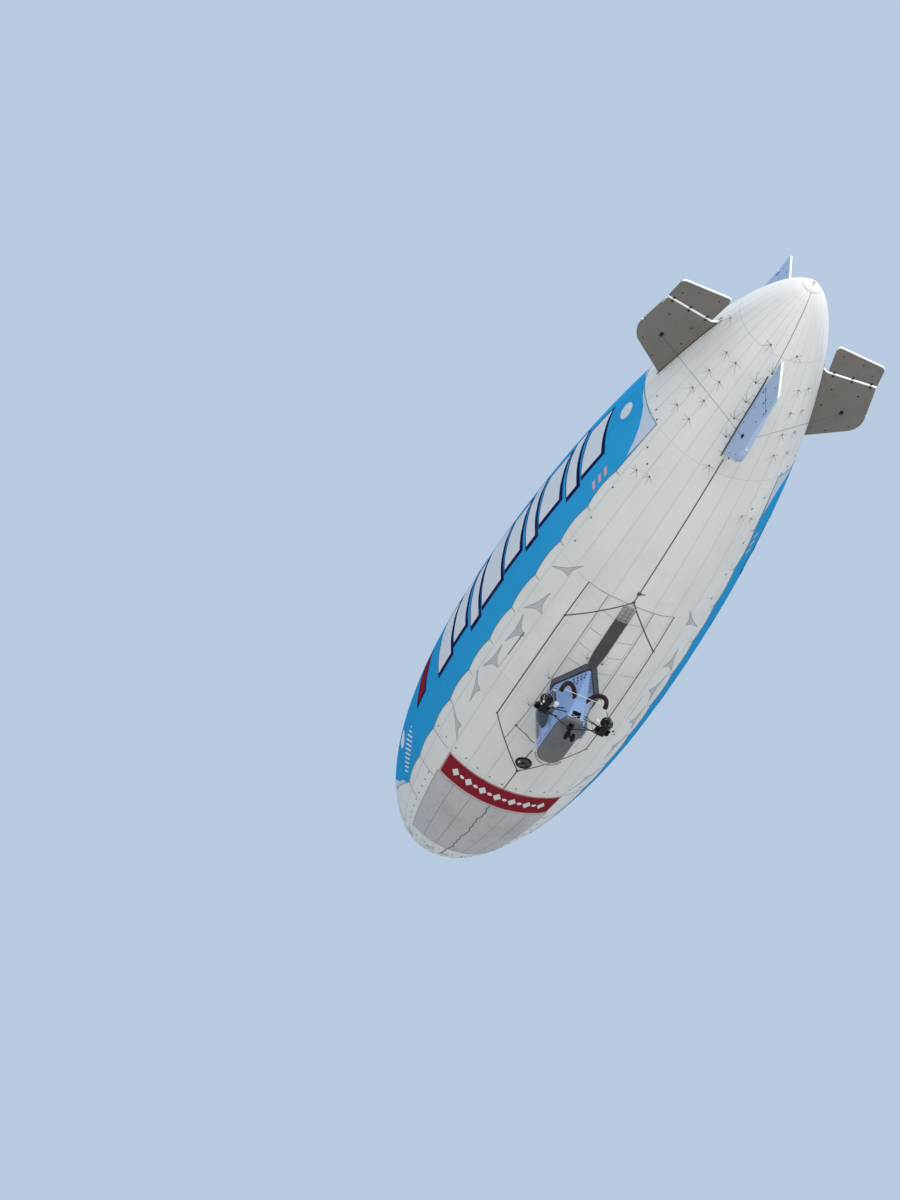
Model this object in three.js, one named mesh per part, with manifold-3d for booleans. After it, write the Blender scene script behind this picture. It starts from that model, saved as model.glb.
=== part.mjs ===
// Advertising blimp: a gas envelope with a four-fin tail, a five-seat gondola under its belly,
// two pusher engines on outriggers, cloth banners and a castering twin-wheel gear.
// Frame: millimetres, +X towards the nose, +Y to port, +Z up, origin on the envelope's axis.
import * as THREE from "three";
import { mergeVertices } from "three/addons/utils/BufferGeometryUtils.js";
import Module from "manifold-3d";

const wasm = await Module();
wasm.setup();

// Envelope
const LENGTH = 39000;
const RADIUS = 5000;
const NOSE_X = 17550;
const TAIL_X = NOSE_X - LENGTH;
const WIDEST = 0.387;
const NOSE_POWER = 2.183;
const TAIL_POWER = 1.973;
const TAIL_ROUND = 1.7556;
const SKIN = 10;
const SEGMENTS = 36;
const STATIONS = 26;
const NOSE_HOLE = 150;
const TAIL_HOLE = 120;
const SEAT = 0.3;

// Tail surfaces, in the plane of one fin: x along the hull, rho out from its axis
const FIN_THICK = 300;
const FIN_REAR_THICK = 150;
const FIN_EDGE = 40;
const HINGE_OUT = { x: -18090, rho: 4730 };
const HINGE_IN = { x: -17810, rho: 2650 };
const HINGE_GAP = 40;
const FLAP_GAP = 20;
const FLAP_THICK = 120;
const FLAP_TAIL_THICK = 90;
const FIN_FITTING = { x: -16250, rho: 4120 };

// Gondola
const PAN_Z = -7200;
const KEEL_Z = -7240;
const FLOOR_Z = -7140;
const CEILING_Z = -5060;
const PAN_HALF = 580;
const FLARE = 0.175;
const WALL = 40;
const BOW_X = 1300;
const QUARTER_X = -350;
const BULKHEAD_X = -500;
const FRONT_JOINT_X = 1330;
const BOW_POWER = 2.5;

// Power units
const ENGINE = { x: -680, y: 1430, z: -6830 };
const PROP = { x: -1290, z: -6760, radius: 780, hub: 75 };
const DRUM = { x: -1060, radius: 275, length: 200, bevel: 40, bore: 30 };

// Landing gear
const SWIVEL = { x: -500, z: -7540 };
const AXLE = { x: -580, z: -7870 };
const WHEEL = { y: 148, radius: 190, width: 140, rim: 85 };

// Reach of the blocks that only cut
const BIG = 9000;

const group = new THREE.Group();

// Materials
function finish(color, roughness, metalness = 0) {
  return new THREE.MeshStandardMaterial({ color, roughness, metalness });
}

const CLOTH = finish(0xd8d8d2, 0.55);
const FIN_CLOTH = finish(0xb9b7b0, 0.6);
const TEAL = finish(0x2f9cc0, 0.5);
const RED = finish(0xa02a35, 0.5);
const GREY_CLOTH = finish(0x9b9b9d, 0.6);
const PALE_BLUE = finish(0xa9c2ea, 0.35);
const PAN_GREY = finish(0x707075, 0.45);
const DUCT_CLOTH = finish(0x56504f, 0.8);
const HOSE = finish(0x4a1c22, 0.6);
const BLACK_METAL = finish(0x1b1c1e, 0.45, 0.5);
const STEEL = finish(0x8d9095, 0.35, 0.8);
const WHITE_METAL = finish(0xe3e5e6, 0.35, 0.2);
const RUBBER = finish(0x18181a, 0.9);
const GLASS = finish(0x5b6a78, 0.1);
const WOOD = finish(0x2a211b, 0.4);
const SEAT_CLOTH = finish(0x2b3038, 0.85);

// Geometry helpers

// Merged, outward-facing copy of a closed geometry
function closed(geometry) {
  const bare = geometry.clone();
  bare.deleteAttribute("normal");
  bare.deleteAttribute("uv");
  const merged = mergeVertices(bare, 0.001);
  const place = merged.getAttribute("position");
  const index = merged.getIndex();
  const kept = [];
  let volume = 0;
  const a = new THREE.Vector3();
  const b = new THREE.Vector3();
  const c = new THREE.Vector3();
  for (let i = 0; i < index.count; i += 3) {
    const corners = [index.getX(i), index.getX(i + 1), index.getX(i + 2)];
    if (new Set(corners).size < 3) continue;
    a.fromBufferAttribute(place, corners[0]);
    b.fromBufferAttribute(place, corners[1]);
    c.fromBufferAttribute(place, corners[2]);
    volume += a.dot(b.clone().cross(c));
    kept.push(corners);
  }
  const order = volume < 0 ? [0, 2, 1] : [0, 1, 2];
  merged.setIndex(kept.flatMap((corners) => order.map((k) => corners[k])));
  return merged;
}

function solid(geometry) {
  const body = closed(geometry);
  return new wasm.Manifold(new wasm.Mesh({
    numProp: 3,
    vertProperties: new Float32Array(body.getAttribute("position").array),
    triVerts: new Uint32Array(body.getIndex().array),
  }));
}

function geometryOf(body) {
  const mesh = body.getMesh();
  const geometry = new THREE.BufferGeometry();
  geometry.setAttribute("position", new THREE.BufferAttribute(new Float32Array(mesh.vertProperties), 3));
  geometry.setIndex(new THREE.BufferAttribute(new Uint32Array(mesh.triVerts), 1));
  return geometry;
}

function add(name, body, material) {
  const mesh = new THREE.Mesh(geometryOf(body), material);
  mesh.name = name;
  group.add(mesh);
}

function join(...bodies) {
  return bodies.reduce((all, body) => all.add(body));
}

function box(low, high) {
  const size = high.map((value, i) => value - low[i]);
  const geometry = new THREE.BoxGeometry(...size);
  geometry.translate(low[0] + size[0] / 2, low[1] + size[1] / 2, low[2] + size[2] / 2);
  return solid(geometry);
}

// Straight round bar between two points
function bar(from, to, radius, sides = 8) {
  const start = new THREE.Vector3(...from);
  const end = new THREE.Vector3(...to);
  const way = end.clone().sub(start);
  const geometry = new THREE.CylinderGeometry(radius, radius, way.length(), sides);
  geometry.applyQuaternion(new THREE.Quaternion().setFromUnitVectors(
    new THREE.Vector3(0, 1, 0), way.clone().normalize()));
  geometry.translate(...start.add(end).multiplyScalar(0.5).toArray());
  return solid(geometry);
}

// Body of revolution about a line along X through (y, z); the profile holds [x, radius] pairs
function turned(profile, y = 0, z = 0, sides = SEGMENTS) {
  const geometry = new THREE.LatheGeometry(profile.map(([x, r]) => new THREE.Vector2(r, x)), sides);
  geometry.rotateZ(-Math.PI / 2);
  geometry.translate(0, y, z);
  return solid(geometry);
}

// Closed skin over a row of rings that all have the same number of points
function loft(rings) {
  const count = rings[0].length;
  const points = rings.flat();
  const faces = [];
  for (let i = 0; i + 1 < rings.length; i += 1) {
    for (let j = 0; j < count; j += 1) {
      const a = i * count + j;
      const b = i * count + (j + 1) % count;
      faces.push(a, b, a + count, b, b + count, a + count);
    }
  }
  for (const end of [0, rings.length - 1]) {
    const centre = rings[end].reduce((sum, p) => sum.add(p), new THREE.Vector3()).divideScalar(count);
    const hub = points.push(centre) - 1;
    for (let j = 0; j < count; j += 1) {
      const edge = [end * count + j, end * count + (j + 1) % count];
      faces.push(hub, ...(end === 0 ? edge.reverse() : edge));
    }
  }
  const geometry = new THREE.BufferGeometry().setFromPoints(points);
  geometry.setIndex(faces);
  return geometry;
}

// Flat outline in two axes pushed through along the third: plane is "xy" or "xz"
function slab(outline, plane, from, to) {
  const shape = new THREE.Shape(outline.map(([u, v]) => new THREE.Vector2(u, v)));
  const geometry = new THREE.ExtrudeGeometry(shape, { depth: to - from, bevelEnabled: false });
  geometry.translate(0, 0, from);
  const swapYZ = new THREE.Matrix4().set(1, 0, 0, 0, 0, 0, 1, 0, 0, 1, 0, 0, 0, 0, 0, 1);
  if (plane === "xz") geometry.applyMatrix4(swapYZ);
  return solid(geometry);
}

function roundedOutline(low, high, radius, steps = 3) {
  const outline = [];
  const corners = [[high[0], high[1], 0], [low[0], high[1], 1], [low[0], low[1], 2], [high[0], low[1], 3]];
  for (const [u, v, quarter] of corners) {
    const cu = u === high[0] ? u - radius : u + radius;
    const cv = v === high[1] ? v - radius : v + radius;
    for (let i = 0; i <= steps; i += 1) {
      const angle = (quarter + i / steps) * Math.PI / 2;
      outline.push([cu + radius * Math.cos(angle), cv + radius * Math.sin(angle)]);
    }
  }
  return outline;
}

// Left and right copies of a body
function mirrored(body) {
  return body.mirror([0, 1, 0]);
}

// Envelope

function hullRadius(x) {
  const t = (NOSE_X - x) / LENGTH;
  if (t <= 0 || t >= 1) return 0;
  if (t < WIDEST) return RADIUS * Math.sqrt(1 - ((WIDEST - t) / WIDEST) ** NOSE_POWER);
  return RADIUS * (1 - ((t - WIDEST) / (1 - WIDEST)) ** TAIL_POWER) ** (1 / TAIL_ROUND);
}

// The x where the hull has a given radius, on the nose or on the tail
function stationOf(radius, onNose) {
  const middle = NOSE_X - WIDEST * LENGTH;
  let [small, large] = onNose ? [NOSE_X, middle] : [TAIL_X, middle];
  for (let i = 0; i < 60; i += 1) {
    const x = (small + large) / 2;
    if (hullRadius(x) < radius) small = x;
    else large = x;
  }
  return small;
}

// Stations close up towards the blunt ends, where the profile turns fastest
const hullProfile = [];
const FIRST_X = stationOf(NOSE_HOLE, true);
const LAST_X = stationOf(TAIL_HOLE, false);
for (let i = 0; i <= STATIONS; i += 1) {
  const share = (1 - Math.cos(Math.PI * i / STATIONS)) / 2;
  const x = FIRST_X + (LAST_X - FIRST_X) * share;
  hullProfile.push([x, hullRadius(x)]);
}

// The profile moved outwards along its own normal; it runs from the nose to the tail
function offsetProfile(distance) {
  return hullProfile.map(([x, r], i) => {
    const [x0, r0] = hullProfile[Math.max(i - 1, 0)];
    const [x1, r1] = hullProfile[Math.min(i + 1, STATIONS)];
    const run = Math.hypot(x1 - x0, r1 - r0);
    return [x + distance * (r1 - r0) / run, r + distance * (x0 - x1) / run];
  });
}

function hullShell(inner, outer) {
  const profile = [...offsetProfile(outer), ...offsetProfile(inner).reverse()];
  return turned([...profile, profile[0]]);
}

function hullSolid(distance) {
  const profile = offsetProfile(distance);
  return turned([[profile[0][0], 0], ...profile, [profile.at(-1)[0], 0]]);
}

const hullCutter = hullSolid(SEAT);
add("envelope", hullShell(-SKIN, 0), CLOTH);

// Nose cone with its mooring spindle, and the tail cap; profiles hold [x, radius] pairs
const NOSE_DISH = { radius: 900, thick: 25 };
const TAIL_DISH = { radius: 420, thick: 14 };
const DISH_DEPTH = 400;
const SPINDLE_PROFILE = [[-60, 0], [-60, 130], [90, 130], [110, 85], [260, 85], [260, 0]];
const KNOB_PROFILE = [[40, 0], [40, 60], [-130, 42], [-130, 0]];

function dish(onNose, { radius, thick }) {
  const rows = hullProfile.filter(([x, r]) => (onNose ? x > 0 : x < 0) && r < radius);
  const edgeX = stationOf(radius, onNose);
  const outline = [...rows, [edgeX, radius]].sort((p, q) => p[1] - q[1]);
  const side = onNose ? 1 : -1;
  const front = [[outline[0][0], 0], ...outline].map(([x, r]) => [x + side * thick, r]);
  const backX = edgeX - side * DISH_DEPTH;
  return turned([...front, [backX, radius], [backX, 0]]).subtract(hullCutter);
}

const spindle = turned(SPINDLE_PROFILE.map(([x, r]) => [NOSE_X + x, r]), 0, 0, 18);
const tailKnob = turned(KNOB_PROFILE.map(([x, r]) => [TAIL_X + x, r]), 0, 0, 12);
add("nose_cone", dish(true, NOSE_DISH).add(spindle), WHITE_METAL);
add("tail_cap", dish(false, TAIL_DISH).add(tailKnob), WHITE_METAL);

// Tail: one fin and one flap are shaped in the plane of +Y, then turned about the hull's axis

const hingeWay = new THREE.Vector2(HINGE_OUT.x - HINGE_IN.x, HINGE_OUT.rho - HINGE_IN.rho).normalize();

// Point at a share of the hinge line, moved forward (+) or aft (-) across it
function byHinge(along, across) {
  const base = new THREE.Vector2(HINGE_IN.x, HINGE_IN.rho).addScaledVector(hingeWay, along);
  return [base.x + hingeWay.y * across, base.y - hingeWay.x * across];
}

const HINGE_LENGTH = Math.hypot(HINGE_OUT.x - HINGE_IN.x, HINGE_OUT.rho - HINGE_IN.rho);

function arcCorner(before, corner, after, radius, steps = 4) {
  const p = new THREE.Vector2(...corner);
  const toStart = new THREE.Vector2(...before).sub(p).normalize().multiplyScalar(radius);
  const toEnd = new THREE.Vector2(...after).sub(p).normalize().multiplyScalar(radius);
  const curve = new THREE.QuadraticBezierCurve(p.clone().add(toStart), p, p.clone().add(toEnd));
  return curve.getPoints(steps).map((q) => [q.x, q.y]);
}

// Flat board with chamfered long edges, its thickness a function of x. It is drawn with four levels at
// -1, -0.5, 0.5 and 1: the outer two become the faces and the inner two the edges of the chamfer.
const BOARD_LEVEL = { inner: 0.5, outer: 1 };

function board(outline, thickAt, edge) {
  const shape = new THREE.Shape(outline.map(([u, v]) => new THREE.Vector2(u, v)));
  const geometry = new THREE.ExtrudeGeometry(shape, {
    depth: 2 * BOARD_LEVEL.inner,
    bevelEnabled: true,
    bevelThickness: BOARD_LEVEL.outer - BOARD_LEVEL.inner,
    bevelSize: edge,
    bevelOffset: -edge,
    bevelSegments: 1,
  });
  const place = geometry.getAttribute("position");
  for (let i = 0; i < place.count; i += 1) {
    const level = place.getZ(i) - BOARD_LEVEL.inner;
    place.setZ(i, level * thickAt(place.getX(i)) / 2);
  }
  return solid(geometry);
}

const FIN_ROOT_FRONT = [-14390, 3360];
const FIN_TIP_FRONT = [-15830, 5240];
const FIN_ROOT_REAR = [-18150, 1750];
const FIN_INSIDE = [-14250, 2300];
const FIN_TIP_ROUND = 620;
const finOutline = [
  FIN_INSIDE,
  FIN_ROOT_FRONT,
  ...arcCorner(FIN_ROOT_FRONT, FIN_TIP_FRONT, [HINGE_OUT.x, HINGE_OUT.rho], FIN_TIP_ROUND),
  byHinge(HINGE_LENGTH, HINGE_GAP),
  byHinge(0, HINGE_GAP),
  FIN_ROOT_REAR,
];

// Full thickness is reached at this share of the way from the hinge to the front of the root
const FIN_FULL_AT = 0.625;

function finThickness(x) {
  const share = THREE.MathUtils.clamp((x - HINGE_IN.x) / (FIN_ROOT_FRONT[0] - HINGE_IN.x), 0, 1);
  return FIN_REAR_THICK + (FIN_THICK - FIN_REAR_THICK) * Math.min(1, share / FIN_FULL_AT);
}

const FLAP_REAR_OUT = [-19120, 4570];
const FLAP_REAR_IN = [-19180, 2360];
const FLAP_ROUND = { out: 180, in: 240 };
const flapOutline = [
  byHinge(0, -FLAP_GAP),
  byHinge(HINGE_LENGTH, -FLAP_GAP),
  ...arcCorner([HINGE_OUT.x, HINGE_OUT.rho], FLAP_REAR_OUT, FLAP_REAR_IN, FLAP_ROUND.out),
  ...arcCorner(FLAP_REAR_OUT, FLAP_REAR_IN, [HINGE_IN.x, HINGE_IN.rho], FLAP_ROUND.in),
];

function flapThickness(x) {
  const share = THREE.MathUtils.clamp((HINGE_IN.x - x) / (HINGE_IN.x - FLAP_REAR_IN[0]), 0, 1);
  return FLAP_THICK + (FLAP_TAIL_THICK - FLAP_THICK) * share;
}

// Hinge: two ears on the fin hold one tongue of the flap at three places along the line
const HINGE_PLACES = [0.12, 0.5, 0.88];
const EAR = { half: 12, past: 12, inner: 15.5, outer: 40 };
const TONGUE = { half: 10, past: 10, width: 15 };
const HINGE_SUNK = 60;

function hingeBlock(place, low, high, front, rear, half) {
  const centre = place * HINGE_LENGTH;
  const outline = [byHinge(centre + low, front), byHinge(centre + high, front),
    byHinge(centre + high, rear), byHinge(centre + low, rear)];
  return slab(outline, "xy", -half, half);
}

let finBody = board(finOutline, finThickness, FIN_EDGE);
let flapBody = board(flapOutline, flapThickness, FIN_EDGE);
for (const place of HINGE_PLACES) {
  finBody = join(finBody,
    hingeBlock(place, EAR.inner, EAR.outer, HINGE_GAP + HINGE_SUNK, -EAR.past, EAR.half),
    hingeBlock(place, -EAR.outer, -EAR.inner, HINGE_GAP + HINGE_SUNK, -EAR.past, EAR.half));
  flapBody = join(flapBody,
    hingeBlock(place, -TONGUE.width, TONGUE.width, TONGUE.past, -FLAP_GAP - HINGE_SUNK, TONGUE.half));
}
// Block right through the fin where the brace wires are shackled, proud on each face
const FITTING = { long: 60, wide: 45, height: 60 };
const fittingReach = finThickness(FIN_FITTING.x) / 2 + FITTING.height;
finBody = finBody.add(box(
  [FIN_FITTING.x - FITTING.long, FIN_FITTING.rho - FITTING.wide, -fittingReach],
  [FIN_FITTING.x + FITTING.long, FIN_FITTING.rho + FITTING.wide, fittingReach]));
finBody = finBody.subtract(hullCutter);

// Columns: fin's name, flap's name, quarter turns about the hull's axis from port
const TAIL_SURFACES = [
  { fin: "fin_port", flap: "elevator_port", quarters: 0 },
  { fin: "fin_top", flap: "rudder_top", quarters: 1 },
  { fin: "fin_starboard", flap: "elevator_starboard", quarters: 2 },
  { fin: "fin_bottom", flap: "rudder_bottom", quarters: 3 },
];
for (const { fin, flap, quarters } of TAIL_SURFACES) {
  const turn = [quarters * 90, 0, 0];
  add(fin, finBody.rotate(turn), FIN_CLOTH);
  add(flap, flapBody.rotate(turn), FIN_CLOTH);
}

// Brace wires join the fittings of neighbouring fins, each end cut flat on its fitting
const BRACE = { radius: 9, past: 30, room: 200 };
const fittingFace = finThickness(FIN_FITTING.x) / 2 + FITTING.height + SEAT;
const braceCut = box(
  [FIN_FITTING.x - BRACE.room, FIN_FITTING.rho - BRACE.room, 0],
  [FIN_FITTING.x + BRACE.room, FIN_FITTING.rho + BRACE.room, fittingFace]);
const braceNear = fittingFace - BRACE.past;
const braceFar = FIN_FITTING.rho + BRACE.past;
const braceEnds = [[FIN_FITTING.x, braceFar, braceNear], [FIN_FITTING.x, braceNear, braceFar]];
const brace = bar(...braceEnds, BRACE.radius, 6)
  .subtract(braceCut)
  .subtract(braceCut.rotate([90, 0, 0]).mirror([0, 1, 0]));
const BRACES = ["brace_top_port", "brace_top_starboard", "brace_bottom_starboard", "brace_bottom_port"];
BRACES.forEach((name, quarters) => add(name, brace.rotate([quarters * 90, 0, 0]), STEEL));

// Cloth banners, each a thin sheet that follows the envelope
const BANNER = { inner: 1, outer: 7 };
const bannerSkin = hullShell(BANNER.inner, BANNER.outer);
const radians = THREE.MathUtils.degToRad;

// Side banner: laced at even ties, its edge drawn in a little between them
const TIE_FIRST_X = -10660;
const TIE_PITCH = 2240;
const TIE_COUNT = 11;
const TIE_ANGLE = 52;
const SCALLOP_ANGLE = 54;
const sideEdge = [];
for (let i = 0; i < TIE_COUNT; i += 1) {
  const x = TIE_FIRST_X + i * TIE_PITCH;
  sideEdge.push([x, -hullRadius(x) * Math.cos(radians(TIE_ANGLE))]);
  if (i + 1 < TIE_COUNT) {
    const between = x + TIE_PITCH / 2;
    sideEdge.push([between, -hullRadius(between) * Math.cos(radians(SCALLOP_ANGLE))]);
  }
}
const BANNER_STERN = [[-13550, 1100], [-13550, -2200]];
const BANNER_BOW = [[14100, -1100], [14100, 1100]];
const sideOutline = [
  ...sideEdge,
  ...BANNER_BOW,
  ...sideEdge.map(([x, z]) => [x, -z]).reverse(),
  [BANNER_STERN[1][0], -BANNER_STERN[1][1]],
  BANNER_STERN[1],
];
const sideBanner = bannerSkin.intersect(slab(sideOutline, "xz", 0, RADIUS + 100));
add("side_banner_port", sideBanner, TEAL);
add("side_banner_starboard", mirrored(sideBanner), TEAL);

// Belly banner and nose panel: patches of equal angle either side of the keel line
const BELLY_BANNER = { rear: 7300, front: 8850, angle: 36, steps: 2 };
const NOSE_PANEL = { rear: 8900, front: 14350, angle: 37, steps: 4 };

function bellyPatch({ rear, front, angle, steps }) {
  const edge = [];
  for (let i = 0; i <= steps; i += 1) {
    const x = rear + (front - rear) * i / steps;
    edge.push([x, hullRadius(x) * Math.sin(radians(angle))]);
  }
  const outline = [...edge, ...edge.map(([x, y]) => [x, -y]).reverse()];
  return bannerSkin.intersect(slab(outline, "xy", -RADIUS - 100, 0));
}

add("belly_banner", bellyPatch(BELLY_BANNER), RED);
add("nose_panel", bellyPatch(NOSE_PANEL), GREY_CLOTH);

// Round air valve ahead of the gondola: a bevelled drum that stands down from the belly
const VALVE = { x: 5050, radius: 375, lip: 20, bevel: 40, drop: 70, sunk: 200, sides: 20 };
const valveProfile = [
  [0, -VALVE.sunk], [VALVE.radius, -VALVE.sunk], [VALVE.radius, VALVE.lip],
  [VALVE.radius - VALVE.bevel, VALVE.drop], [0, VALVE.drop],
];
const valveGeometry = new THREE.LatheGeometry(
  valveProfile.map(([r, h]) => new THREE.Vector2(r, h)), VALVE.sides);
valveGeometry.rotateX(-Math.PI / 2);
valveGeometry.translate(VALVE.x, 0, -hullRadius(VALVE.x));
add("air_valve", solid(valveGeometry).subtract(hullCutter), BLACK_METAL);

// Gondola

function wallHalf(z) {
  return PAN_HALF + (z - PAN_Z) * FLARE;
}

// Plan outlines from the keel up; columns: height, bow tip x, stern tip x, stern half width, side inset
const LEVELS = [
  { z: KEEL_Z, bow: 2040, stern: -850, sternHalf: 330, inset: 70 },
  { z: PAN_Z, bow: 2130, stern: -950, sternHalf: 380, inset: 0 },
  { z: -6900, bow: 2260, stern: -1120, sternHalf: 330, inset: 0 },
  { z: -6400, bow: 2380, stern: -1370, sternHalf: 240, inset: 0 },
  { z: -5700, bow: 2400, stern: -1700, sternHalf: 130, inset: 0 },
  { z: -5200, bow: 2300, stern: -1900, sternHalf: 70, inset: 0 },
  { z: -4750, bow: 2120, stern: -2080, sternHalf: 30, inset: 0 },
];
const BOW_STEPS = 6;
const STERN_LEAST = 10;

function planRing({ z, bow, stern, sternHalf, inset }, skin) {
  const half = wallHalf(z) - inset - skin;
  const reach = bow - skin - BOW_X;
  const edge = [];
  for (let i = 0; i <= BOW_STEPS; i += 1) {
    const angle = i / BOW_STEPS * Math.PI / 2;
    const ahead = Math.cos(angle) ** (2 / BOW_POWER);
    const out = Math.sin(angle) ** (2 / BOW_POWER);
    edge.push([BOW_X + reach * ahead, half * out]);
  }
  edge.push([QUARTER_X, half], [stern + skin, Math.max(sternHalf - skin / 2, STERN_LEAST)]);
  const other = edge.slice(1).map(([x, y]) => [x, -y]).reverse();
  return [...edge, ...other].map(([x, y]) => new THREE.Vector3(x, y, z));
}

// The port half is mirrored, so that both sides have the same facets
function bothSides(body) {
  const half = body.intersect(box([-BIG, 0, -BIG], [BIG, BIG, BIG]));
  return half.add(mirrored(half));
}

function pod(skin) {
  return bothSides(solid(loft(LEVELS.map((level) => planRing(level, skin)))));
}

const podOuter = pod(0);
const podInner = pod(WALL);
const podGrown = pod(-SEAT);
const roomSlab = box([BULKHEAD_X, -BIG, FLOOR_Z + SEAT], [BIG, BIG, CEILING_Z - SEAT]);
const walls = podOuter.subtract(podInner).intersect(roomSlab).subtract(hullCutter);

const floorSlab = box([-BIG, -BIG, -BIG], [BIG, BIG, FLOOR_Z]);
const roofSlab = box([BULKHEAD_X, -BIG, CEILING_Z], [BIG, BIG, 0]);
add("gondola_floor", podOuter.intersect(floorSlab), PAN_GREY);
add("gondola_roof", podOuter.intersect(roofSlab).subtract(hullCutter), PALE_BLUE);

// Bow with the wrap-around windscreen
const SCREEN = { x: 1430, low: -6550, high: -5250, thick: 8, inset: 12 };
const screenHole = box([SCREEN.x, -BIG, SCREEN.low], [BIG, BIG, SCREEN.high]);
const screenFill = box([SCREEN.x + SEAT, -BIG, SCREEN.low + SEAT], [BIG, BIG, SCREEN.high - SEAT]);
const screenShell = pod(SCREEN.inset).subtract(pod(SCREEN.inset + SCREEN.thick));
const bowWalls = walls.intersect(box([FRONT_JOINT_X + SEAT, -BIG, -BIG], [BIG, BIG, 0]));
add("gondola_bow", bowWalls.subtract(screenHole), PALE_BLUE);
add("windscreen", screenShell.intersect(screenFill), GLASS);

// Side wall, door and windows lie in one flared plane: u runs along X, v up the wall, n outwards
const wallTilt = THREE.MathUtils.radToDeg(Math.atan(FLARE));

function onWall(body) {
  return body.rotate([-wallTilt, 0, 0]).translate([0, wallHalf(PAN_Z), PAN_Z]);
}

// A cut right through the wall with an outline in u and v
const WALL_REACH = 300;
function wallCut(outline) {
  return onWall(slab(outline, "xz", -WALL_REACH, WALL_REACH));
}

const DOOR = { low: [320, 190], high: [1257, 1990], radius: 90, gap: 6 };
const DOOR_WINDOW = { low: [380, 760], high: [1197, 1930], radius: 320 };
const REAR_WINDOW = { low: [-400, 880], high: [220, 1780], radius: 160 };
const BUBBLE = { bulge: 380, rim: -28, thick: 8 };
const REAR_PANE = { bulge: 40, rim: -28, thick: 8 };

function grown(area, by) {
  const low = area.low.map((value) => value - by);
  const high = area.high.map((value) => value + by);
  return roundedOutline(low, high, area.radius + by);
}

// Blown window: rings of the outline shrink as they rise to the crown
const BLOW_RINGS = [1, 0.92, 0.74, 0.42];

function blownPane(area, { bulge, rim, thick }) {
  const outline = grown(area, -SEAT);
  const middle = [(area.low[0] + area.high[0]) / 2, (area.low[1] + area.high[1]) / 2];
  const half = (area.high[0] - area.low[0]) / 2;
  const face = (shrink, height) => BLOW_RINGS.map((share) => outline.map(([u, v]) => new THREE.Vector3(
    middle[0] + (u - middle[0]) * share * shrink,
    rim + height * Math.sqrt(1 - share * share),
    middle[1] + (v - middle[1]) * share * shrink)));
  const outer = face(1, bulge - rim);
  const inner = face(1 - thick / half, bulge - rim - thick);
  return onWall(solid(loft([...inner.reverse(), ...outer])));
}

const sideWalls = walls.intersect(box([BULKHEAD_X, 0, -BIG], [FRONT_JOINT_X, BIG, 0]));
const doorHole = wallCut(grown(DOOR, DOOR.gap / 2));
const doorBlank = wallCut(grown(DOOR, -DOOR.gap / 2));
const doorWindowHole = wallCut(grown(DOOR_WINDOW, 0));
const rearWindowHole = wallCut(grown(REAR_WINDOW, 0));

// Hinge knuckles stand just proud of the wall on the door's front edge
const DOOR_HINGES = [420, 1700];
const KNUCKLE = { n: 11, radius: 8, length: 60, gap: 0.5, leaf: 45, plate: 5, root: 10 };
const hingeU = DOOR.high[0];

// Side +1 is the wall's knuckle with its leaf ahead of the pin, -1 the door's with its leaf behind
function knuckle(v, side) {
  const low = side > 0 ? v : v - KNUCKLE.length - KNUCKLE.gap;
  const high = low + KNUCKLE.length;
  const back = KNUCKLE.n - KNUCKLE.radius;
  const block = (from, to, n0, n1) => box(
    [hingeU + Math.min(side * from, side * to), n0, low],
    [hingeU + Math.max(side * from, side * to), n1, high]);
  const pin = bar([hingeU, KNUCKLE.n, low], [hingeU, KNUCKLE.n, high], KNUCKLE.radius, 12);
  const leaf = block(0, KNUCKLE.leaf, back, back + KNUCKLE.plate);
  const pad = block(KNUCKLE.radius, KNUCKLE.leaf, -KNUCKLE.root, back + 1);
  return onWall(join(pin, leaf, pad));
}

let sideBody = sideWalls.subtract(doorHole).subtract(rearWindowHole);
let doorBody = sideWalls.intersect(doorBlank).subtract(doorWindowHole);
for (const v of DOOR_HINGES) {
  sideBody = sideBody.add(knuckle(v, 1));
  doorBody = doorBody.add(knuckle(v, -1));
}
const doorPane = blownPane(DOOR_WINDOW, BUBBLE);
const rearPane = blownPane(REAR_WINDOW, REAR_PANE);

// Rear fairing: one closed tapering block behind the bulkhead, with the open bay above the pan
const BAY = { front: -760, half: 190, low: FLOOR_Z + 20, high: -6860 };
const fairing = podOuter
  .intersect(box([-BIG, -BIG, FLOOR_Z + SEAT], [BULKHEAD_X - SEAT, BIG, 0]))
  .subtract(hullCutter)
  .subtract(box([-BIG, -BAY.half, BAY.low], [BAY.front, BAY.half, BAY.high]));
add("rear_fairing", fairing, PALE_BLUE);

// Skirt: cloth fillet that closes the joint between the rear fairing and the envelope
const SKIRT = { front: 150, low: -5030, high: -4750 };
const SKIRT_LAP = { front: 8, quarter: 8, stern: 8 };
const SKIRT_SPREAD = { front: 40, quarter: 185, stern: 430 };

function skirtRing(z, { front, quarter, stern }) {
  const level = LEVELS.at(-1);
  const half = wallHalf(level.z);
  const edge = [
    [SKIRT.front, half + front],
    [QUARTER_X, half + quarter],
    [level.stern - stern, level.sternHalf + stern / 2],
  ];
  const other = edge.map(([x, y]) => [x, -y]).reverse();
  return [...edge, ...other].map(([x, y]) => new THREE.Vector3(x, y, z));
}

const skirtRings = [skirtRing(SKIRT.low, SKIRT_LAP), skirtRing(SKIRT.high, SKIRT_SPREAD)];
const skirt = bothSides(solid(loft(skirtRings)))
  .subtract(podGrown)
  .subtract(hullCutter);

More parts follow.
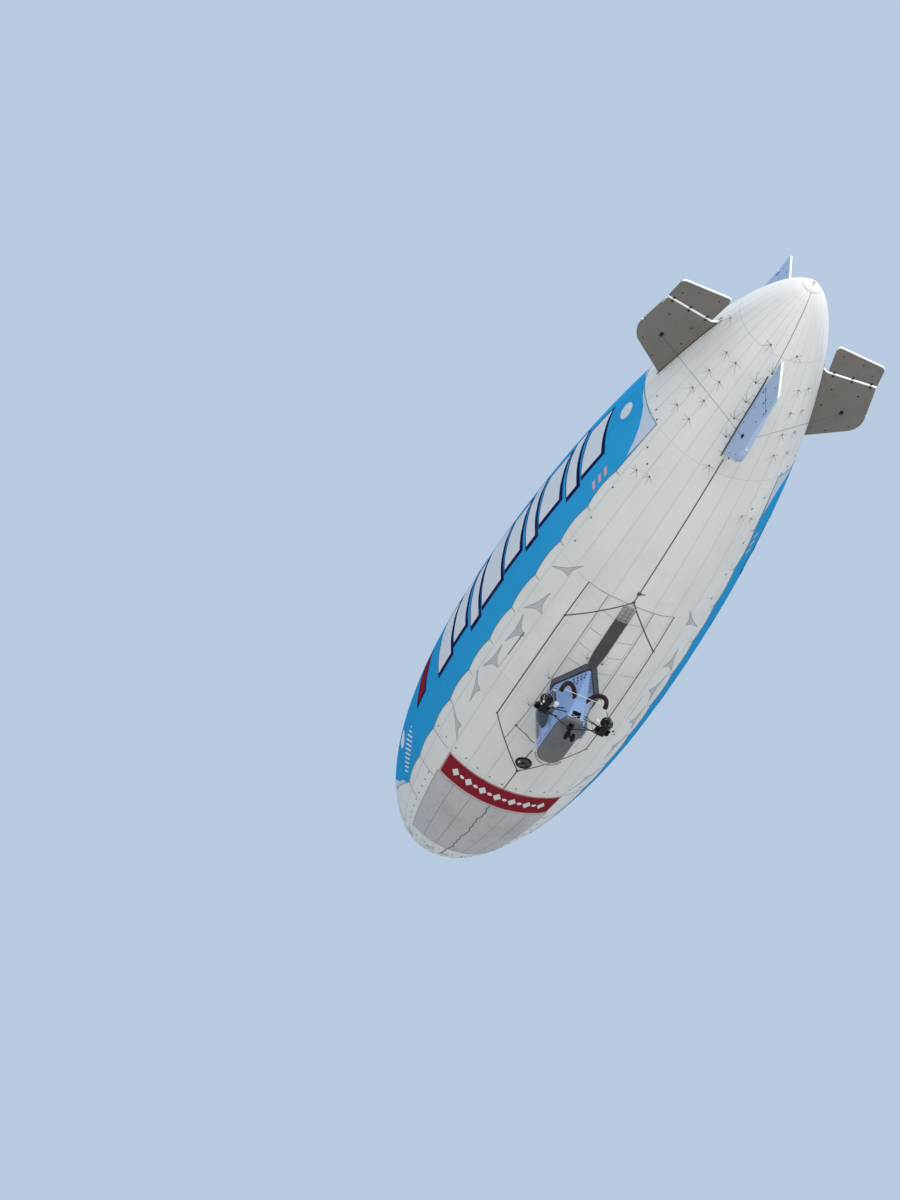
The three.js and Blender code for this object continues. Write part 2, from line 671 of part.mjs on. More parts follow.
// Belly duct: flat-bottomed cloth tube along the keel line from the skirt aft
const DUCT = { front: -2290, rear: -5900, half: 290, drop: 140, steps: 4, overlap: 500, sunk: 250 };
const DUCT_SIDE = { drop: 0.45, floor: 0.72 };

function ductRing(x) {
  const belly = -hullRadius(x);
  const side = [[DUCT.half, DUCT.sunk], [DUCT.half, -DUCT.drop * DUCT_SIDE.drop],
    [DUCT.half * DUCT_SIDE.floor, -DUCT.drop]];
  const other = side.map(([y, z]) => [-y, z]).reverse();
  return [...side, ...other].map(([y, z]) => new THREE.Vector3(x, y, belly + z));
}

const ductRings = [];
for (let i = 0; i <= DUCT.steps; i += 1) {
  const share = i / DUCT.steps;
  ductRings.push(ductRing((DUCT.front + DUCT.overlap) * (1 - share) + DUCT.rear * share));
}
const duct = solid(loft(ductRings)).subtract(hullCutter).subtract(podGrown);
add("belly_duct", duct.intersect(box([-BIG * 3, -BIG, -BIG], [DUCT.front, BIG, 0])), DUCT_CLOTH);
add("gondola_skirt", skirt.intersect(box([DUCT.front + SEAT, -BIG, -BIG], [BIG, BIG, 0])), DUCT_CLOTH);

// Cabin fittings: side profiles as [forward, up] from the floor, pushed through across the cabin
const SEAT_PROFILE = [
  [0, 0], [430, 0], [430, 330], [470, 360], [470, 440], [110, 400], [10, 980], [-100, 980], [-20, 380],
];
const CONSOLE_PROFILE = [[1560, 0], [1800, 0], [1800, 560], [1640, 700], [1560, 640]];
const FRONT_SEAT = { x: 720, inner: 70, outer: 500 };
const BENCH = { x: -370, half: 540 };
const CONSOLE_HALF = 330;

function onFloor(profile, x, y0, y1) {
  return slab(profile.map(([u, v]) => [x + u, FLOOR_Z + SEAT + v]), "xz", y0, y1);
}

const frontSeat = onFloor(SEAT_PROFILE, FRONT_SEAT.x, FRONT_SEAT.inner, FRONT_SEAT.outer);
add("seat_front_port", frontSeat, SEAT_CLOTH);
add("seat_front_starboard", mirrored(frontSeat), SEAT_CLOTH);
add("seat_bench", onFloor(SEAT_PROFILE, BENCH.x, -BENCH.half, BENCH.half), SEAT_CLOTH);
add("instrument_console", onFloor(CONSOLE_PROFILE, 0, -CONSOLE_HALF, CONSOLE_HALF), BLACK_METAL);

// Circle of points for a shape that runs along a path
function circle(radius, sides) {
  return Array.from({ length: sides }, (_, i) => {
    const angle = i / sides * 2 * Math.PI;
    return new THREE.Vector2(radius * Math.cos(angle), radius * Math.sin(angle));
  });
}

// Handrails round the pan for the ground crew, each a bent tube on standoffs
const RAIL = { offset: 160, z: -7190, radius: 17, sides: 6, post: 12 };
const BOW_RAIL = { sweep: 1.05, steps: 8, squeeze: 0.94, posts: [-0.85, -0.3, 0.3, 0.85], depth: 300 };
const SIDE_RAIL = { rear: -90, middle: 565, front: 1220, posts: [60, 560, 1060], depth: 60 };
const railHalf = PAN_HALF + RAIL.offset;
const bowReach = LEVELS[1].bow - BOW_X + RAIL.offset;

function railTube(points) {
  const path = new THREE.CatmullRomCurve3(points.map((p) => new THREE.Vector3(...p)), false, "centripetal");
  const ring = new THREE.Shape(circle(RAIL.radius, RAIL.sides));
  const steps = (points.length - 1) * 2;
  return solid(new THREE.ExtrudeGeometry(ring, { steps, extrudePath: path, bevelEnabled: false }));
}

function bowRailPoint(angle, inward = 0) {
  return [BOW_X + (bowReach - inward) * Math.cos(angle),
    (railHalf * BOW_RAIL.squeeze - inward) * Math.sin(angle), RAIL.z];
}

const bowRail = [];
for (let i = 0; i <= BOW_RAIL.steps; i += 1) {
  bowRail.push(bowRailPoint(BOW_RAIL.sweep * (2 * i / BOW_RAIL.steps - 1)));
}
let frontRail = railTube(bowRail);
for (const angle of BOW_RAIL.posts) {
  frontRail = frontRail.add(bar(bowRailPoint(angle), bowRailPoint(angle, BOW_RAIL.depth), RAIL.post, 6));
}
add("handrail_bow", frontRail.subtract(podGrown), STEEL);

const sideRailLine = [SIDE_RAIL.rear, SIDE_RAIL.middle, SIDE_RAIL.front];
let sideRail = railTube(sideRailLine.map((x) => [x, railHalf, RAIL.z]));
for (const x of SIDE_RAIL.posts) {
  const ends = [[x, railHalf, RAIL.z], [x, PAN_HALF - SIDE_RAIL.depth, RAIL.z]];
  sideRail = sideRail.add(bar(...ends, RAIL.post, 6));
}
sideRail = sideRail.subtract(podGrown);

// Power unit, port side: blocks of the engine; columns: low and high corner from the engine's centre
const ENGINE_BLOCKS = [
  { low: [-230, -120, -150], high: [280, 120, 130] },
  { low: [-60, -330, -80], high: [80, 330, 80] },
  { low: [120, -330, -80], high: [250, 330, 80] },
];
const MUFFLER = { y: -450, z: -10, front: -250, rear: -490, radius: 110 };
const EXHAUST = { from: [-20, -300, 45], to: [-280, -440, 30], radius: 25 };
const SHAFT = { radius: 45, front: 0, rear: PROP.x + 70, sides: 12 };

function fromEngine([x, y, z]) {
  return [ENGINE.x + x, ENGINE.y + y, ENGINE.z + z];
}

const engineBody = join(
  ...ENGINE_BLOCKS.map(({ low, high }) => box(fromEngine(low), fromEngine(high))),
  bar(fromEngine([MUFFLER.front, MUFFLER.y, MUFFLER.z]), fromEngine([MUFFLER.rear, MUFFLER.y, MUFFLER.z]),
    MUFFLER.radius, 12),
  bar(fromEngine(EXHAUST.from), fromEngine(EXHAUST.to), EXHAUST.radius),
  bar([ENGINE.x, ENGINE.y, PROP.z], [SHAFT.rear + SEAT, ENGINE.y, PROP.z], SHAFT.radius, SHAFT.sides),
);

// Cowl drum round the shaft, with three upright slots in its rear face
const SLOTS = { places: [-150, 0, 150], half: 22, low: 70, high: 190, depth: 60 };
const drumRear = DRUM.x - DRUM.length / 2;
const drumFront = DRUM.x + DRUM.length / 2;
const drum = turned([
  [drumRear, DRUM.bore], [drumRear, DRUM.radius - DRUM.bevel], [drumRear + DRUM.bevel, DRUM.radius],
  [drumFront, DRUM.radius], [drumFront, DRUM.bore], [drumRear, DRUM.bore],
], ENGINE.y, PROP.z, 20);
const shaftHole = bar([BIG, ENGINE.y, PROP.z], [-BIG, ENGINE.y, PROP.z], SHAFT.radius + SEAT, SHAFT.sides);
let drumBody = drum.subtract(shaftHole);
for (const offset of SLOTS.places) {
  drumBody = drumBody.subtract(box(
    [drumRear - DRUM.length, ENGINE.y + offset - SLOTS.half, PROP.z + SLOTS.low],
    [drumRear + SLOTS.depth, ENGINE.y + offset + SLOTS.half, PROP.z + SLOTS.high]));
}

// Outrigger: a bearer plate under the engine on four tubes that reach the gondola and the gear head;
// columns: x at the plate, inner end, radius
const GEAR_HEAD = { half: 70, front: -400, rear: -640, low: -7450 };
const BEARER = { inner: 1250, outer: 1550, front: -430, rear: -930, thick: 30, lap: 40 };
const OUTRIGGER_TUBES = [
  { plateX: -700, inner: [-600, 0, -7430], radius: 22 },
  { plateX: -480, inner: [-380, 300, -6820], radius: 24 },
  { plateX: -880, inner: [-900, 200, -6860], radius: 22 },
  { plateX: -830, inner: [-760, 300, -6480], radius: 20 },
];
const bearerTop = ENGINE.z + ENGINE_BLOCKS[0].low[2] - SEAT;
const bearerMiddle = bearerTop - BEARER.thick / 2;
const bearerPlate = box(
  [BEARER.rear, BEARER.inner, bearerTop - BEARER.thick], [BEARER.front, BEARER.outer, bearerTop]);
const outriggerTubes = OUTRIGGER_TUBES.map(({ plateX, inner, radius }) => bar(
  [plateX, BEARER.inner + BEARER.lap, bearerMiddle], inner, radius));
const gearHeadRoom = box([-BIG, -GEAR_HEAD.half - SEAT, -BIG], [BIG, GEAR_HEAD.half + SEAT, 0]);
const outrigger = join(bearerPlate, ...outriggerTubes).subtract(podGrown).subtract(gearHeadRoom);

// Propeller; columns: radius, chord, thickness, blade angle in degrees
const BLADE = [
  [50, 70, 50, 60],
  [200, 105, 30, 42],
  [450, 110, 18, 26],
  [700, 85, 10, 19],
  [PROP.radius, 40, 6, 17],
];
// Blade section from its leading edge; columns: share of the chord, share of the thickness
const BLADE_SECTION = [[-0.5, 0], [-0.2, 0.5], [0.25, 0.42], [0.5, 0], [0.25, -0.42], [-0.2, -0.5]];
const HUB_PROFILE = [[70, 0], [70, PROP.hub], [-50, PROP.hub], [-120, 30], [-120, 0]];
const PROP_TILT = 24;

function bladeRing([radius, chord, thick, angle]) {
  const turn = radians(90 - angle);
  return BLADE_SECTION.map(([c, t]) => {
    const u = c * chord;
    const v = t * thick;
    const x = u * Math.cos(turn) - v * Math.sin(turn);
    const y = u * Math.sin(turn) + v * Math.cos(turn);
    return new THREE.Vector3(x, y, radius);
  });
}

const blade = solid(loft(BLADE.map(bladeRing)));
const hub = turned(HUB_PROFILE, 0, 0, 14);
const propeller = join(hub, blade, blade.rotate([180, 0, 0]))
  .rotate([PROP_TILT, 0, 0])
  .translate([PROP.x, ENGINE.y, PROP.z]);

// Air scoop: a stiff hose that hooks round from the fairing to face the propeller's wash
const HOSE_TUBE = { radius: 100, wall: 9, sides: 10, steps: 12 };
const SCOOP_PATH = [
  [-1150, 190, -6330], [-1400, 330, -6200], [-1650, 520, -6110], [-1820, 760, -6130],
  [-1860, 950, -6280], [-1760, 1030, -6450], [-1600, 1040, -6520],
];

function hose(outer, inner = 0) {
  const points = SCOOP_PATH.map((p) => new THREE.Vector3(...p));
  const path = new THREE.CatmullRomCurve3(points, false, "centripetal");
  const ring = new THREE.Shape(circle(outer, HOSE_TUBE.sides));
  if (inner > 0) ring.holes.push(new THREE.Path(circle(inner, HOSE_TUBE.sides)));
  return solid(new THREE.ExtrudeGeometry(
    ring, { steps: HOSE_TUBE.steps, extrudePath: path, bevelEnabled: false }));
}

const scoop = hose(HOSE_TUBE.radius, HOSE_TUBE.radius - HOSE_TUBE.wall).subtract(podGrown);
const scoopRoom = hose(HOSE_TUBE.radius + SEAT);

const CROSSBAR = { x: -1660, half: 1000, z: -6410, radius: 15 };
const crossbar = bar([CROSSBAR.x, -CROSSBAR.half, CROSSBAR.z], [CROSSBAR.x, CROSSBAR.half, CROSSBAR.z],
  CROSSBAR.radius, 6).subtract(scoopRoom).subtract(mirrored(scoopRoom)).subtract(podGrown);

for (const [side, place] of [["port", (body) => body], ["starboard", mirrored]]) {
  add(`gondola_side_${side}`, place(sideBody), PALE_BLUE);
  add(`rear_window_${side}`, place(rearPane), GLASS);
  add(`door_${side}`, place(doorBody), PALE_BLUE);
  add(`door_window_${side}`, place(doorPane), GLASS);
  add(`handrail_${side}`, place(sideRail), STEEL);
  add(`engine_${side}`, place(engineBody), BLACK_METAL);
  add(`cowl_drum_${side}`, place(drumBody), BLACK_METAL);
  add(`outrigger_${side}`, place(outrigger), STEEL);
  add(`air_scoop_${side}`, place(scoop), HOSE);
  add(`propeller_${side}`, place(propeller), WOOD);
}
add("scoop_crossbar", crossbar, WHITE_METAL);

// Landing gear: fixed leg, castering fork and twin wheels on one axle
const LEG_PIN = { radius: 38, sunk: 20 };
const legBody = join(
  box([GEAR_HEAD.rear, -GEAR_HEAD.half, GEAR_HEAD.low], [GEAR_HEAD.front, GEAR_HEAD.half, KEEL_Z - SEAT]),
  bar([SWIVEL.x, 0, GEAR_HEAD.low + LEG_PIN.sunk], [SWIVEL.x, 0, SWIVEL.z], LEG_PIN.radius, 12),
);
add("gear_leg", legBody, STEEL);

const FORK = { half: 34, reach: 45, eye: 40, neck: 150, bore: 24 };
const forkOutline = [
  [SWIVEL.x + FORK.reach, SWIVEL.z - SEAT], [SWIVEL.x - FORK.reach, SWIVEL.z - SEAT],
  [AXLE.x - FORK.reach, AXLE.z + FORK.eye], [AXLE.x - FORK.reach, AXLE.z - FORK.eye],
  [AXLE.x + FORK.reach, AXLE.z - FORK.eye], [SWIVEL.x + FORK.reach, SWIVEL.z - FORK.neck],
];
const axleHole = bar([AXLE.x, -BIG, AXLE.z], [AXLE.x, BIG, AXLE.z], FORK.bore, 16);
add("caster_fork", slab(forkOutline, "xz", -FORK.half, FORK.half).subtract(axleHole), WHITE_METAL);

const HUB = { inset: 8, boss: 45, axle: 20, clear: 0.5 };
const TREAD = { shoulder: 45, drop: 14, edge: 20 };
const WHEEL_SIDES = 16;
const inward = WHEEL.y - WHEEL.width / 2;
const outward = WHEEL.y + WHEEL.width / 2;

// Body of revolution about the axle; the profile holds [y, radius] pairs
function wheelRound(profile) {
  const geometry = new THREE.LatheGeometry(profile.map(([y, r]) => new THREE.Vector2(r, y)), WHEEL_SIDES);
  geometry.translate(AXLE.x, 0, AXLE.z);
  return solid(geometry);
}

const hubHalf = [
  [FORK.half + HUB.clear, HUB.axle], [FORK.half + HUB.clear, HUB.boss], [inward + HUB.inset, HUB.boss],
  [inward + HUB.inset, WHEEL.rim], [outward - HUB.inset, WHEEL.rim], [outward - HUB.inset, 0],
];
const hubOther = hubHalf.map(([y, r]) => [-y, r]).reverse();
add("wheel_axle", wheelRound([...hubOther, ...hubHalf]), STEEL);
const tyre = wheelRound([
  [inward, WHEEL.rim + SEAT], [inward, WHEEL.radius - TREAD.shoulder],
  [inward + TREAD.edge, WHEEL.radius - TREAD.drop], [WHEEL.y, WHEEL.radius],
  [outward - TREAD.edge, WHEEL.radius - TREAD.drop], [outward, WHEEL.radius - TREAD.shoulder],
  [outward, WHEEL.rim + SEAT], [inward, WHEEL.rim + SEAT],
]);
add("tyre_port", tyre, RUBBER);
add("tyre_starboard", mirrored(tyre), RUBBER);

export default group;
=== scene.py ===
"""Advertising blimp in flight: cloth, paint, glass and running gear around its fixed frame.

Frame: metres, +X towards the nose, +Y to port, +Z up, origin on the envelope's axis.
Angles round the hull are in degrees from straight down, positive towards port.
"""
import logging
import math
from dataclasses import dataclass
from enum import Enum
from typing import Callable, Sequence

import bmesh
import bpy
import numpy as np
from mathutils import Matrix, Vector


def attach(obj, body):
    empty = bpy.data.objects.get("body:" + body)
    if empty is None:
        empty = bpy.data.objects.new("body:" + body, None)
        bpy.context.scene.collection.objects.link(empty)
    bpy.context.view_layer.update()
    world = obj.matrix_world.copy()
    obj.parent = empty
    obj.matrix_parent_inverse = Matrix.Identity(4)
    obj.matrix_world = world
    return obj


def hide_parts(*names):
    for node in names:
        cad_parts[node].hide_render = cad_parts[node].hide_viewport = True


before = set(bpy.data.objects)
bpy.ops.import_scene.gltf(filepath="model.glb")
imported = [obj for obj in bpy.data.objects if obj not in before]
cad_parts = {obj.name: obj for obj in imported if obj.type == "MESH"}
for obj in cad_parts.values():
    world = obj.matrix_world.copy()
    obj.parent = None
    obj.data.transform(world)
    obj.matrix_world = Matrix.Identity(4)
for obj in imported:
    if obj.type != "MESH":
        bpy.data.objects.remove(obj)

LOG = logging.getLogger("blimp")
HULL = "hull"
TINY = 1e-9

Colour = tuple[float, float, float]
Point = tuple[float, float, float]
HullPoint = tuple[float, float]
Face = tuple[int, ...]
Socket = bpy.types.NodeSocket
Sockets = dict[str, Socket]
Node = bpy.types.Node
Tree = bpy.types.NodeTree
Piece = bpy.types.Object


class Side(Enum):
    """The two sides of the craft, as the sign of Y."""

    PORT = 1
    STARBOARD = -1

    @property
    def word(self) -> str:
        """The side's name as it ends a node's name."""
        return self.name.lower()


class Desk:
    """Adds nodes to a shader tree and joins them up."""

    def __init__(self, tree: Tree) -> None:
        """Works on one material's or group's node tree."""
        self.tree = tree

    def node(self, kind: str, **settings: object) -> Node:
        """Adds one node.

        Args:
            kind: the node's Blender type name.
            settings: properties to set on the node.

        Returns:
            The new node.
        """
        made = self.tree.nodes.new(kind)
        for name, value in settings.items():
            setattr(made, name, value)
        return made

    def feed(self, socket: Socket, value: object) -> None:
        """Sets a socket to a constant, or links another socket to it.

        Args:
            socket: the input to feed.
            value: a number, a tuple, a colour or an output socket.
        """
        if isinstance(value, Socket):
            self.tree.links.new(value, socket)
        elif isinstance(value, tuple) and len(value) == 3 and socket.type == "RGBA":
            socket.default_value = (*value, 1.0)
        else:
            socket.default_value = value

    def place(self) -> Socket:
        """Gives the place on the piece, in the object's own axes."""
        return self.node("ShaderNodeTexCoord").outputs["Object"]

    def math(self, operation: str, a: object, b: object = 0.0, clamp: bool = False) -> Socket:
        """Adds a Math node.

        Args:
            operation: the Math node's operation.
            a: first value or socket.
            b: second value or socket.
            clamp: whether the result stays between 0 and 1.

        Returns:
            The result's socket.
        """
        made = self.node("ShaderNodeMath", operation=operation, use_clamp=clamp)
        self.feed(made.inputs[0], a)
        self.feed(made.inputs[1], b)
        return made.outputs[0]

    def mix(self, share: object, a: object, b: object) -> Socket:
        """Mixes two colours.

        Args:
            share: how much of the second colour shows.
            a: first colour or socket.
            b: second colour or socket.

        Returns:
            The mixed colour's socket.
        """
        made = self.node("ShaderNodeMix", data_type="RGBA")
        for number, given in ((0, share), (6, a), (7, b)):
            self.feed(made.inputs[number], given)
        return made.outputs[2]

    def between(self, value: object, low: float, high: float, to_low: float = 0.0,
                to_high: float = 1.0) -> Socket:
        """Maps a range to another range, held at its ends.

        Args:
            value: the socket to map.
            low: start of the range.
            high: end of the range.
            to_low: result at the start.
            to_high: result at the end.

        Returns:
            The result's socket.
        """
        made = self.node("ShaderNodeMapRange", clamp=True)
        for socket, given in zip(made.inputs, (value, low, high, to_low, to_high)):
            self.feed(socket, given)
        return made.outputs[0]

    def noise(self, vector: object, scale: object, detail: float = 3.0, roughness: float = 0.55) -> Socket:
        """Adds a Noise texture.

        Args:
            vector: where the texture is read.
            scale: waves per metre.
            detail: number of octaves.
            roughness: strength of the finer octaves.

        Returns:
            The noise value's socket.
        """
        made = self.node("ShaderNodeTexNoise")
        self.feed(made.inputs["Vector"], vector)
        self.feed(made.inputs["Scale"], scale)
        made.inputs["Detail"].default_value = detail
        made.inputs["Roughness"].default_value = roughness
        return made.outputs[0]

    def effect(self, effect: "Effect", **values: float) -> Socket:
        """Places a shared effect.

        Args:
            effect: the effect.
            values: its input values.

        Returns:
            The effect's output.
        """
        made = self.node("ShaderNodeGroup", node_tree=effect.tree())
        for label, value in values.items():
            made.inputs[label.capitalize()].default_value = value
        return made.outputs[0]


@dataclass(frozen=True)
class Effect:
    """A shader node group that several finishes share, built the first time it is used."""

    name: str
    inputs: dict[str, float]
    output: str
    fill: Callable[[Desk, Sockets], Socket]

    def tree(self) -> Tree:
        """Makes the node group, or finds the one already made.

        Returns:
            The node group.
        """
        if self.name in bpy.data.node_groups:
            return bpy.data.node_groups[self.name]
        tree = bpy.data.node_groups.new(self.name, "ShaderNodeTree")
        for label, value in self.inputs.items():
            socket = tree.interface.new_socket(name=label, in_out="INPUT", socket_type="NodeSocketFloat")
            socket.default_value = value
        tree.interface.new_socket(name=self.output, in_out="OUTPUT", socket_type="NodeSocketFloat")
        desk = Desk(tree)
        start, end = desk.node("NodeGroupInput"), desk.node("NodeGroupOutput")
        given = {label: start.outputs[label] for label in self.inputs}
        desk.feed(end.inputs[self.output], self.fill(desk, given))
        return tree


def weave_threads(desk: Desk, given: Sockets) -> Socket:
    """Crosses two bands of threads, over and under.

    Args:
        desk: the group's desk.
        given: its inputs Threads and Strength.

    Returns:
        The cloth's height.
    """
    place = desk.place()
    bands = []
    for direction in ("X", "DIAGONAL"):
        wave = desk.node("ShaderNodeTexWave", bands_direction=direction)
        desk.feed(wave.inputs["Vector"], place)
        desk.feed(wave.inputs["Scale"], given["Threads"])
        wave.inputs["Distortion"].default_value = 0.4
        bands.append(wave.outputs["Fac"])
    return desk.math("MULTIPLY", desk.math("MULTIPLY", *bands), given["Strength"])


def fold_creases(desk: Desk, given: Sockets) -> Socket:
    """Stretches noise along X and folds it into long soft creases.

    Args:
        desk: the group's desk.
        given: its inputs Scale, Stretch and Strength.

    Returns:
        The creases' height.
    """
    split = desk.node("ShaderNodeSeparateXYZ")
    desk.feed(split.inputs[0], desk.place())
    joined = desk.node("ShaderNodeCombineXYZ")
    desk.feed(joined.inputs[0], desk.math("DIVIDE", split.outputs[0], given["Stretch"]))
    desk.feed(joined.inputs[1], split.outputs[1])
    desk.feed(joined.inputs[2], split.outputs[2])
    wave = desk.noise(joined.outputs[0], given["Scale"], 2.0)
    return desk.math("MULTIPLY", desk.math("ABSOLUTE", desk.math("SUBTRACT", wave, 0.5)), given["Strength"])


def spread_grime(desk: Desk, given: Sockets) -> Socket:
    """Layers broad patches of grime and fading with fine speckle.

    Args:
        desk: the group's desk.
        given: its inputs Scale, Cover and Contrast.

    Returns:
        The mask of the grime.
    """
    place = desk.place()
    broad = desk.noise(place, given["Scale"], 5.0, 0.62)
    fine = desk.noise(place, desk.math("MULTIPLY", given["Scale"], 9.0), 3.0)
    both = desk.math("ADD", desk.math("MULTIPLY", broad, 0.75), desk.math("MULTIPLY", fine, 0.25))
    lifted = desk.math("SUBTRACT", desk.math("ADD", both, given["Cover"]), 1.0)
    return desk.math("MULTIPLY", desk.math("MAXIMUM", lifted, 0.0), given["Contrast"], clamp=True)


def rub_edges(desk: Desk, given: Sockets) -> Socket:
    """Wears edges and corners, broken up with noise.

    Args:
        desk: the group's desk.
        given: its inputs Reach and Break.

    Returns:
        The mask of the wear.
    """
    pointed = desk.node("ShaderNodeNewGeometry").outputs["Pointiness"]
    speckle = desk.noise(desk.place(), given["Break"], 4.0)
    worn = desk.math("MULTIPLY", desk.between(pointed, 0.52, 0.60), desk.between(speckle, 0.5, 0.62))
    return desk.math("MULTIPLY", worn, given["Reach"], clamp=True)


def roughen(desk: Desk, given: Sockets) -> Socket:
    """Gives the fine even texture of moulded, cast or sprayed surfaces.

    Args:
        desk: the group's desk.
        given: its inputs Scale and Strength.

    Returns:
        The grain's height.
    """
    return desk.math("MULTIPLY", desk.noise(desk.place(), given["Scale"], 4.0, 0.6), given["Strength"])


WEAVE = Effect("cloth_weave", {"Threads": 160.0, "Strength": 1.0}, "Height", weave_threads)
WRINKLE = Effect("soft_wrinkle", {"Scale": 1.5, "Stretch": 4.0, "Strength": 1.0}, "Height", fold_creases)
WEATHER = Effect("weather_stain", {"Scale": 1.0, "Cover": 0.55, "Contrast": 4.0}, "Mask", spread_grime)
RUB = Effect("edge_rub", {"Reach": 0.8, "Break": 110.0}, "Mask", rub_edges)
GRAIN = Effect("fine_grain", {"Scale": 300.0, "Strength": 1.0}, "Height", roughen)


@dataclass(frozen=True)
class Finish:
    """One surface finish; its material is made the first time it is used."""

    name: str
    colour: Colour
    roughness: float
    slot: str = ""
    metallic: float = 0.0
    stain: Colour = (0.2, 0.19, 0.17)
    stain_scale: float = 0.8
    stain_cover: float = 0.5
    stain_most: float = 0.25
    stain_dulls: float = 0.2
    worn: Colour | None = None
    threads: float = 0.0
    thread_height: float = 0.15
    crease: float = 0.0
    grain: float = 0.0
    grain_scale: float = 300.0
    bump: float = 0.3
    bump_depth: float = 0.01
    coat: float = 0.0
    sheen: float = 0.0
    specular: float = 0.5

    def paint(self, desk: Desk) -> object:
        """Gives the base colour, or its socket, before grime and wear."""
        return self.colour

    def relief(self, desk: Desk) -> list[Socket]:
        """Lists the heights that the bump adds up.

        Args:
            desk: the material's desk.

        Returns:
            One socket for each kind of relief.
        """
        heights = []
        if self.threads:
            heights.append(desk.effect(WEAVE, threads=self.threads, strength=self.thread_height))
        if self.crease:
            heights.append(desk.effect(WRINKLE, strength=self.crease))
        if self.grain:
            heights.append(desk.effect(GRAIN, scale=self.grain_scale, strength=self.grain))
        return heights

    def material(self) -> bpy.types.Material:
        """Makes the material, or finds the one already made.

        Returns:
            The material.
        """
        name = f"{self.name}_finish"
        if name not in bpy.data.materials:
            made = bpy.data.materials.new(name)
            made.use_nodes = True
            self.shade(Desk(made.node_tree), made.node_tree.nodes["Principled BSDF"])
        return bpy.data.materials[name]

    def shade(self, desk: Desk, shader: Node) -> None:
        """Feeds the shader.

        Args:
            desk: the material's desk.
            shader: its Principled node.
        """
        grime = desk.effect(WEATHER, scale=self.stain_scale, cover=self.stain_cover)
        colour = desk.mix(desk.math("MULTIPLY", grime, self.stain_most), self.paint(desk), self.stain)
        if self.worn:
            colour = desk.mix(desk.effect(RUB), colour, self.worn)
        duller = desk.math("MULTIPLY", grime, self.stain_dulls)
        desk.feed(shader.inputs["Base Color"], colour)
        desk.feed(shader.inputs["Roughness"], desk.math("ADD", duller, self.roughness))
        shader.inputs["Metallic"].default_value = self.metallic
        shader.inputs["Coat Weight"].default_value = self.coat
        shader.inputs["Sheen Weight"].default_value = self.sheen
        shader.inputs["Specular IOR Level"].default_value = self.specular
        heights = self.relief(desk)
        if heights:
            total = heights[0]
            for height in heights[1:]:
                total = desk.math("ADD", total, height)
            bump = desk.node("ShaderNodeBump")
            bump.inputs["Strength"].default_value = self.bump
            bump.inputs["Distance"].default_value = self.bump_depth
            desk.feed(bump.inputs["Height"], total)
            desk.feed(shader.inputs["Normal"], bump.outputs[0])


@dataclass(frozen=True)
class Glazing(Finish):
    """Thin tinted acrylic."""

    smear_scale: float = 2.5
    smear_most: float = 0.3
    smear_dulls: float = 0.1
    clear: float = 0.85
    index: float = 1.3
    gloss: float = 0.4

    def shade(self, desk: Desk, shader: Node) -> None:
        """Feeds the shader.

        Args:
            desk: the material's desk.
            shader: its Principled node.
        """
        smear = desk.effect(WEATHER, scale=self.smear_scale, cover=self.stain_cover)
        share, duller = (desk.math("MULTIPLY", smear, most) for most in (self.smear_most, self.smear_dulls))
        desk.feed(shader.inputs["Base Color"], desk.mix(share, self.colour, self.stain))
        desk.feed(shader.inputs["Roughness"], desk.math("ADD", duller, self.roughness))
        shader.inputs["Transmission Weight"].default_value = self.clear
        shader.inputs["IOR"].default_value = self.index
        shader.inputs["Coat Weight"].default_value = self.gloss


@dataclass(frozen=True)
class SeamedCloth(Finish):
    """Envelope cloth: each gore has its own tone, and the fabric greys towards its seams."""

    gores: int = 30
    tone: float = 0.93
    seam_from: float = 0.44
    seam_most: float = 0.35

    def paint(self, desk: Desk) -> object:
        """Tones the gores and shades their seams.

        Args:
            desk: the material's desk.

        Returns:
            The colour's socket.
        """
        place = desk.node("ShaderNodeSeparateXYZ")
        desk.feed(place.inputs[0], desk.place())
        turn = desk.math("ARCTAN2", place.outputs[1], place.outputs[2])
        gore = desk.math("MULTIPLY", turn, self.gores / math.tau)
        number = desk.node("ShaderNodeTexWhiteNoise", noise_dimensions="1D")
        desk.feed(number.inputs["W"], desk.math("FLOOR", gore))
        greyer = tuple(self.tone * part for part in self.colour)
        tone = desk.mix(desk.between(number.outputs[0], 0.0, 1.0, 0.0, 0.5), self.colour, greyer)
        across = desk.math("ABSOLUTE", desk.math("SUBTRACT", desk.math("FRACT", gore), 0.5))
        return desk.mix(desk.between(across, self.seam_from, 0.5, 0.0, self.seam_most), tone, self.stain)


HULL_CLOTH = SeamedCloth("hull_cloth", (0.865, 0.85, 0.82), 0.42, "hull_cloth", stain=(0.60, 0.55, 0.47),
                         stain_scale=0.35, stain_cover=0.52, stain_most=0.3, threads=90.0, crease=0.8,
                         bump=0.25, sheen=0.15)
SEAM_TAPE = Finish("seam_tape", (0.73, 0.71, 0.67), 0.5, "hull_cloth", threads=120.0, bump=0.2)
PATCH_CLOTH = Finish("patch_cloth", (0.555, 0.56, 0.585), 0.6, "hull_cloth", threads=120.0, bump=0.2)
CAP_PAINT = Finish("cap_paint", (0.78, 0.755, 0.70), 0.45, "white_metal", grain=0.15)
DARK_LINE = Finish("dark_line", (0.06, 0.055, 0.05), 0.7, "hull_cloth", threads=300.0)
ROPE_LINE = Finish("rope_line", (0.105, 0.095, 0.08), 0.7, "hull_cloth", threads=300.0)
GREY_LINE = Finish("grey_line", (0.25, 0.24, 0.22), 0.7, "hull_cloth", threads=300.0)
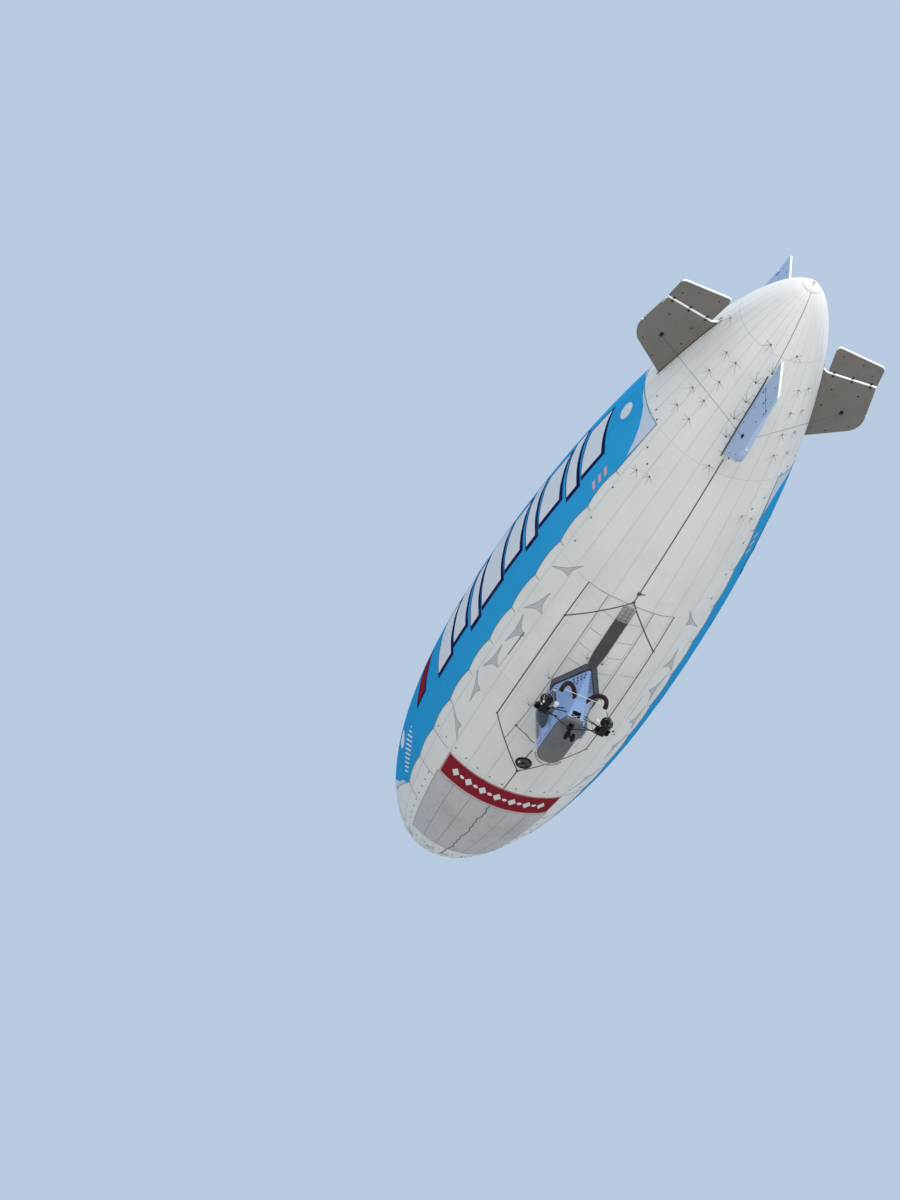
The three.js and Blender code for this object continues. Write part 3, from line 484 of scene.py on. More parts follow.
FAINT_LINE = Finish("faint_line", (0.42, 0.40, 0.365), 0.7, "hull_cloth", threads=300.0)
TEAL_CLOTH = Finish("teal_cloth", (0.034, 0.385, 0.75), 0.5, "teal_cloth", stain=(0.025, 0.30, 0.61),
                    stain_scale=0.5, stain_most=0.4, threads=110.0, crease=1.0, specular=0.0)
WHITE_PRINT = Finish("white_print", (0.78, 0.80, 0.83), 0.4, "teal_cloth", threads=110.0, bump=0.2,
                     stain=(0.5, 0.55, 0.6))
NAVY_PRINT = Finish("navy_print", (0.010, 0.016, 0.10), 0.5, "teal_cloth", threads=110.0, bump=0.2,
                    specular=0.0)
PINK_PRINT = Finish("pink_print", (0.72, 0.42, 0.47), 0.45, "teal_cloth", threads=110.0, bump=0.2)
HEM_TAPE = Finish("hem_tape", (0.10, 0.23, 0.34), 0.5, "teal_cloth", threads=110.0, bump=0.2)
CORNER_CLOTH = Finish("corner_cloth", (0.60, 0.68, 0.82), 0.5, "teal_cloth", threads=110.0, crease=0.8)
RED_CLOTH = Finish("red_cloth", (0.285, 0.024, 0.038), 0.5, "red_cloth", stain=(0.18, 0.018, 0.026),
                   threads=110.0, crease=0.8, specular=0.0)
NOSE_CLOTH = Finish("nose_cloth", (0.585, 0.565, 0.575), 0.55, "grey_cloth", stain=(0.26, 0.25, 0.24),
                    stain_scale=0.6, stain_most=0.5, threads=110.0, crease=1.4)
# Three copies of one white fin cloth, toned for their light: the underside dark with painted shade, the
# upright faces blue-grey with painted skylight, the top grey.
FIN_PAINTED_SHADE = Finish("fin_under_cloth", (0.19, 0.178, 0.158), 0.55, "fin_cloth", stain=(0.11, 0.10, 0.085),
                   stain_most=0.5, threads=120.0, crease=0.5)
FIN_PAINTED_SKYLIGHT = Finish("fin_side_cloth", (0.46, 0.60, 0.82), 0.5, "fin_cloth", stain=(0.30, 0.37, 0.52),
                  threads=120.0, crease=0.5)
FIN_TOP = Finish("fin_top_cloth", (0.62, 0.62, 0.60), 0.5, "fin_cloth", stain=(0.45, 0.45, 0.43),
                 threads=120.0, crease=0.5)
# White for the fin lamps, and for the hinge-gap and trailing edges of the fins, where it is a painted
# highlight of sunlit edges.
LAMP_WHITE_AND_EDGE_HIGHLIGHT = Finish("edge_white", (0.88, 0.88, 0.87), 0.35, "fin_cloth", stain=(0.6, 0.6, 0.58))
# Blue that stands for the shell's white paint lit by the blue sky: painted skylight.
SHELL_SKYLIT_BLUE = Finish("shell_paint", (0.255, 0.40, 0.71), 0.28, "shell_paint", coat=0.5, grain=0.1,
                     stain=(0.19, 0.31, 0.56), stain_most=0.3, worn=(0.36, 0.50, 0.76))
PAN_PAINT = Finish("pan_paint", (0.158, 0.158, 0.172), 0.5, "pan_paint", grain=0.6,
                   stain=(0.09, 0.085, 0.08), stain_scale=1.6, stain_most=0.6, worn=(0.3, 0.3, 0.3))
DUCT_CLOTH = Finish("duct_cloth", (0.078, 0.068, 0.068), 0.75, "duct_cloth", threads=140.0, crease=2.0,
                    stain=(0.14, 0.125, 0.12), stain_most=0.5)
SKIRT_CLOTH = Finish("skirt_cloth", (0.115, 0.12, 0.155), 0.75, "duct_cloth", threads=140.0, crease=1.6,
                     stain=(0.08, 0.08, 0.10), stain_most=0.4)
DUCT_MESH = Finish("duct_mesh", (0.36, 0.34, 0.325), 0.6, "duct_cloth", threads=60.0, bump=0.8)
HOSE_RUBBER = Finish("hose_rubber", (0.032, 0.006, 0.010), 0.5, "hose_rubber", grain=0.3,
                     stain=(0.018, 0.008, 0.010), specular=0.3)
SEAL_RUBBER = Finish("seal_rubber", (0.02, 0.02, 0.021), 0.6, "tyre_rubber", grain=0.3)
TYRE_RUBBER = Finish("tyre_rubber", (0.008, 0.008, 0.010), 0.75, "tyre_rubber", grain=0.8,
                     grain_scale=120.0, stain=(0.03, 0.028, 0.026), stain_scale=6.0, stain_most=0.4,
                     specular=0.2)
ENGINE_METAL = Finish("engine_metal", (0.006, 0.006, 0.008), 0.45, "engine_metal", metallic=0.1, grain=0.8,
                      grain_scale=90.0, stain=(0.014, 0.012, 0.010), stain_scale=5.0,
                      worn=(0.04, 0.04, 0.045), specular=0.25)
BLACK_FITTING = Finish("black_fitting", (0.006, 0.006, 0.009), 0.4, "black_metal", metallic=0.1, grain=0.3,
                       worn=(0.035, 0.035, 0.04), specular=0.25)
WHITE_METAL = Finish("white_metal", (0.80, 0.81, 0.82), 0.3, "white_metal", coat=0.3, grain=0.15,
                     stain=(0.45, 0.44, 0.42))
STEEL = Finish("tube_steel", (0.42, 0.43, 0.45), 0.3, "tube_steel", metallic=0.9, grain=0.2,
               grain_scale=150.0, stain=(0.18, 0.17, 0.16))
WOOD_BLADE = Finish("blade_black", (0.02, 0.018, 0.016), 0.3, "prop_wood", coat=0.5, grain=0.2)
BLADE_WHITE = Finish("blade_white", (0.62, 0.62, 0.61), 0.3, "prop_wood", coat=0.5, grain=0.1,
                     stain=(0.42, 0.41, 0.39))
NAVY_TRIM = Finish("navy_trim", (0.010, 0.013, 0.035), 0.5, "duct_cloth", grain=0.2)
SEAT_CLOTH = Finish("seat_cloth", (0.028, 0.036, 0.055), 0.85, "seat_cloth", threads=400.0, sheen=0.4,
                    crease=0.6, stain=(0.06, 0.06, 0.065))
BRACE_CABLE = Finish("brace_cable", (0.085, 0.083, 0.076), 0.45, "black_metal", specular=0.3, grain=0.4)
VALVE_MESH = Finish("valve_mesh", (0.035, 0.036, 0.038), 0.5, "black_metal", stain=(0.34, 0.35, 0.36),
                    stain_scale=9.0, stain_cover=0.62, stain_most=0.9, grain=0.8, grain_scale=90.0)
DIAL_FACE = Finish("dial_face", (0.55, 0.56, 0.56), 0.25, "black_metal")
GLASS = Glazing("window_glass", (0.32, 0.35, 0.40), 0.05, "window_glass", stain=(0.45, 0.48, 0.50))
FLOOR_PALE = Finish("floor_pale", (0.47, 0.455, 0.42), 0.8, grain=0.2)


def grid_faces(rows: int, columns: int, wrap: bool = False) -> list[Face]:
    """Lists the quads of a grid whose points run row by row.

    Args:
        rows: number of rows of points.
        columns: number of points in a row.
        wrap: whether each row closes on itself.

    Returns:
        The quads.
    """
    return [(i * columns + j, i * columns + (j + 1) % columns, (i + 1) * columns + (j + 1) % columns,
             (i + 1) * columns + j)
            for i in range(rows - 1) for j in range(columns if wrap else columns - 1)]


def curve_through(points: Sequence[Point], steps: int = 6) -> np.ndarray:
    """Runs a smooth curve through points.

    Args:
        points: the points, in order.
        steps: pieces between two points.

    Returns:
        Points along the curve.
    """
    given = np.array(points, float)
    padded = np.concatenate([2 * given[:1] - given[1:2], given, 2 * given[-1:] - given[-2:-1]])
    out = []
    for a, b, c, d in zip(padded, padded[1:], padded[2:], padded[3:]):
        for t in np.arange(steps) / steps:
            out.append(0.5 * (2 * b + (c - a) * t + (2 * a - 5 * b + 4 * c - d) * t ** 2
                              + (3 * b - a - 3 * c + d) * t ** 3))
    return np.array([*out, given[-1]])


def unit(ways: np.ndarray) -> np.ndarray:
    """Scales rows of directions to length one."""
    return ways / np.maximum(np.linalg.norm(ways, axis=1, keepdims=True), TINY)


def sweep(path: Sequence[Point], radius: float | Sequence[float], sides: int) -> np.ndarray:
    """Sweeps a circle along a path.

    Args:
        path: points along the path.
        radius: the circle's radius, or one for each point.
        sides: points round the circle.

    Returns:
        Rows of points, one row for each point of the path.
    """
    line = np.array(path, float)
    radii = np.broadcast_to(np.asarray(radius, float), (len(line),))
    ways = unit(np.gradient(line, axis=0))
    normal = np.cross(ways[0], (0.0, 0.0, 1.0) if abs(ways[0][2]) < 0.9 else (0.0, 1.0, 0.0))
    turns = np.arange(sides) * math.tau / sides
    rows = []
    for place, way, r in zip(line, ways, radii):
        normal = normal - way * np.dot(normal, way)
        normal /= np.linalg.norm(normal)
        other = np.cross(way, normal)
        rows.append(place + r * (np.outer(np.cos(turns), normal) + np.outer(np.sin(turns), other)))
    return np.array(rows)


def circle(middle: HullPoint, half_u: float, half_v: float, steps: int = 24) -> list[HullPoint]:
    """Gives points round a circle or an ellipse.

    Args:
        middle: its middle.
        half_u: half its length along the first axis.
        half_v: half its length along the second axis.
        steps: number of points.

    Returns:
        The points.
    """
    turns = [math.tau * i / steps for i in range(steps)]
    return [(middle[0] + half_u * math.cos(t), middle[1] + half_v * math.sin(t)) for t in turns]


def rounded(low: HullPoint, high: HullPoint, radius: float | HullPoint, steps: int = 8) -> list[HullPoint]:
    """Gives the outline of a rectangle with round corners.

    Args:
        low: its lower corner.
        high: its upper corner.
        radius: the corners' radius, or one along each axis.
        steps: pieces of each corner.

    Returns:
        The outline.
    """
    ru, rv = radius if isinstance(radius, tuple) else (radius, radius)
    corners = [(high[0] - ru, high[1] - rv), (low[0] + ru, high[1] - rv), (low[0] + ru, low[1] + rv),
               (high[0] - ru, low[1] + rv)]
    return [(u + ru * math.cos(math.pi / 2 * (quarter + i / steps)),
             v + rv * math.sin(math.pi / 2 * (quarter + i / steps)))
            for quarter, (u, v) in enumerate(corners) for i in range(steps + 1)]


def inset(outline: Sequence[HullPoint], distance: float) -> np.ndarray:
    """Moves an outline inwards.

    Args:
        outline: points in order.
        distance: how far it moves, negative for outwards.

    Returns:
        The moved points.
    """
    sharpest = 0.35
    given = np.array(outline, float)
    after = unit(np.roll(given, -1, axis=0) - given)
    before = np.roll(after, 1, axis=0)
    area = np.sum(given[:, 0] * np.roll(given[:, 1], -1) - np.roll(given[:, 0], -1) * given[:, 1])
    side = 1.0 if area > 0 else -1.0
    both = unit(np.stack([-(after + before)[:, 1], (after + before)[:, 0]], axis=-1) * side)
    straight = np.stack([-after[:, 1], after[:, 0]], axis=-1) * side
    return given + both * distance / np.maximum(np.sum(both * straight, axis=1, keepdims=True), sharpest)


def region(outlines: Sequence[Sequence[HullPoint]], cell: HullPoint,
           rings: Sequence[Sequence[HullPoint]] = ()) -> tuple[np.ndarray, list[Face]]:
    """Fills outlines and cuts the fill into cells.

    Args:
        outlines: the outer outline, then the holes in it.
        cell: longest cell along each axis.
        rings: outlines of equal length outside the first, joined to it by strips.

    Returns:
        The points and the faces.
    """
    flat = bmesh.new()
    loops = [[flat.verts.new((u, v, 0.0)) for u, v in outline] for outline in outlines]
    edges = [flat.edges.new(pair) for loop in loops for pair in zip(loop, loop[1:] + loop[:1])]
    bmesh.ops.triangle_fill(flat, use_beauty=True, edges=edges)
    inner = loops[0]
    for ring in rings:
        outer = [flat.verts.new((u, v, 0.0)) for u, v in ring]
        for i, vert in enumerate(outer):
            after = (i + 1) % len(outer)
            flat.faces.new((vert, outer[after], inner[after], inner[i]))
        inner = outer
    spots = np.array([vert.co[:2] for vert in flat.verts])
    for axis in (0, 1):
        low, high = spots[:, axis].min(), spots[:, axis].max()
        count = math.ceil((high - low) / cell[axis])
        for i in range(1, count):
            middle, normal = [0.0, 0.0, 0.0], [0.0, 0.0, 0.0]
            middle[axis] = low + i * (high - low) / count
            normal[axis] = 1.0
            bmesh.ops.bisect_plane(flat, geom=flat.verts[:] + flat.edges[:] + flat.faces[:], dist=1e-6,
                                   plane_co=middle, plane_no=normal)
    flat.normal_update()
    bmesh.ops.reverse_faces(flat, faces=[face for face in flat.faces if face.normal.z < 0])
    flat.verts.index_update()
    spots = np.array([vert.co[:2] for vert in flat.verts])
    faces = [tuple(vert.index for vert in face.verts) for face in flat.faces]
    flat.free()
    return spots, faces


@dataclass(frozen=True)
class HullForm:
    """Outer form of the envelope, a body of revolution about X whose gores crown a little."""

    nose_x: float = 17.55
    length: float = 39.0
    radius: float = 5.0
    widest: float = 0.387
    nose_power: float = 2.183
    tail_power: float = 1.973
    tail_round: float = 1.7556
    gores: int = 30
    bulge: float = 0.012
    steepest: float = 20.0

    @property
    def tail_x(self) -> float:
        """Station of the tail's end."""
        return self.nose_x - self.length

    def radius_at(self, x: np.ndarray | float) -> np.ndarray:
        """Gives the hull's radius.

        Args:
            x: one or more stations.

        Returns:
            The radii.
        """
        t = np.clip((self.nose_x - np.asarray(x, float)) / self.length, 0.0, 1.0)
        ahead = np.clip((self.widest - t) / self.widest, 0.0, 1.0)
        behind = np.clip((t - self.widest) / (1 - self.widest), 0.0, 1.0)
        nose = np.sqrt(1 - ahead ** self.nose_power)
        tail = (1 - behind ** self.tail_power) ** (1 / self.tail_round)
        return self.radius * np.where(t < self.widest, nose, tail)

    def belly(self, x: float) -> float:
        """Gives the height of the belly at a station."""
        return -float(self.radius_at(x))

    def place(self, x: np.ndarray | float, angle: np.ndarray | float,
              lift: np.ndarray | float = 0.0) -> np.ndarray:
        """Gives points on the cloth, or lifted off it along the hull's normal.

        Args:
            x: stations.
            angle: degrees from straight down, positive to port.
            lift: height above the cloth in metres.

        Returns:
            The points.
        """
        x, angle, lift = np.broadcast_arrays(*(np.asarray(part, float) for part in (x, angle, lift)))
        phase = np.mod(angle * self.gores / 360.0, 1.0)
        lift = lift + self.bulge * (self.radius_at(x) / self.radius * 4 * phase * (1 - phase) - 0.5)
        step = 0.01
        slope = (self.radius_at(x + step) - self.radius_at(x - step)) / (2 * step)
        slope = np.clip(slope, -self.steepest, self.steepest)
        run = np.sqrt(1 + slope ** 2)
        out = self.radius_at(x) + lift / run
        turn = np.radians(angle)
        return np.stack([x - lift * slope / run, out * np.sin(turn), -out * np.cos(turn)], axis=-1)

    def station(self, radius: float, on_nose: bool) -> float:
        """Finds where the hull has a radius.

        Args:
            radius: the radius to find.
            on_nose: whether to look ahead of the widest place.

        Returns:
            The station.
        """
        small = self.nose_x if on_nose else self.tail_x
        large = self.nose_x - self.widest * self.length
        for _ in range(50):
            x = (small + large) / 2
            small, large = (x, large) if float(self.radius_at(x)) < radius else (small, x)
        return small


FORM = HullForm()


class Bundle:
    """Gathers closed shapes into the mesh of one piece."""

    closed = True

    def __init__(self, sides: int = 12, thickness: float = 0.0) -> None:
        """Starts empty.

        Args:
            sides: points round each tube.
            thickness: thickness of sheets, grown inwards.
        """
        self.sides = sides
        self.thickness = thickness
        self.points: list[np.ndarray] = []
        self.faces: list[Face] = []
        self.marks: list[int] = []
        self.count = 0
        self.mark = 0

    def add(self, points: np.ndarray, faces: Sequence[Face]) -> None:
        """Adds points and faces that use them.

        Args:
            points: places in the craft's frame.
            faces: numbers of each face's points.
        """
        given = np.asarray(points, float).reshape(-1, 3)
        self.points.append(given)
        self.faces += [tuple(self.count + int(number) for number in face) for face in faces]
        self.marks += [self.mark] * len(faces)
        self.count += len(given)

    def grid(self, rows: np.ndarray, wrap: bool = False, capped: bool = False) -> None:
        """Adds a grid of quads.

        Args:
            rows: points row by row.
            wrap: whether each row closes on itself.
            capped: whether the first and last rows are filled.
        """
        rows = np.asarray(rows, float)
        count, columns = rows.shape[:2]
        faces = grid_faces(count, columns, wrap)
        if capped:
            faces += [tuple(range(columns))[::-1], tuple(range((count - 1) * columns, count * columns))]
        self.add(rows, faces)

    def panel(self, outlines: Sequence[Sequence[HullPoint]], cell: HullPoint,
              bend: Callable[[np.ndarray, np.ndarray], np.ndarray], flip: bool = False) -> None:
        """Adds a filled outline, cut into cells and bent into place.

        Args:
            outlines: the outer outline, then the holes in it.
            cell: longest cell along each axis.
            bend: gives the places of the outline's points.
            flip: whether the faces are turned over.
        """
        spots, faces = region(outlines, cell)
        self.add(bend(spots[:, 0], spots[:, 1]), [face[::-1] for face in faces] if flip else faces)

    def prism(self, foot: Sequence[Point], top: Sequence[Point], open_foot: bool = False) -> None:
        """Adds a body between two outlines of equal length.

        Args:
            foot: the first outline's points.
            top: the second outline's points.
            open_foot: whether the first outline stays open.
        """
        n = len(foot)
        caps = [tuple(range(n))[::-1], tuple(range(n, 2 * n))]
        self.add(np.array([*foot, *top]),
                 caps[open_foot:] + [(i, (i + 1) % n, n + (i + 1) % n, n + i) for i in range(n)])

    def tube(self, path: Sequence[Point], radius: float | Sequence[float]) -> None:
        """Adds a round tube with closed ends.

        Args:
            path: points along its middle.
            radius: its radius, or one for each point.
        """
        self.grid(sweep(path, radius, self.sides), wrap=True, capped=True)

    def ring(self, outline: Sequence[Point], radius: float) -> None:
        """Adds a thin tube of a radius round a closed outline."""
        self.tube([*outline, outline[0]], radius)

    def lathe(self, profile: Sequence[HullPoint], foot: Point, axis: Point, sides: int = 36,
              closed: bool = False) -> None:
        """Adds a body of revolution.

        Args:
            profile: pairs of distance along the axis and radius.
            foot: where the axis starts.
            axis: its direction.
            sides: points round it.
            closed: whether the profile returns to its start, as a ring's does.
        """
        turn = np.array(Vector(axis).to_track_quat("Z", "Y").to_matrix())
        turns = np.arange(sides) * math.tau / sides
        around = np.stack([np.cos(turns), np.sin(turns)], axis=-1)
        rows = [np.concatenate([around * max(r, 1e-4), np.full((sides, 1), along)], axis=1) @ turn.T + foot
                for along, r in ([*profile, profile[0]] if closed else profile)]
        self.grid(np.array(rows), wrap=True, capped=not closed)

    def hoop(self, foot: Point, axis: Point, half: float, inner: float, outer: float, sides: int,
             at: float = 0.0) -> None:
        """Adds a square-cut ring.

        Args:
            foot: where the axis starts.
            axis: its direction.
            half: half the ring's length along the axis.
            inner: its inner radius.
            outer: its outer radius.
            sides: points round it.
            at: where its middle is along the axis.
        """
        self.lathe([(at - half, inner), (at - half, outer), (at + half, outer), (at + half, inner)], foot,
                   axis, sides, closed=True)

    def disc(self, foot: Point, axis: Point, low: float, high: float, radius: float, sides: int = 36) -> None:
        """Adds a plain round bar or disc.

        Args:
            foot: where the axis starts.
            axis: its direction.
            low: where the disc starts along the axis.
            high: where it ends.
            radius: its radius.
            sides: points round it.
        """
        self.lathe([(low, 0.0), (low, radius), (high, radius), (high, 0.0)], foot, axis, sides)

    def bolt(self, foot: Point, axis: Point, radius: float, rim: float, crown: float, sides: int = 6) -> None:
        """Adds a bolt head or a button.

        Args:
            foot: the middle of its foot.
            axis: its direction.
            radius: its radius.
            rim: height of its edge.
            crown: height of its middle.
            sides: points round it.
        """
        self.lathe([(0.0, radius), (rim, radius), (crown, 0.0)], foot, axis, sides)

    def box(self, low: Point, high: Point) -> None:
        """Adds a box.

        Args:
            low: its lowest corner.
            high: its highest corner.
        """
        self.add([(x, y, z) for x in (low[0], high[0]) for y in (low[1], high[1]) for z in (low[2], high[2])],
                 [(0, 1, 3, 2), (4, 6, 7, 5), (0, 4, 5, 1), (2, 3, 7, 6), (0, 2, 6, 4), (1, 5, 7, 3)])

    def mirror(self) -> None:
        """Moves the shapes to the other side of the craft."""
        self.points = [points * (1.0, -1.0, 1.0) for points in self.points]
        self.faces = [face[::-1] for face in self.faces]

    def twin(self) -> None:
        """Adds the mirror image of the shapes so far."""
        self.add(np.concatenate(self.points) * (1.0, -1.0, 1.0), [face[::-1] for face in self.faces])

    def make(self, name: str, *finishes: Finish, body: str = HULL, replaces: Sequence[str] = (),
             side: Side = Side.PORT, bevel: float = 0.0, smooth: float = 35.0) -> Piece:
        """Makes the piece. In the names, a pair of braces stands for the side's word.

        Args:
            name: its name.
            finishes: its finishes, in the order of the marks.
            body: the body it rides on.
            replaces: CAD nodes it stands for.
            side: the side it goes on, when the shapes are made for port.
            bevel: width of the soft edges in metres.
            smooth: edges that bend less than this many degrees are shaded smooth.

        Returns:
            The piece.
        """
        name, body = name.format(side.word), body.format(side.word)
        if side is Side.STARBOARD:
            self.mirror()
        mesh = bpy.data.meshes.new(name)
        mesh.from_pydata(np.concatenate(self.points).tolist(), [], self.faces)
        mesh.polygons.foreach_set("material_index", self.marks)
        work = bmesh.new()
        work.from_mesh(mesh)
        bmesh.ops.remove_doubles(work, verts=work.verts[:], dist=1e-5)
        if self.closed:
            bmesh.ops.recalc_face_normals(work, faces=work.faces[:])
        work.to_mesh(mesh)
        work.free()
        mesh.polygons.foreach_set("use_smooth", [True] * len(mesh.polygons))
        mesh.set_sharp_from_angle(angle=math.radians(smooth))
        piece = bpy.data.objects.new(name, mesh)
        bpy.context.scene.collection.objects.link(piece)
        self.soften(piece, bevel, math.radians(smooth))
        if replaces:
            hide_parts(*(node.format(side.word) for node in replaces))
        for finish in finishes:
            piece.data.materials.append(finish.material())
        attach(piece, body)
        LOG.info("%s: %d faces on %s", name, len(self.faces), body)
        return piece

    def soften(self, piece: Piece, bevel: float, angle: float) -> None:
        """Thickens a sheet and rounds the edges.

        Args:
            piece: the piece.
            bevel: width of the soft edges.
            angle: edges that bend more than this are edges, in radians.
        """
        if self.thickness:
            piece.modifiers.new("thickness", "SOLIDIFY").thickness = self.thickness
        if bevel:
            soft = piece.modifiers.new("soft_edges", "BEVEL")
            soft.width, soft.segments = bevel, 2
            soft.limit_method, soft.angle_limit = "ANGLE", angle
            soft.harden_normals = True
        if self.thickness:
            piece.modifiers.new("crisp_rims", "EDGE_SPLIT").split_angle = angle


class Sheet(Bundle):
    """Gathers open sheets, whose faces already look outwards."""

    closed = False

    def __init__(self, thickness: float = 0.0) -> None:
        """Starts empty, with the sheets' thickness."""
        super().__init__(thickness=thickness)


class HullBands(Sheet):
    """Flat bands that lie on the hull, such as tapes, straps and lines."""

    seat = 0.0005

    def __init__(self, rise: float) -> None:
        """Starts with no bands, which stand this far above the cloth."""
        super().__init__()
        self.rise = rise

    def band(self, path: Sequence[HullPoint], width: float | Sequence[float], lift: float = 0.0) -> None:
        """Adds one band along a path.

        Args:
            path: stations and angles of the middle line.
            width: the band's width in metres, or a width at each point.
            lift: height of the band's foot above the cloth.
        """
        line = np.array(path, float)
        radius = np.maximum(FORM.radius_at(line[:, 0]), 0.05)
        way = unit(np.gradient(np.stack([line[:, 0], np.radians(line[:, 1]) * radius], axis=-1), axis=0))
        half = np.broadcast_to(np.asarray(width, float), (len(line),)) / 2
        rows = []
        for side, beyond, up in ((-1, -self.rise, 0), (-1, 0, 1), (1, 0, 1), (1, self.rise, 0)):
            offset = side * half + beyond
            x = line[:, 0] - way[:, 1] * offset
            angle = line[:, 1] + np.degrees(way[:, 0] * offset / radius)
            rows.append(FORM.place(x, angle, lift + up * self.rise + self.seat))
        self.grid(np.stack(rows, axis=1)[:, ::-1])

    def line(self, start: HullPoint, end: HullPoint, width: float, lift: float = 0.0,
             step: float = 0.2) -> None:
        """Adds a band between two points.

        Args:
            start: station and angle of the start.
            end: station and angle of the end.
            width: the band's width.
            lift: height of the band's foot above the cloth.
            step: spacing of its points.
        """
        radius = float(FORM.radius_at((start[0] + end[0]) / 2))
        reach = math.hypot(end[0] - start[0], math.radians(end[1] - start[1]) * radius)
        shares = np.linspace(0, 1, max(3, int(reach / step) + 2))
        self.band([(start[0] + (end[0] - start[0]) * s, start[1] + (end[1] - start[1]) * s) for s in shares],
                  width, lift)


class HullPatches(Sheet):
    """Flat patches of thin cloth that lie on the hull."""

    def __init__(self, lift: float) -> None:
        """Starts with no patches, whose outer face is to stand this far above the cloth."""
        super().__init__(0.002)
        self.lift = lift

    def patch(self, outline: Sequence[HullPoint], cell: HullPoint = (0.35, 3.0)) -> None:
        """Adds one patch.

        Args:
            outline: stations and angles of its corners, in order.
            cell: longest cell along the hull and round it.
        """
        self.panel([outline], cell, lambda x, angle: FORM.place(x, angle, self.lift), flip=True)


@dataclass
class Envelope:
    """The gas envelope: cloth gores, seam tapes, load patches and the belly's lines."""

    steps_in_gore: int = 6
    stations: int = 150
    nose_hole: float = 0.15
    tail_hole: float = 0.12
    tail_line: float = 0.43
    tape_rise: float = 0.002
    tape_width: float = 0.035
    ring_seams: Sequence[float] = (-18.95, -13.55, -5.9, 1.2, 7.1, 13.6, 16.3)
    rope_rise: float = 0.012
    line_rise: float = 0.006
    cloth_rise: float = 0.004
    web_width: float = 0.036
    line_width: float = 0.02
    edge_width: float = 0.017
    edge_hollow: float = 1.7
    starboard_shift: HullPoint = (0.3, 3.0)
    hexagon: Sequence[HullPoint] = ((-6.16, 0.0), (-3.7, 26.0), (3.2, 26.0), (5.74, 0.0), (3.2, -26.0),
                                    (-3.7, -26.0))

    def skin(self) -> None:
        """Builds the cloth skin, which stands for the CAD envelope."""
        first, last = FORM.station(self.nose_hole, True), FORM.station(self.tail_hole, False)
        share = (1 - np.cos(np.linspace(0, math.pi, self.stations))) / 2
        x = first + (last - first) * share
        around = FORM.gores * self.steps_in_gore
        angle = np.arange(around) * 360.0 / around
        skin = Sheet()
        skin.grid(FORM.place(x[:, None], angle[None, :])[:, ::-1], wrap=True)
        skin.make("envelope_skin", HULL_CLOTH, replaces=["envelope"])

    def tapes(self) -> None:
        """Builds the tapes over the gore seams and the ring seams."""
        tapes = HullBands(self.tape_rise)
        xs = np.linspace(FORM.station(0.85, True), FORM.station(0.4, False), 120)
        for gore in range(FORM.gores):
            tapes.band([(x, gore * 360.0 / FORM.gores) for x in xs], self.tape_width)
        for x in self.ring_seams:
            tapes.band([(x, angle) for angle in np.linspace(-180, 180, 181)], self.tape_width)
        tapes.make("seam_tapes", SEAM_TAPE)

    def tufts(self) -> None:
        """Sews on the four-legged load patches."""
        # Columns: station, angle, turn of the first leg, whether the mirror image exists too
        places = [
            (-14.8, 36, 20, 1), (-15.8, 36, 10, 1), (-16.8, 36, 0, 1), (-17.8, 36, -10, 1),
            (-14.8, 50, 25, 1), (-15.8, 50, 15, 1), (-16.8, 50, 5, 1), (-17.8, 50, -5, 1),
            (-15.13, 7, 180, 1), (-15.97, 9, 180, 1), (-16.79, 8, 180, 1), (-17.65, 9.5, 180, 1),
            (-19.18, 18, 30, 1), (-18.51, 82, 0, 1), (-11.49, 42, 40, 1), (-11.72, 33, 20, 1),
            (-13.7, 6, 0, 0), (-18.25, 0, 180, 0), (-2.36, 4.2, 190, 1), (-0.33, 14.6, 170, 1),
            (1.64, 15.0, 165, 1),
        ]
        # Columns: direction, length
        leg_forms = ((-74, 0.33), (-24, 0.44), (22, 0.38), (70, 0.30))
        button = 0.06
        legs, buttons = HullBands(self.tape_rise), HullBands(self.line_rise)
        shares = np.linspace(0, 1, 6)
        for x, angle, turn, twin in places:
            radius = float(FORM.radius_at(x))
            for sign in (1, -1)[:1 + twin]:
                for leg, reach in leg_forms:
                    way = math.radians(turn + leg)
                    rise = math.degrees(math.sin(way) / radius)
                    path = [(x + reach * s * math.cos(way), sign * (angle + reach * s * rise))
                            for s in shares]
                    legs.band(path, 0.032 - 0.026 * shares)
                buttons.line((x - button / 2, sign * angle), (x + button / 2, sign * angle), button, 0.0,
                             0.03)
        legs.make("load_tufts", FAINT_LINE)
        buttons.make("tuft_buttons", DARK_LINE)

    def wedges(self) -> None:
        """Sews on the triangular patches with hollow sides below the side banners."""
        # Columns: station and angle of each corner
        triangles = [
            ((-5.0, 47.3), (-6.3, 33.0), (-5.32, 36.7)), ((-4.02, 39.0), (-2.29, 46.3), (-2.87, 36.3)),
            ((-2.08, 44.4), (-0.21, 44.0), (-1.27, 36.8)), ((0.08, 44.2), (1.9, 46.7), (1.16, 39.3)),
            ((2.28, 47.9), (3.95, 41.6), (2.93, 40.0)), ((5.03, 49.0), (6.41, 35.6), (5.41, 38.4)),
        ]
        cloth, edges = HullPatches(self.cloth_rise), HullBands(self.cloth_rise)
        for corners in triangles:
            middle = np.mean(corners, axis=0)
            outline = []
            for a, b in zip(corners, corners[1:] + corners[:1]):
                for s in np.linspace(0, 1, 10)[:-1]:
                    spot = np.array(a) * (1 - s) + np.array(b) * s
                    outline.append(spot + (middle - spot) * self.edge_hollow * s * (1 - s))
            for sign in (1, -1):
                x_on, angle_on = (0.0, 0.0) if sign > 0 or corners is triangles[0] else self.starboard_shift
                side = [(x + x_on, sign * (angle + angle_on)) for x, angle in outline]
                cloth.patch(side[::sign])
                edges.band([*side, side[0]], self.edge_width)
        cloth.make("wedge_patches", PATCH_CLOTH)
        edges.make("wedge_edges", GREY_LINE)

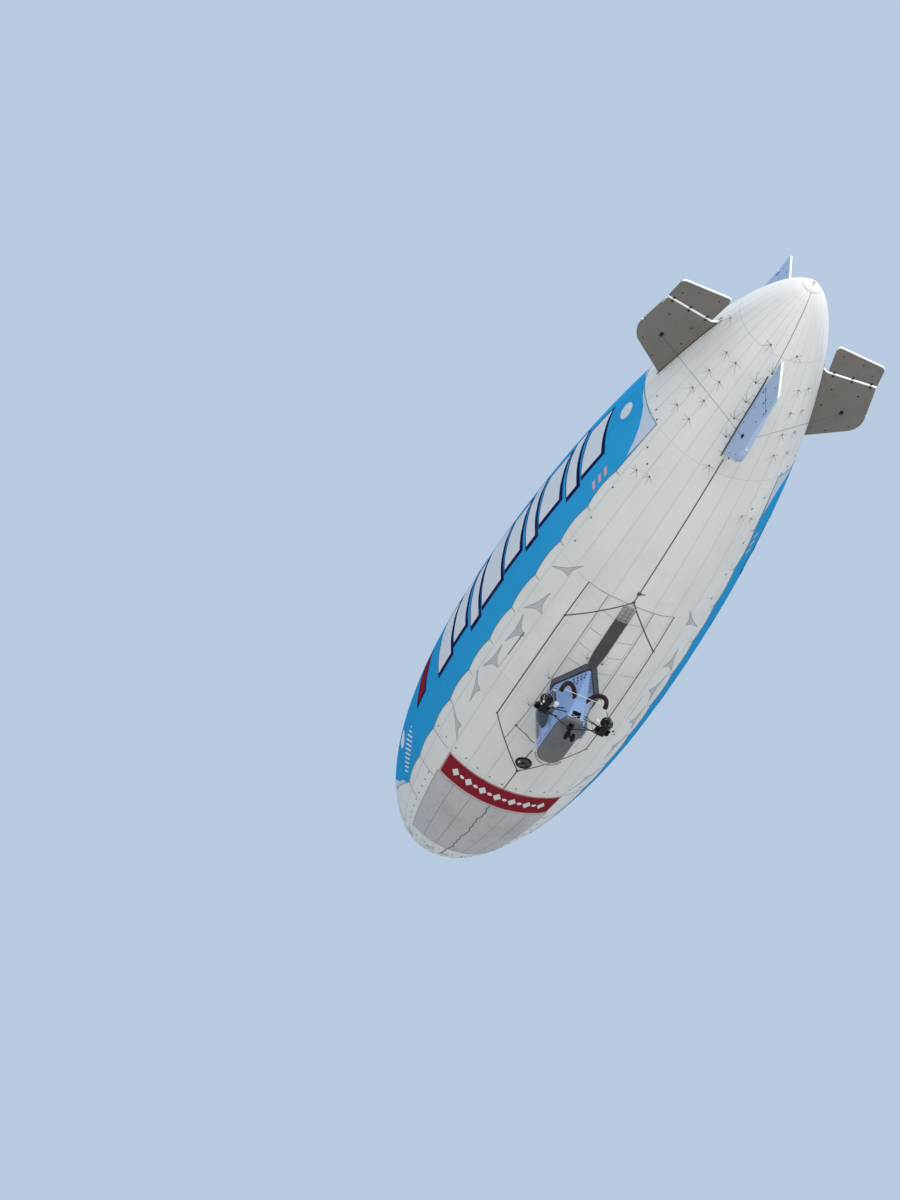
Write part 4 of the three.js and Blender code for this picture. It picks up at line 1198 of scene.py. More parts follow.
    def webbing(self) -> None:
        """Lays the belly cable, the rope hexagon round the gondola and its lesser lines."""
        rope, thin, faint = HullBands(self.rope_rise), HullBands(self.line_rise), HullBands(self.cloth_rise)
        strap = self.web_width * 0.8
        for a, b in zip(self.hexagon, [*self.hexagon[1:], self.hexagon[0]]):
            rope.line(a, b, self.web_width)
        thin.line((FORM.station(self.tail_line, False), 0), (-18.3, 0), 0.022)
        for a, b in (((-14.2, 0), (-6.16, 0)), ((5.74, 0), (7.28, 0))):
            rope.line(a, b, strap)
        for sign in (1, -1):
            rope.line((-3.7, sign * 26), (-5.9, sign * 25.6), strap)
            path = [(x, sign * (13.3 + 0.13 * max(x, 0.0) ** 2)) for x in np.linspace(-5.9, 4.15, 60)]
            thin.band(path, 0.026)
            for x in (-4.97, -3.83, -2.82, -1.8):
                faint.line((x, sign * 4.2), (x - 0.12, sign * 12.4), 0.024)
            faint.line((-0.6, sign * 38.4), (1.16, sign * 39), self.line_width)
            for x in (7.26, 9.5, 11.9):
                thin.line((x, sign * 51.5), (x, sign * 37.4), self.line_width)
            thin.line((14.68, sign * 67.4), (14.84, sign * 45.7), self.line_width)
        thin.band([(-5.95 - 0.06 * math.cos(math.radians(7 * a)), a) for a in np.linspace(-25.6, 25.6, 60)],
                  self.line_width)
        faint.line((-2.0, -16.5), (-1.99, -25.0), 0.024)
        wave = curve_through([(3.1, 14.6, 0.0), (3.17, 13.2, 0.0), (3.31, 7.3, 0.0), (3.5, 4.0, 0.0),
                              (3.57, 1.4, 0.0)])
        rope.band(wave[:, :2], 0.024)
        # Columns: start, end, width
        for start, end, width in (((4.66, 0.6), (4.05, 0.2), 0.03), ((-1.42, 38.2), (0.15, 38.6), 0.026),
                                  ((-6.69, 0.6), (-6.74, -3.2), 0.034)):
            rope.line(start, end, width)
        # Columns: station, angle, half the knot's size
        for x, angle, half in ((-6.16, 0, 0.06), (-6.69, 0, 0.08), (5.74, 0, 0.06), (-3.7, 26, 0.04),
                               (-3.7, -26, 0.04), (3.2, 26, 0.04), (3.2, -26, 0.04), (3.1, 14.5, 0.05),
                               (3.1, -14.5, 0.05)):
            rope.line((x - half, angle), (x + half, angle), 2 * half, 0.004, 0.05)
        rope.make("belly_webbing", ROPE_LINE)
        thin.make("belly_lines", GREY_LINE)
        faint.make("belly_faint_lines", FAINT_LINE)

    def ties(self) -> None:
        """Puts the small black ties along the banners' and the panel's edges and round the nose."""
        ticks = HullBands(0.01)
        spots = [(7.0 - 0.25 * abs(math.sin(math.radians(a * 2.5))), a) for a in range(-46, 51, 8)]
        spots += [(x, sign * 41.0) for x in np.arange(9.6, 14.4, 0.62) for sign in (1, -1)]
        spots += [(15.0, a) for a in range(-60, 61, 10)] + [(15.9, a) for a in range(-175, 181, 12)]
        spots += [(x, sign * a) for x, a in ((-13.9, 60), (-14.2, 68), (-13.7, 54), (-12.6, 46), (-12.1, 39),
                                             (-10.1, 47), (-8.3, 46), (-6.9, 45)) for sign in (1, -1)]
        for x, angle in spots:
            ticks.line((x, angle), (x + 0.09, angle + 0.4), 0.04, 0.0, 0.05)
        ticks.make("edge_ties", DARK_LINE)
        squares = HullPatches(self.cloth_rise)
        for x, angle in ((15.53, 40), (15.39, 13), (15.39, -4), (15.4, -24), (15.5, -48)):
            half = math.degrees(0.22 / float(FORM.radius_at(x)))
            squares.patch([(x - 0.2, angle - half), (x + 0.2, angle - half), (x + 0.2, angle + half),
                           (x - 0.2, angle + half)])
        squares.make("nose_squares", PATCH_CLOTH)

    def build(self) -> None:
        """Builds the whole envelope."""
        for step in (self.skin, self.tapes, self.tufts, self.wedges, self.webbing, self.ties):
            step()


@dataclass
class HullEnds:
    """The nose dish with its battens and mooring spindle, and the tail cap with its knob."""

    nose_radius: float = 0.9
    tail_radius: float = 0.42
    edge_round: float = 0.03
    skirt: float = 0.02
    battens: int = 24
    batten_rise: float = 0.018
    batten_width: float = 0.05

    def dish(self, name: str, radius: float, on_nose: bool, thick: float) -> None:
        """Builds one dish over the end of the hull.

        Args:
            name: the CAD node it stands for.
            radius: the dish's radius.
            on_nose: whether it is at the nose.
            thick: how far it stands out.
        """
        way = 1.0 if on_nose else -1.0
        end = FORM.nose_x if on_nose else FORM.tail_x
        profile = [(way * (FORM.station(radius, on_nose) - end) - self.skirt, radius)]
        for r in np.linspace(radius, 0.02, 28):
            edge = max(0.0, (r - radius + self.edge_round) / self.edge_round)
            profile.append((way * (FORM.station(r, on_nose) - end) + thick * math.sqrt(1 - edge ** 2), r))
        cap = Bundle()
        cap.lathe(profile, (end, 0, 0), (way, 0, 0), 72)
        if on_nose:
            cap.lathe([(-0.02, 0.0), (-0.02, 0.13), (0.085, 0.128), (0.11, 0.1), (0.115, 0.085),
                       (0.235, 0.085), (0.26, 0.065), (0.26, 0.0)], (end, 0, 0), (1, 0, 0))
            cap.lathe([(0.15, 0.08), (0.15, 0.11), (0.18, 0.11), (0.18, 0.08)], (end, 0, 0), (1, 0, 0))
        else:
            cap.lathe([(-0.02, 0.0), (-0.02, 0.06), (0.03, 0.055), (0.1, 0.05), (0.13, 0.035), (0.13, 0.0)],
                      (end, 0, 0), (-1, 0, 0), 24)
        cap.make(f"{name}_shell", CAP_PAINT, replaces=[name])

    def build(self) -> None:
        """Builds both ends and the nose battens."""
        self.dish("nose_cone", self.nose_radius, True, 0.025)
        self.dish("tail_cap", self.tail_radius, False, 0.014)
        battens = HullBands(self.batten_rise)
        xs = np.linspace(FORM.station(self.nose_radius - 0.05, True), FORM.station(2.3, True), 30)
        for i in range(self.battens):
            battens.band([(x, (i + 0.5) * 360 / self.battens) for x in xs], self.batten_width)
        battens.make("nose_battens", WHITE_METAL)


class TailPlace(Enum):
    """Where a tail surface stands, as quarter turns about X from port, and its nodes' names."""

    PORT = (0, "port", "elevator_port")
    TOP = (1, "top", "rudder_top")
    STARBOARD = (2, "starboard", "elevator_starboard")
    BOTTOM = (3, "bottom", "rudder_bottom")

    @property
    def level(self) -> bool:
        """Whether the surface lies flat."""
        return self.value[0] % 2 == 0

    @property
    def hull_angle(self) -> float:
        """Angle round the hull where it stands."""
        return {0: 90.0, 1: 180.0, 2: -90.0, 3: 0.0}[self.value[0]]


@dataclass
class TailSurface:
    """One fin with its hinged flap, hinges, fitting, lights and root lacing."""

    place: TailPlace
    root: HullPoint = (-14.25, 2.30)
    root_front: HullPoint = (-14.39, 3.36)
    tip_front: HullPoint = (-15.83, 5.24)
    root_rear: HullPoint = (-18.15, 1.75)
    hinge_out: HullPoint = (-18.09, 4.73)
    hinge_in: HullPoint = (-17.81, 2.65)
    rear_out: HullPoint = (-19.12, 4.57)
    rear_in: HullPoint = (-19.18, 2.36)
    fitting: HullPoint = (-16.25, 4.12)
    fitting_half: HullPoint = (0.06, 0.045)
    fin_plates: Sequence[HullPoint] = ((-15.1, 4.0), (-16.2, 3.2), (-17.3, 4.3), (-17.1, 3.2), (-15.75, 4.72))
    flap_plates: Sequence[HullPoint] = ((-18.81, 3.73), (-18.81, 2.82), (-18.5, 4.3))
    # Columns: place, direction
    lamps: Sequence[tuple[HullPoint, HullPoint]] = (((-15.50, 4.86), (0.35, 0.94)),
                                                    ((-16.47, 5.10), (-0.2, 0.98)))
    fin_gap: float = 0.04
    flap_gap: float = 0.02
    edge: float = 0.04
    sag: float = 0.006
    rib_pitch: float = 0.58
    hinges: Sequence[float] = (0.12, 0.5, 0.88)
    knuckle: float = 0.0155
    plate_sunk: float = 0.008

    def by_hinge(self, along: float, across: float) -> HullPoint:
        """Gives a point beside the hinge line.

        Args:
            along: metres from its inner end.
            across: metres ahead of it.

        Returns:
            Station and distance from the hull's axis.
        """
        way = (Vector(self.hinge_out) - Vector(self.hinge_in)).normalized()
        spot = Vector(self.hinge_in) + way * along + Vector((way.y, -way.x)) * across
        return spot.x, spot.y

    @property
    def hinge_length(self) -> float:
        """Length of the hinge line."""
        return math.dist(self.hinge_out, self.hinge_in)

    def corner(self, before: HullPoint, at: HullPoint, after: HullPoint, radius: float) -> list[HullPoint]:
        """Rounds a corner.

        Args:
            before: the point before it.
            at: the corner.
            after: the point after it.
            radius: how far from the corner the round starts.

        Returns:
            Points along the round.
        """
        middle = Vector(at)
        start = middle + (Vector(before) - middle).normalized() * radius
        end = middle + (Vector(after) - middle).normalized() * radius
        steps = 12
        return [((start * (1 - t) ** 2 + middle * 2 * t * (1 - t) + end * t * t)[:])
                for t in (i / steps for i in range(steps + 1))]

    def fin_outline(self) -> list[HullPoint]:
        """Gives the fin's outline.

        Returns:
            The outline, along and away from the hull.
        """
        return [self.root, self.root_front,
                *self.corner(self.root_front, self.tip_front, self.hinge_out, 0.62),
                self.by_hinge(self.hinge_length, self.fin_gap), self.by_hinge(0, self.fin_gap),
                self.root_rear]

    def flap_outline(self) -> list[HullPoint]:
        """Gives the flap's outline.

        Returns:
            The outline, along and away from the hull.
        """
        return [self.by_hinge(0, -self.flap_gap), self.by_hinge(self.hinge_length, -self.flap_gap),
                *self.corner(self.hinge_out, self.rear_out, self.rear_in, 0.18),
                *self.corner(self.rear_out, self.rear_in, self.hinge_in, 0.24)]

    def fin_thickness(self, x: np.ndarray | float) -> np.ndarray:
        """Gives the fin's thickness at stations x."""
        share = np.clip((x - self.hinge_in[0]) / (self.root_front[0] - self.hinge_in[0]), 0, 1)
        return 0.15 + 0.15 * np.minimum(1, share * 1.6)

    def flap_thickness(self, x: np.ndarray | float) -> np.ndarray:
        """Gives the flap's thickness at stations x."""
        share = np.clip((self.hinge_in[0] - x) / (self.hinge_in[0] - self.rear_in[0]), 0, 1)
        return 0.12 - 0.03 * share

    def turned(self, points: Sequence[Point]) -> np.ndarray:
        """Turns points from the port plane to this surface's place.

        Args:
            points: station, distance from the axis and height in each row.

        Returns:
            Points in the craft's frame.
        """
        quarter = math.radians(90 * self.place.value[0])
        x, y, z = np.asarray(points, float).T
        return np.stack([x, y * math.cos(quarter) - z * math.sin(quarter),
                         y * math.sin(quarter) + z * math.cos(quarter)], axis=-1)

    def board_height(self, spots: np.ndarray, nearest: np.ndarray,
                     thickness: Callable[[np.ndarray], np.ndarray]) -> np.ndarray:
        """Gives half the board's thickness, rounded at its edge and sagging between its ribs.

        Args:
            spots: stations and distances from the axis.
            nearest: how far the spots are from the outline.
            thickness: gives the thickness at a station.

        Returns:
            The heights of the upper cloth.
        """
        bend = np.sqrt(np.clip(1 - (1 - np.clip(nearest / self.edge, 0, 1)) ** 2, 0, 1))
        sag = self.sag * np.sin(spots[:, 1] * math.pi / self.rib_pitch) ** 2
        return thickness(spots[:, 0]) / 2 * (0.5 + 0.5 * bend) - sag * np.clip(nearest / 0.3 - 0.2, 0, 1)

    def board(self, outline: Sequence[HullPoint], thickness: Callable[[np.ndarray], np.ndarray],
              white: Callable[[float, float], bool], rim: float = 0.8) -> Bundle:
        """Builds a thin board whose cloth sags a little between ribs.

        Args:
            outline: the board's outline.
            thickness: gives the thickness at a station.
            white: whether an edge face at a station and distance from the axis is white, a painted highlight.
            rim: share of the rounded edge that counts as edge.

        Returns:
            The board, marked for cloth below, cloth above and white edges of painted highlight.
        """
        quarters = np.linspace(0, math.pi / 2, 5)
        rings = [inset(outline, self.edge * (1 - math.cos(q))) for q in quarters]
        spots, faces = region([rings[-1]], (0.16, 0.16), rings[-2::-1])
        given = np.array([*outline, outline[0]], float)
        count = len(spots)
        nearest = np.full(count, 9.0)
        for a, b in zip(given, given[1:]):
            share = np.clip(((spots - a) @ (b - a)) / max(float((b - a) @ (b - a)), 1e-12), 0, 1)
            nearest = np.minimum(nearest, np.linalg.norm(spots - a - share[:, None] * (b - a), axis=1))
        height = self.board_height(spots, nearest, thickness)
        both = np.concatenate([np.column_stack([spots, height]), np.column_stack([spots, -height])])
        rim_points = {i for i in range(count) if nearest[i] < 1e-5}
        edges = dict.fromkeys((a, b) for face in faces for a, b in zip(face, face[1:] + face[:1])
                              if a in rim_points and b in rim_points)
        walls = [(b, a, a + count, b + count) for a, b in edges if (b, a) not in edges]
        below = [tuple(n + count for n in face[::-1]) for face in faces]
        points = self.turned(both)
        made = Bundle()
        for mark, group in ((1, faces), (0, below), (0, walls)):
            for face in group:
                middle = both[list(face)].mean(axis=0)
                near = min(nearest[n % count] for n in face) < self.edge * rim
                made.mark = 2 if near and white(middle[0], middle[1]) else mark
                made.add(points[list(face)], [tuple(range(len(face)))])
        return made

    def order(self) -> tuple[Finish, Finish, Finish]:
        """Gives the finishes: the cloth that looks down, then the other side's, then the white edge of
        painted highlight.

        Returns:
            The three finishes.
        """
        # Upright surfaces take the blue-grey of painted skylight on both faces; level ones take painted shade
        # on the face that looks down and grey above.
        if not self.place.level:
            return FIN_PAINTED_SKYLIGHT, FIN_PAINTED_SKYLIGHT, LAMP_WHITE_AND_EDGE_HIGHLIGHT
        cloths = (FIN_PAINTED_SHADE, FIN_TOP)
        return (*(cloths[::-1] if self.place is TailPlace.STARBOARD else cloths), LAMP_WHITE_AND_EDGE_HIGHLIGHT)

    def build(self) -> None:
        """Builds the fin, the flap and what is on them."""
        _, word, flap_name = self.place.value
        fin_name = f"fin_{word}"
        # White faces along the level fin's hinge-gap edge and the flap's trailing edge are a painted
        # highlight.
        rear = self.hinge_in[0] + 0.08
        fin = self.board(self.fin_outline(), self.fin_thickness,
                         lambda x, rho: self.place.level and x < rear and rho < 4.8, 0.1)
        fin.make(f"{fin_name}_cloth", *self.order(), replaces=[fin_name], smooth=50)
        flap = self.board(self.flap_outline(), self.flap_thickness, lambda x, rho: x < -19.0)
        flap.make(f"{flap_name}_cloth", *self.order(), replaces=[flap_name], body=flap_name, smooth=50)
        self.hardware(fin_name, flap_name)
        self.lacing(fin_name)

    def hinge_box(self, made: Bundle, along: float, ends: HullPoint, reach: HullPoint, half: float,
                  foot: float = 0.0) -> None:
        """Adds a block beside the hinge line.

        Args:
            made: takes the block.
            along: where it is along the hinge line.
            ends: where it starts and ends from there.
            reach: how far its front and its rear are ahead of the line.
            half: half its height.
            foot: its middle's height.
        """
        low, high = (along + end for end in ends)
        front, rear = reach
        corners = [self.by_hinge(*spot) for spot in ((low, front), (high, front), (high, rear), (low, rear))]
        points = self.turned([(x, rho, foot + h) for h in (-half, half) for x, rho in corners])
        made.prism(points[:4], points[4:])

    def hardware(self, fin_name: str, flap_name: str) -> None:
        """Builds the hinges, the brace fitting, plates and lights.

        Args:
            fin_name: name of the fin.
            flap_name: name of the flap and its body.
        """
        fixed, moving, lights = Bundle(), Bundle(), Bundle()
        for share in self.hinges:
            along = share * self.hinge_length
            for ends in ((self.knuckle, 0.04), (-0.04, -self.knuckle)):
                self.hinge_box(fixed, along, ends, (self.fin_gap + 0.06, -0.012), 0.012)
            self.hinge_box(moving, along, (-0.015, 0.015), (0.010, -self.flap_gap - 0.06), 0.010)
            for up in (1, -1):
                self.hinge_box(fixed, along, (-0.05, 0.05), (0.16, self.fin_gap + 0.01), 0.006, up * 0.077)
                self.hinge_box(moving, along, (-0.04, 0.04), (-0.03, -0.13), 0.006, up * 0.060)
        for up in (1, -1):
            self.fitting_block(fixed, up)
            for made, plates, thickness, size in ((fixed, self.fin_plates, self.fin_thickness, 0.04),
                                                  (moving, self.flap_plates, self.flap_thickness, 0.035)):
                for x, rho in plates:
                    height = up * (float(thickness(x)) / 2 - self.plate_sunk)
                    foot, axis = self.turned([(x, rho, height), (0.0, 0.0, up)])
                    made.lathe([(0, size), (0.012, size - 0.005), (0.014, 0.0)], foot, axis, 12)
        for at, away in self.lamps:
            foot, axis = self.turned([(*at, 0.0), (*away, 0.0)])
            lights.lathe([(-0.04, 0.05), (0.03, 0.048), (0.05, 0.035), (0.06, 0.0)], foot, axis, 20)
        fixed.make(f"{fin_name}_fittings", BLACK_FITTING, bevel=0.002)
        moving.make(f"{flap_name}_fittings", BLACK_FITTING, body=flap_name, bevel=0.002)
        lights.make(f"{fin_name}_lights", LAMP_WHITE_AND_EDGE_HIGHLIGHT)

    def fitting_block(self, made: Bundle, up: int) -> None:
        """Adds the brace wire's fitting on its plate.

        Args:
            made: takes the fitting.
            up: 1 above the fin, -1 below it.
        """
        (x, rho), (half_x, half_rho) = self.fitting, self.fitting_half
        reach = float(self.fin_thickness(x)) / 2 + 0.06
        base = reach - 0.055
        for low, high, size in ((base, base + 0.012, 1.6), (base, reach, 1.0)):
            points = self.turned([(x + sx * half_x * size, rho + sy * half_rho * size, up * h)
                                  for h in (low, high) for sx, sy in ((-1, -1), (1, -1), (1, 1), (-1, 1))])
            made.prism(points[:4], points[4:])

    def lacing(self, fin_name: str) -> None:
        """Sews the dark strip where the fin meets the hull.

        Args:
            fin_name: name of the fin.
        """
        strip, ticks = HullBands(0.012), HullBands(0.005)
        middle = self.place.hull_angle
        xs = np.linspace(-14.3, -18.1, 60)
        away = np.degrees(np.arcsin((self.fin_thickness(xs) / 2 + 0.02) / FORM.radius_at(xs)))
        for sign in (1, -1):
            strip.band(list(zip(xs, middle + sign * away)), 0.04)
            for x, reach in zip(xs[2:-2:6], away[2:-2:6]):
                ticks.line((x, middle + sign * reach), (x - 0.05, middle + sign * (reach + 3.2)), 0.016)
        strip.make(f"{fin_name}_lacing", DARK_LINE)
        ticks.make(f"{fin_name}_lace_ends", FAINT_LINE)


@dataclass
class SideBanner:
    """One of the two laced side banners, with its printed blocks."""

    side: Side
    flat: tuple[float, float] = (27.65, 6.64)
    thickness: float = 0.003
    ties_from: float = -10.66
    tie_pitch: float = 2.24
    ties: int = 11
    tie_angle: float = 52.0
    scallop: float = 1.5
    stern_x: float = -13.55
    bow_x: float = 14.1
    stern_angle: float = 51.7
    bow_angle: float = 70.5
    lift: float = 0.008
    pucker: float = 0.006
    pucker_reach: float = 0.7
    hem_rise: float = 0.006
    hem_width: float = 0.03
    columns: int = 220
    rows: int = 40

    def lower_angle(self, x: np.ndarray) -> np.ndarray:
        """Gives the angle of the lower edge, which is drawn in between its ties.

        Args:
            x: stations.

        Returns:
            The angles.
        """
        last_tie = self.ties_from + (self.ties - 1) * self.tie_pitch
        share = np.mod((x - self.ties_from) / self.tie_pitch, 1.0)
        angle = self.tie_angle + self.scallop * 4 * share * (1 - share)
        stern = np.interp(x, [self.stern_x, self.ties_from], [self.stern_angle, self.tie_angle])
        bow = np.interp(x, [last_tie, self.bow_x], [self.tie_angle, self.bow_angle])
        return np.where(x < self.ties_from, stern, np.where(x > last_tie, bow, angle))

    def tie_points(self) -> list[float]:
        """Gives the stations of the ties."""
        return [self.ties_from + i * self.tie_pitch for i in range(self.ties)]

    def cloth(self) -> Piece:
        """Builds the cloth, puckered near its ties, which stands for the CAD banner.

        Returns:
            The cloth.
        """
        x = np.linspace(self.stern_x, self.bow_x, self.columns)
        low = self.lower_angle(x)
        share = np.linspace(0, 1, self.rows)
        angle = low[:, None] + (180 - 2 * low[:, None]) * share[None, :]
        station = np.broadcast_to(x[:, None], angle.shape)
        pucker = np.zeros_like(angle)
        for tie in self.tie_points():
            for edge in (self.tie_angle, 180 - self.tie_angle):
                along = station - tie
                up = np.radians(np.abs(angle - edge)) * FORM.radius_at(station)
                fade = np.exp(-np.hypot(along, up) / self.pucker_reach)
                pucker += self.pucker * fade * np.cos(7 * np.arctan2(along, up + 0.05))
        made = Sheet(self.thickness)
        made.grid(FORM.place(station, angle, self.lift + pucker))
        return made.make("side_banner_cloth_{}", TEAL_CLOTH, replaces=["side_banner_{}"], side=self.side)

    def block(self, x: float, width: float, low: float, high: float, lean: float,
              grow: float = 0.0, shift: float = 0.0) -> list[HullPoint]:
        """Gives the outline of a slanted block.

        Args:
            x: station of its lower rear corner.
            width: its width along the hull.
            low: angle of its lower edge.
            high: angle of its upper edge.
            lean: how far its top leans aft.
            grow: margin added all round, in metres.
            shift: how far it drops and moves aft, in metres.

        Returns:
            The outline for port.
        """
        up, down = (math.degrees(part / FORM.radius) for part in (grow, shift))
        return [(x - grow - shift, low - up - down), (x + width + grow, low - up - down),
                (x + width - lean + grow, high + up), (x - lean - grow - shift, high + up)]

    def print_blocks(self) -> list[Piece]:
        """Lays the printed blocks, bars and discs on the cloth.

        Returns:
            The printed pieces.
        """
        # Columns: station, width, lower angle, upper angle, lean
        blocks = [
            (-10.3, 1.5, 70, 96, 0.9), (-8.35, 0.8, 68, 101, 0.9), (-7.05, 1.7, 72, 98, 0.9),
            (-4.9, 0.8, 69, 102, 0.9), (-3.6, 1.4, 72, 98, 0.9), (-1.75, 1.9, 70, 101, 0.9),
            (0.6, 0.8, 68, 97, 0.9), (1.85, 1.3, 73, 102, 0.9), (3.6, 1.5, 70, 98, 0.9),
        ]
        red_block = (6.9, 1.2, 75, 94, 1.0)
        white, navy, red, pink = (HullPatches(self.lift + rise) for rise in (0.006, 0.003, 0.006, 0.006))
        for block in blocks:
            white.patch(self.block(*block))
            navy.patch(self.block(*block, 0.12, 0.1))
        for share in np.linspace(0, 1, 11):
            middle, half = 71.0 - 12.5 * share, 0.8 + 4.0 * min(1.0, share * 4) * (1 - share * 0.75)
            white.patch(self.block(9.2 + 2.2 * share - 0.07 * half, 0.12, middle - half, middle + half,
                                   -0.14 * half))
        for disc in (((10.9, 78.0), 0.45, 5.5), ((-12.3, 80.5), 0.42, 5.2)):
            white.patch(circle(*disc))
        red.patch(self.block(*red_block))
        navy.patch(self.block(*red_block, 0.07, 0.08))
        for row in range(3):
            pink.patch(self.block(-10.2 + row * 0.45, 0.2, 56, 60, 0.15))
        return [made.make(name, finish, side=self.side) for name, made, finish in (
            ("banner_blocks_{}", white, WHITE_PRINT), ("banner_outlines_{}", navy, NAVY_PRINT),
            ("banner_red_block_{}", red, RED_CLOTH), ("banner_bars_{}", pink, PINK_PRINT))]

    def corners(self) -> Piece:
        """Lays the light grey corners at the banner's ends.

        Returns:
            The corners' piece.
        """
        stern = [(-13.53, 52.2), (-12.6, 52.2), (-11.5, 53.1), (-12.2, 56.5), (-12.73, 60.6), (-13.1, 65.5),
                 (-13.33, 71.5), (-13.42, 80.0), (-13.53, 85.0)]
        bow = [(12.1, 54.6), (13.0, 61.5), (14.06, 71.0), (14.06, 84.0), (13.6, 74.0), (12.9, 64.5),
               (12.2, 58.4)]
        cloth = HullPatches(self.lift + 0.006)
        for outline in (stern, bow):
            cloth.patch(outline)
            cloth.patch([(x, 180 - angle) for x, angle in outline])
        return cloth.make("banner_corners_{}", CORNER_CLOTH, side=self.side)

    def edging(self) -> Piece:
        """Sews the hem and its tie loops round the banner's edge.

        Returns:
            The hem's piece.
        """
        x = np.linspace(self.stern_x + self.hem_width, self.bow_x - self.hem_width, 320)
        low = self.lower_angle(x) + 0.25
        hem, loops = HullBands(self.hem_rise), HullBands(self.hem_rise)
        for flip in (False, True):
            hem.band(list(zip(x, 180 - low if flip else low)), self.hem_width, self.lift)
            start = 180 - self.tie_angle if flip else self.tie_angle
            for tie in self.tie_points():
                loops.line((tie, start), (tie, start + (3 if flip else -3)), 0.026)
        for end, angle in ((x[0], self.stern_angle), (x[-1], self.bow_angle)):
            hem.band([(end, a) for a in np.linspace(angle, 180 - angle, 60)], self.hem_width, self.lift)
        loops.make("banner_loops_{}", GREY_LINE, side=self.side)
        return hem.make("banner_hem_{}", HEM_TAPE, side=self.side)

    def build(self) -> None:
        """Builds the banner with its print, corners and hem."""
        self.cloth()
        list(self.print_blocks())
        self.corners()
        self.edging()


@dataclass
class BellyCloths:
    """The red belly banner and the grey nose panel."""

    lift: float = 0.008
    thickness: float = 0.003
    wave: float = 0.002
    red_ends: HullPoint = (7.3, 8.85)
    red_angle: float = 36.0
    red_flat: tuple[float, float] = (1.57, 5.92)
    nose_ends: HullPoint = (8.9, 14.35)
    nose_angle: float = 37.0
    nose_flat: tuple[float, float] = (5.78, 5.74)
    print_x: float = 8.07
    border_width: float = 0.036

    def cloth(self, name: str, ends: HullPoint, angle: float, finish: Finish, rows: int) -> Piece:
        """Builds one cloth.

        Args:
            name: the CAD node it stands for.
            ends: its rear and front stations.
            angle: how far it reaches on each side.
            finish: its finish.
            rows: rows of points along the hull.

        Returns:
            The cloth.
        """
        x = np.linspace(*ends, rows)
        around = np.linspace(-angle, angle, 73)
        wave = self.wave * np.sin(x[:, None] * 5) * np.sin(np.radians(around[None, :]) * 30)
        made = Sheet(self.thickness)
        made.grid(FORM.place(x[:, None], around[None, :], self.lift + wave))
        return made.make(f"{name}_cloth", finish, replaces=[name])

    def red_trim(self) -> list[Piece]:
        """Prints the belly banner's diamonds and dots and sews its border.

        Returns:
            The print and the border.
        """
        x, half, cell = self.print_x, 0.3, (0.1, 0.6)
        prints, border = HullPatches(self.lift + 0.004), HullBands(0.003)
        for angle in np.linspace(-27, 27, 7):
            prints.patch([(x, angle - 2.4), (x + half, angle), (x, angle + 2.4), (x - half, angle)], cell)
        for angle in np.linspace(-22.5, 22.5, 6):
            prints.patch(circle((x, angle), 0.11, 1.4, 12), cell)
        reach = self.red_angle - 0.5
        rear, front = self.red_ends[0] + 0.04, self.red_ends[1] - 0.04
        for start, end in (((rear, -reach), (rear, reach)), ((front, -reach), (front, reach)),
                           ((rear, reach), (front, reach)), ((rear, -reach), (front, -reach))):
            border.line(start, end, self.border_width, self.lift + 0.002)
        return [prints.make("belly_banner_print", WHITE_PRINT),
                border.make("belly_banner_border", PINK_PRINT)]

    def nose_trim(self) -> list[Piece]:
        """Sews the nose panel's seams and its lacing.

        Returns:
            The seams and the lacing.
        """
        seams, lace = HullBands(0.003), HullBands(0.008)
        rear, front = self.nose_ends
        for x in (rear + 0.03, front - 0.03):
            seams.line((x, -self.nose_angle), (x, self.nose_angle), 0.022, self.lift)
        for angle in (-36.8, -24, -12, 12, 24, 36.8):
            seams.line((rear, angle), (front, angle), 0.02, self.lift)
        waves = [(x, 0.6 * math.sin(x * 9) * math.sin(x * 2.9) + 0.5 * math.sin(x * 3.1))
                 for x in np.linspace(rear, 15.6, 200)]
        lace.band(waves, 0.032, self.lift)
        return [seams.make("nose_panel_seams", GREY_LINE), lace.make("nose_panel_lacing", ROPE_LINE)]

    def build(self) -> None:
        """Builds both cloths with their borders, print and lacing."""
        trims = self.red_trim(), self.nose_trim()
        self.cloth("belly_banner", self.red_ends, self.red_angle, RED_CLOTH, 24)
        self.cloth("nose_panel", self.nose_ends, self.nose_angle, NOSE_CLOTH, 60)


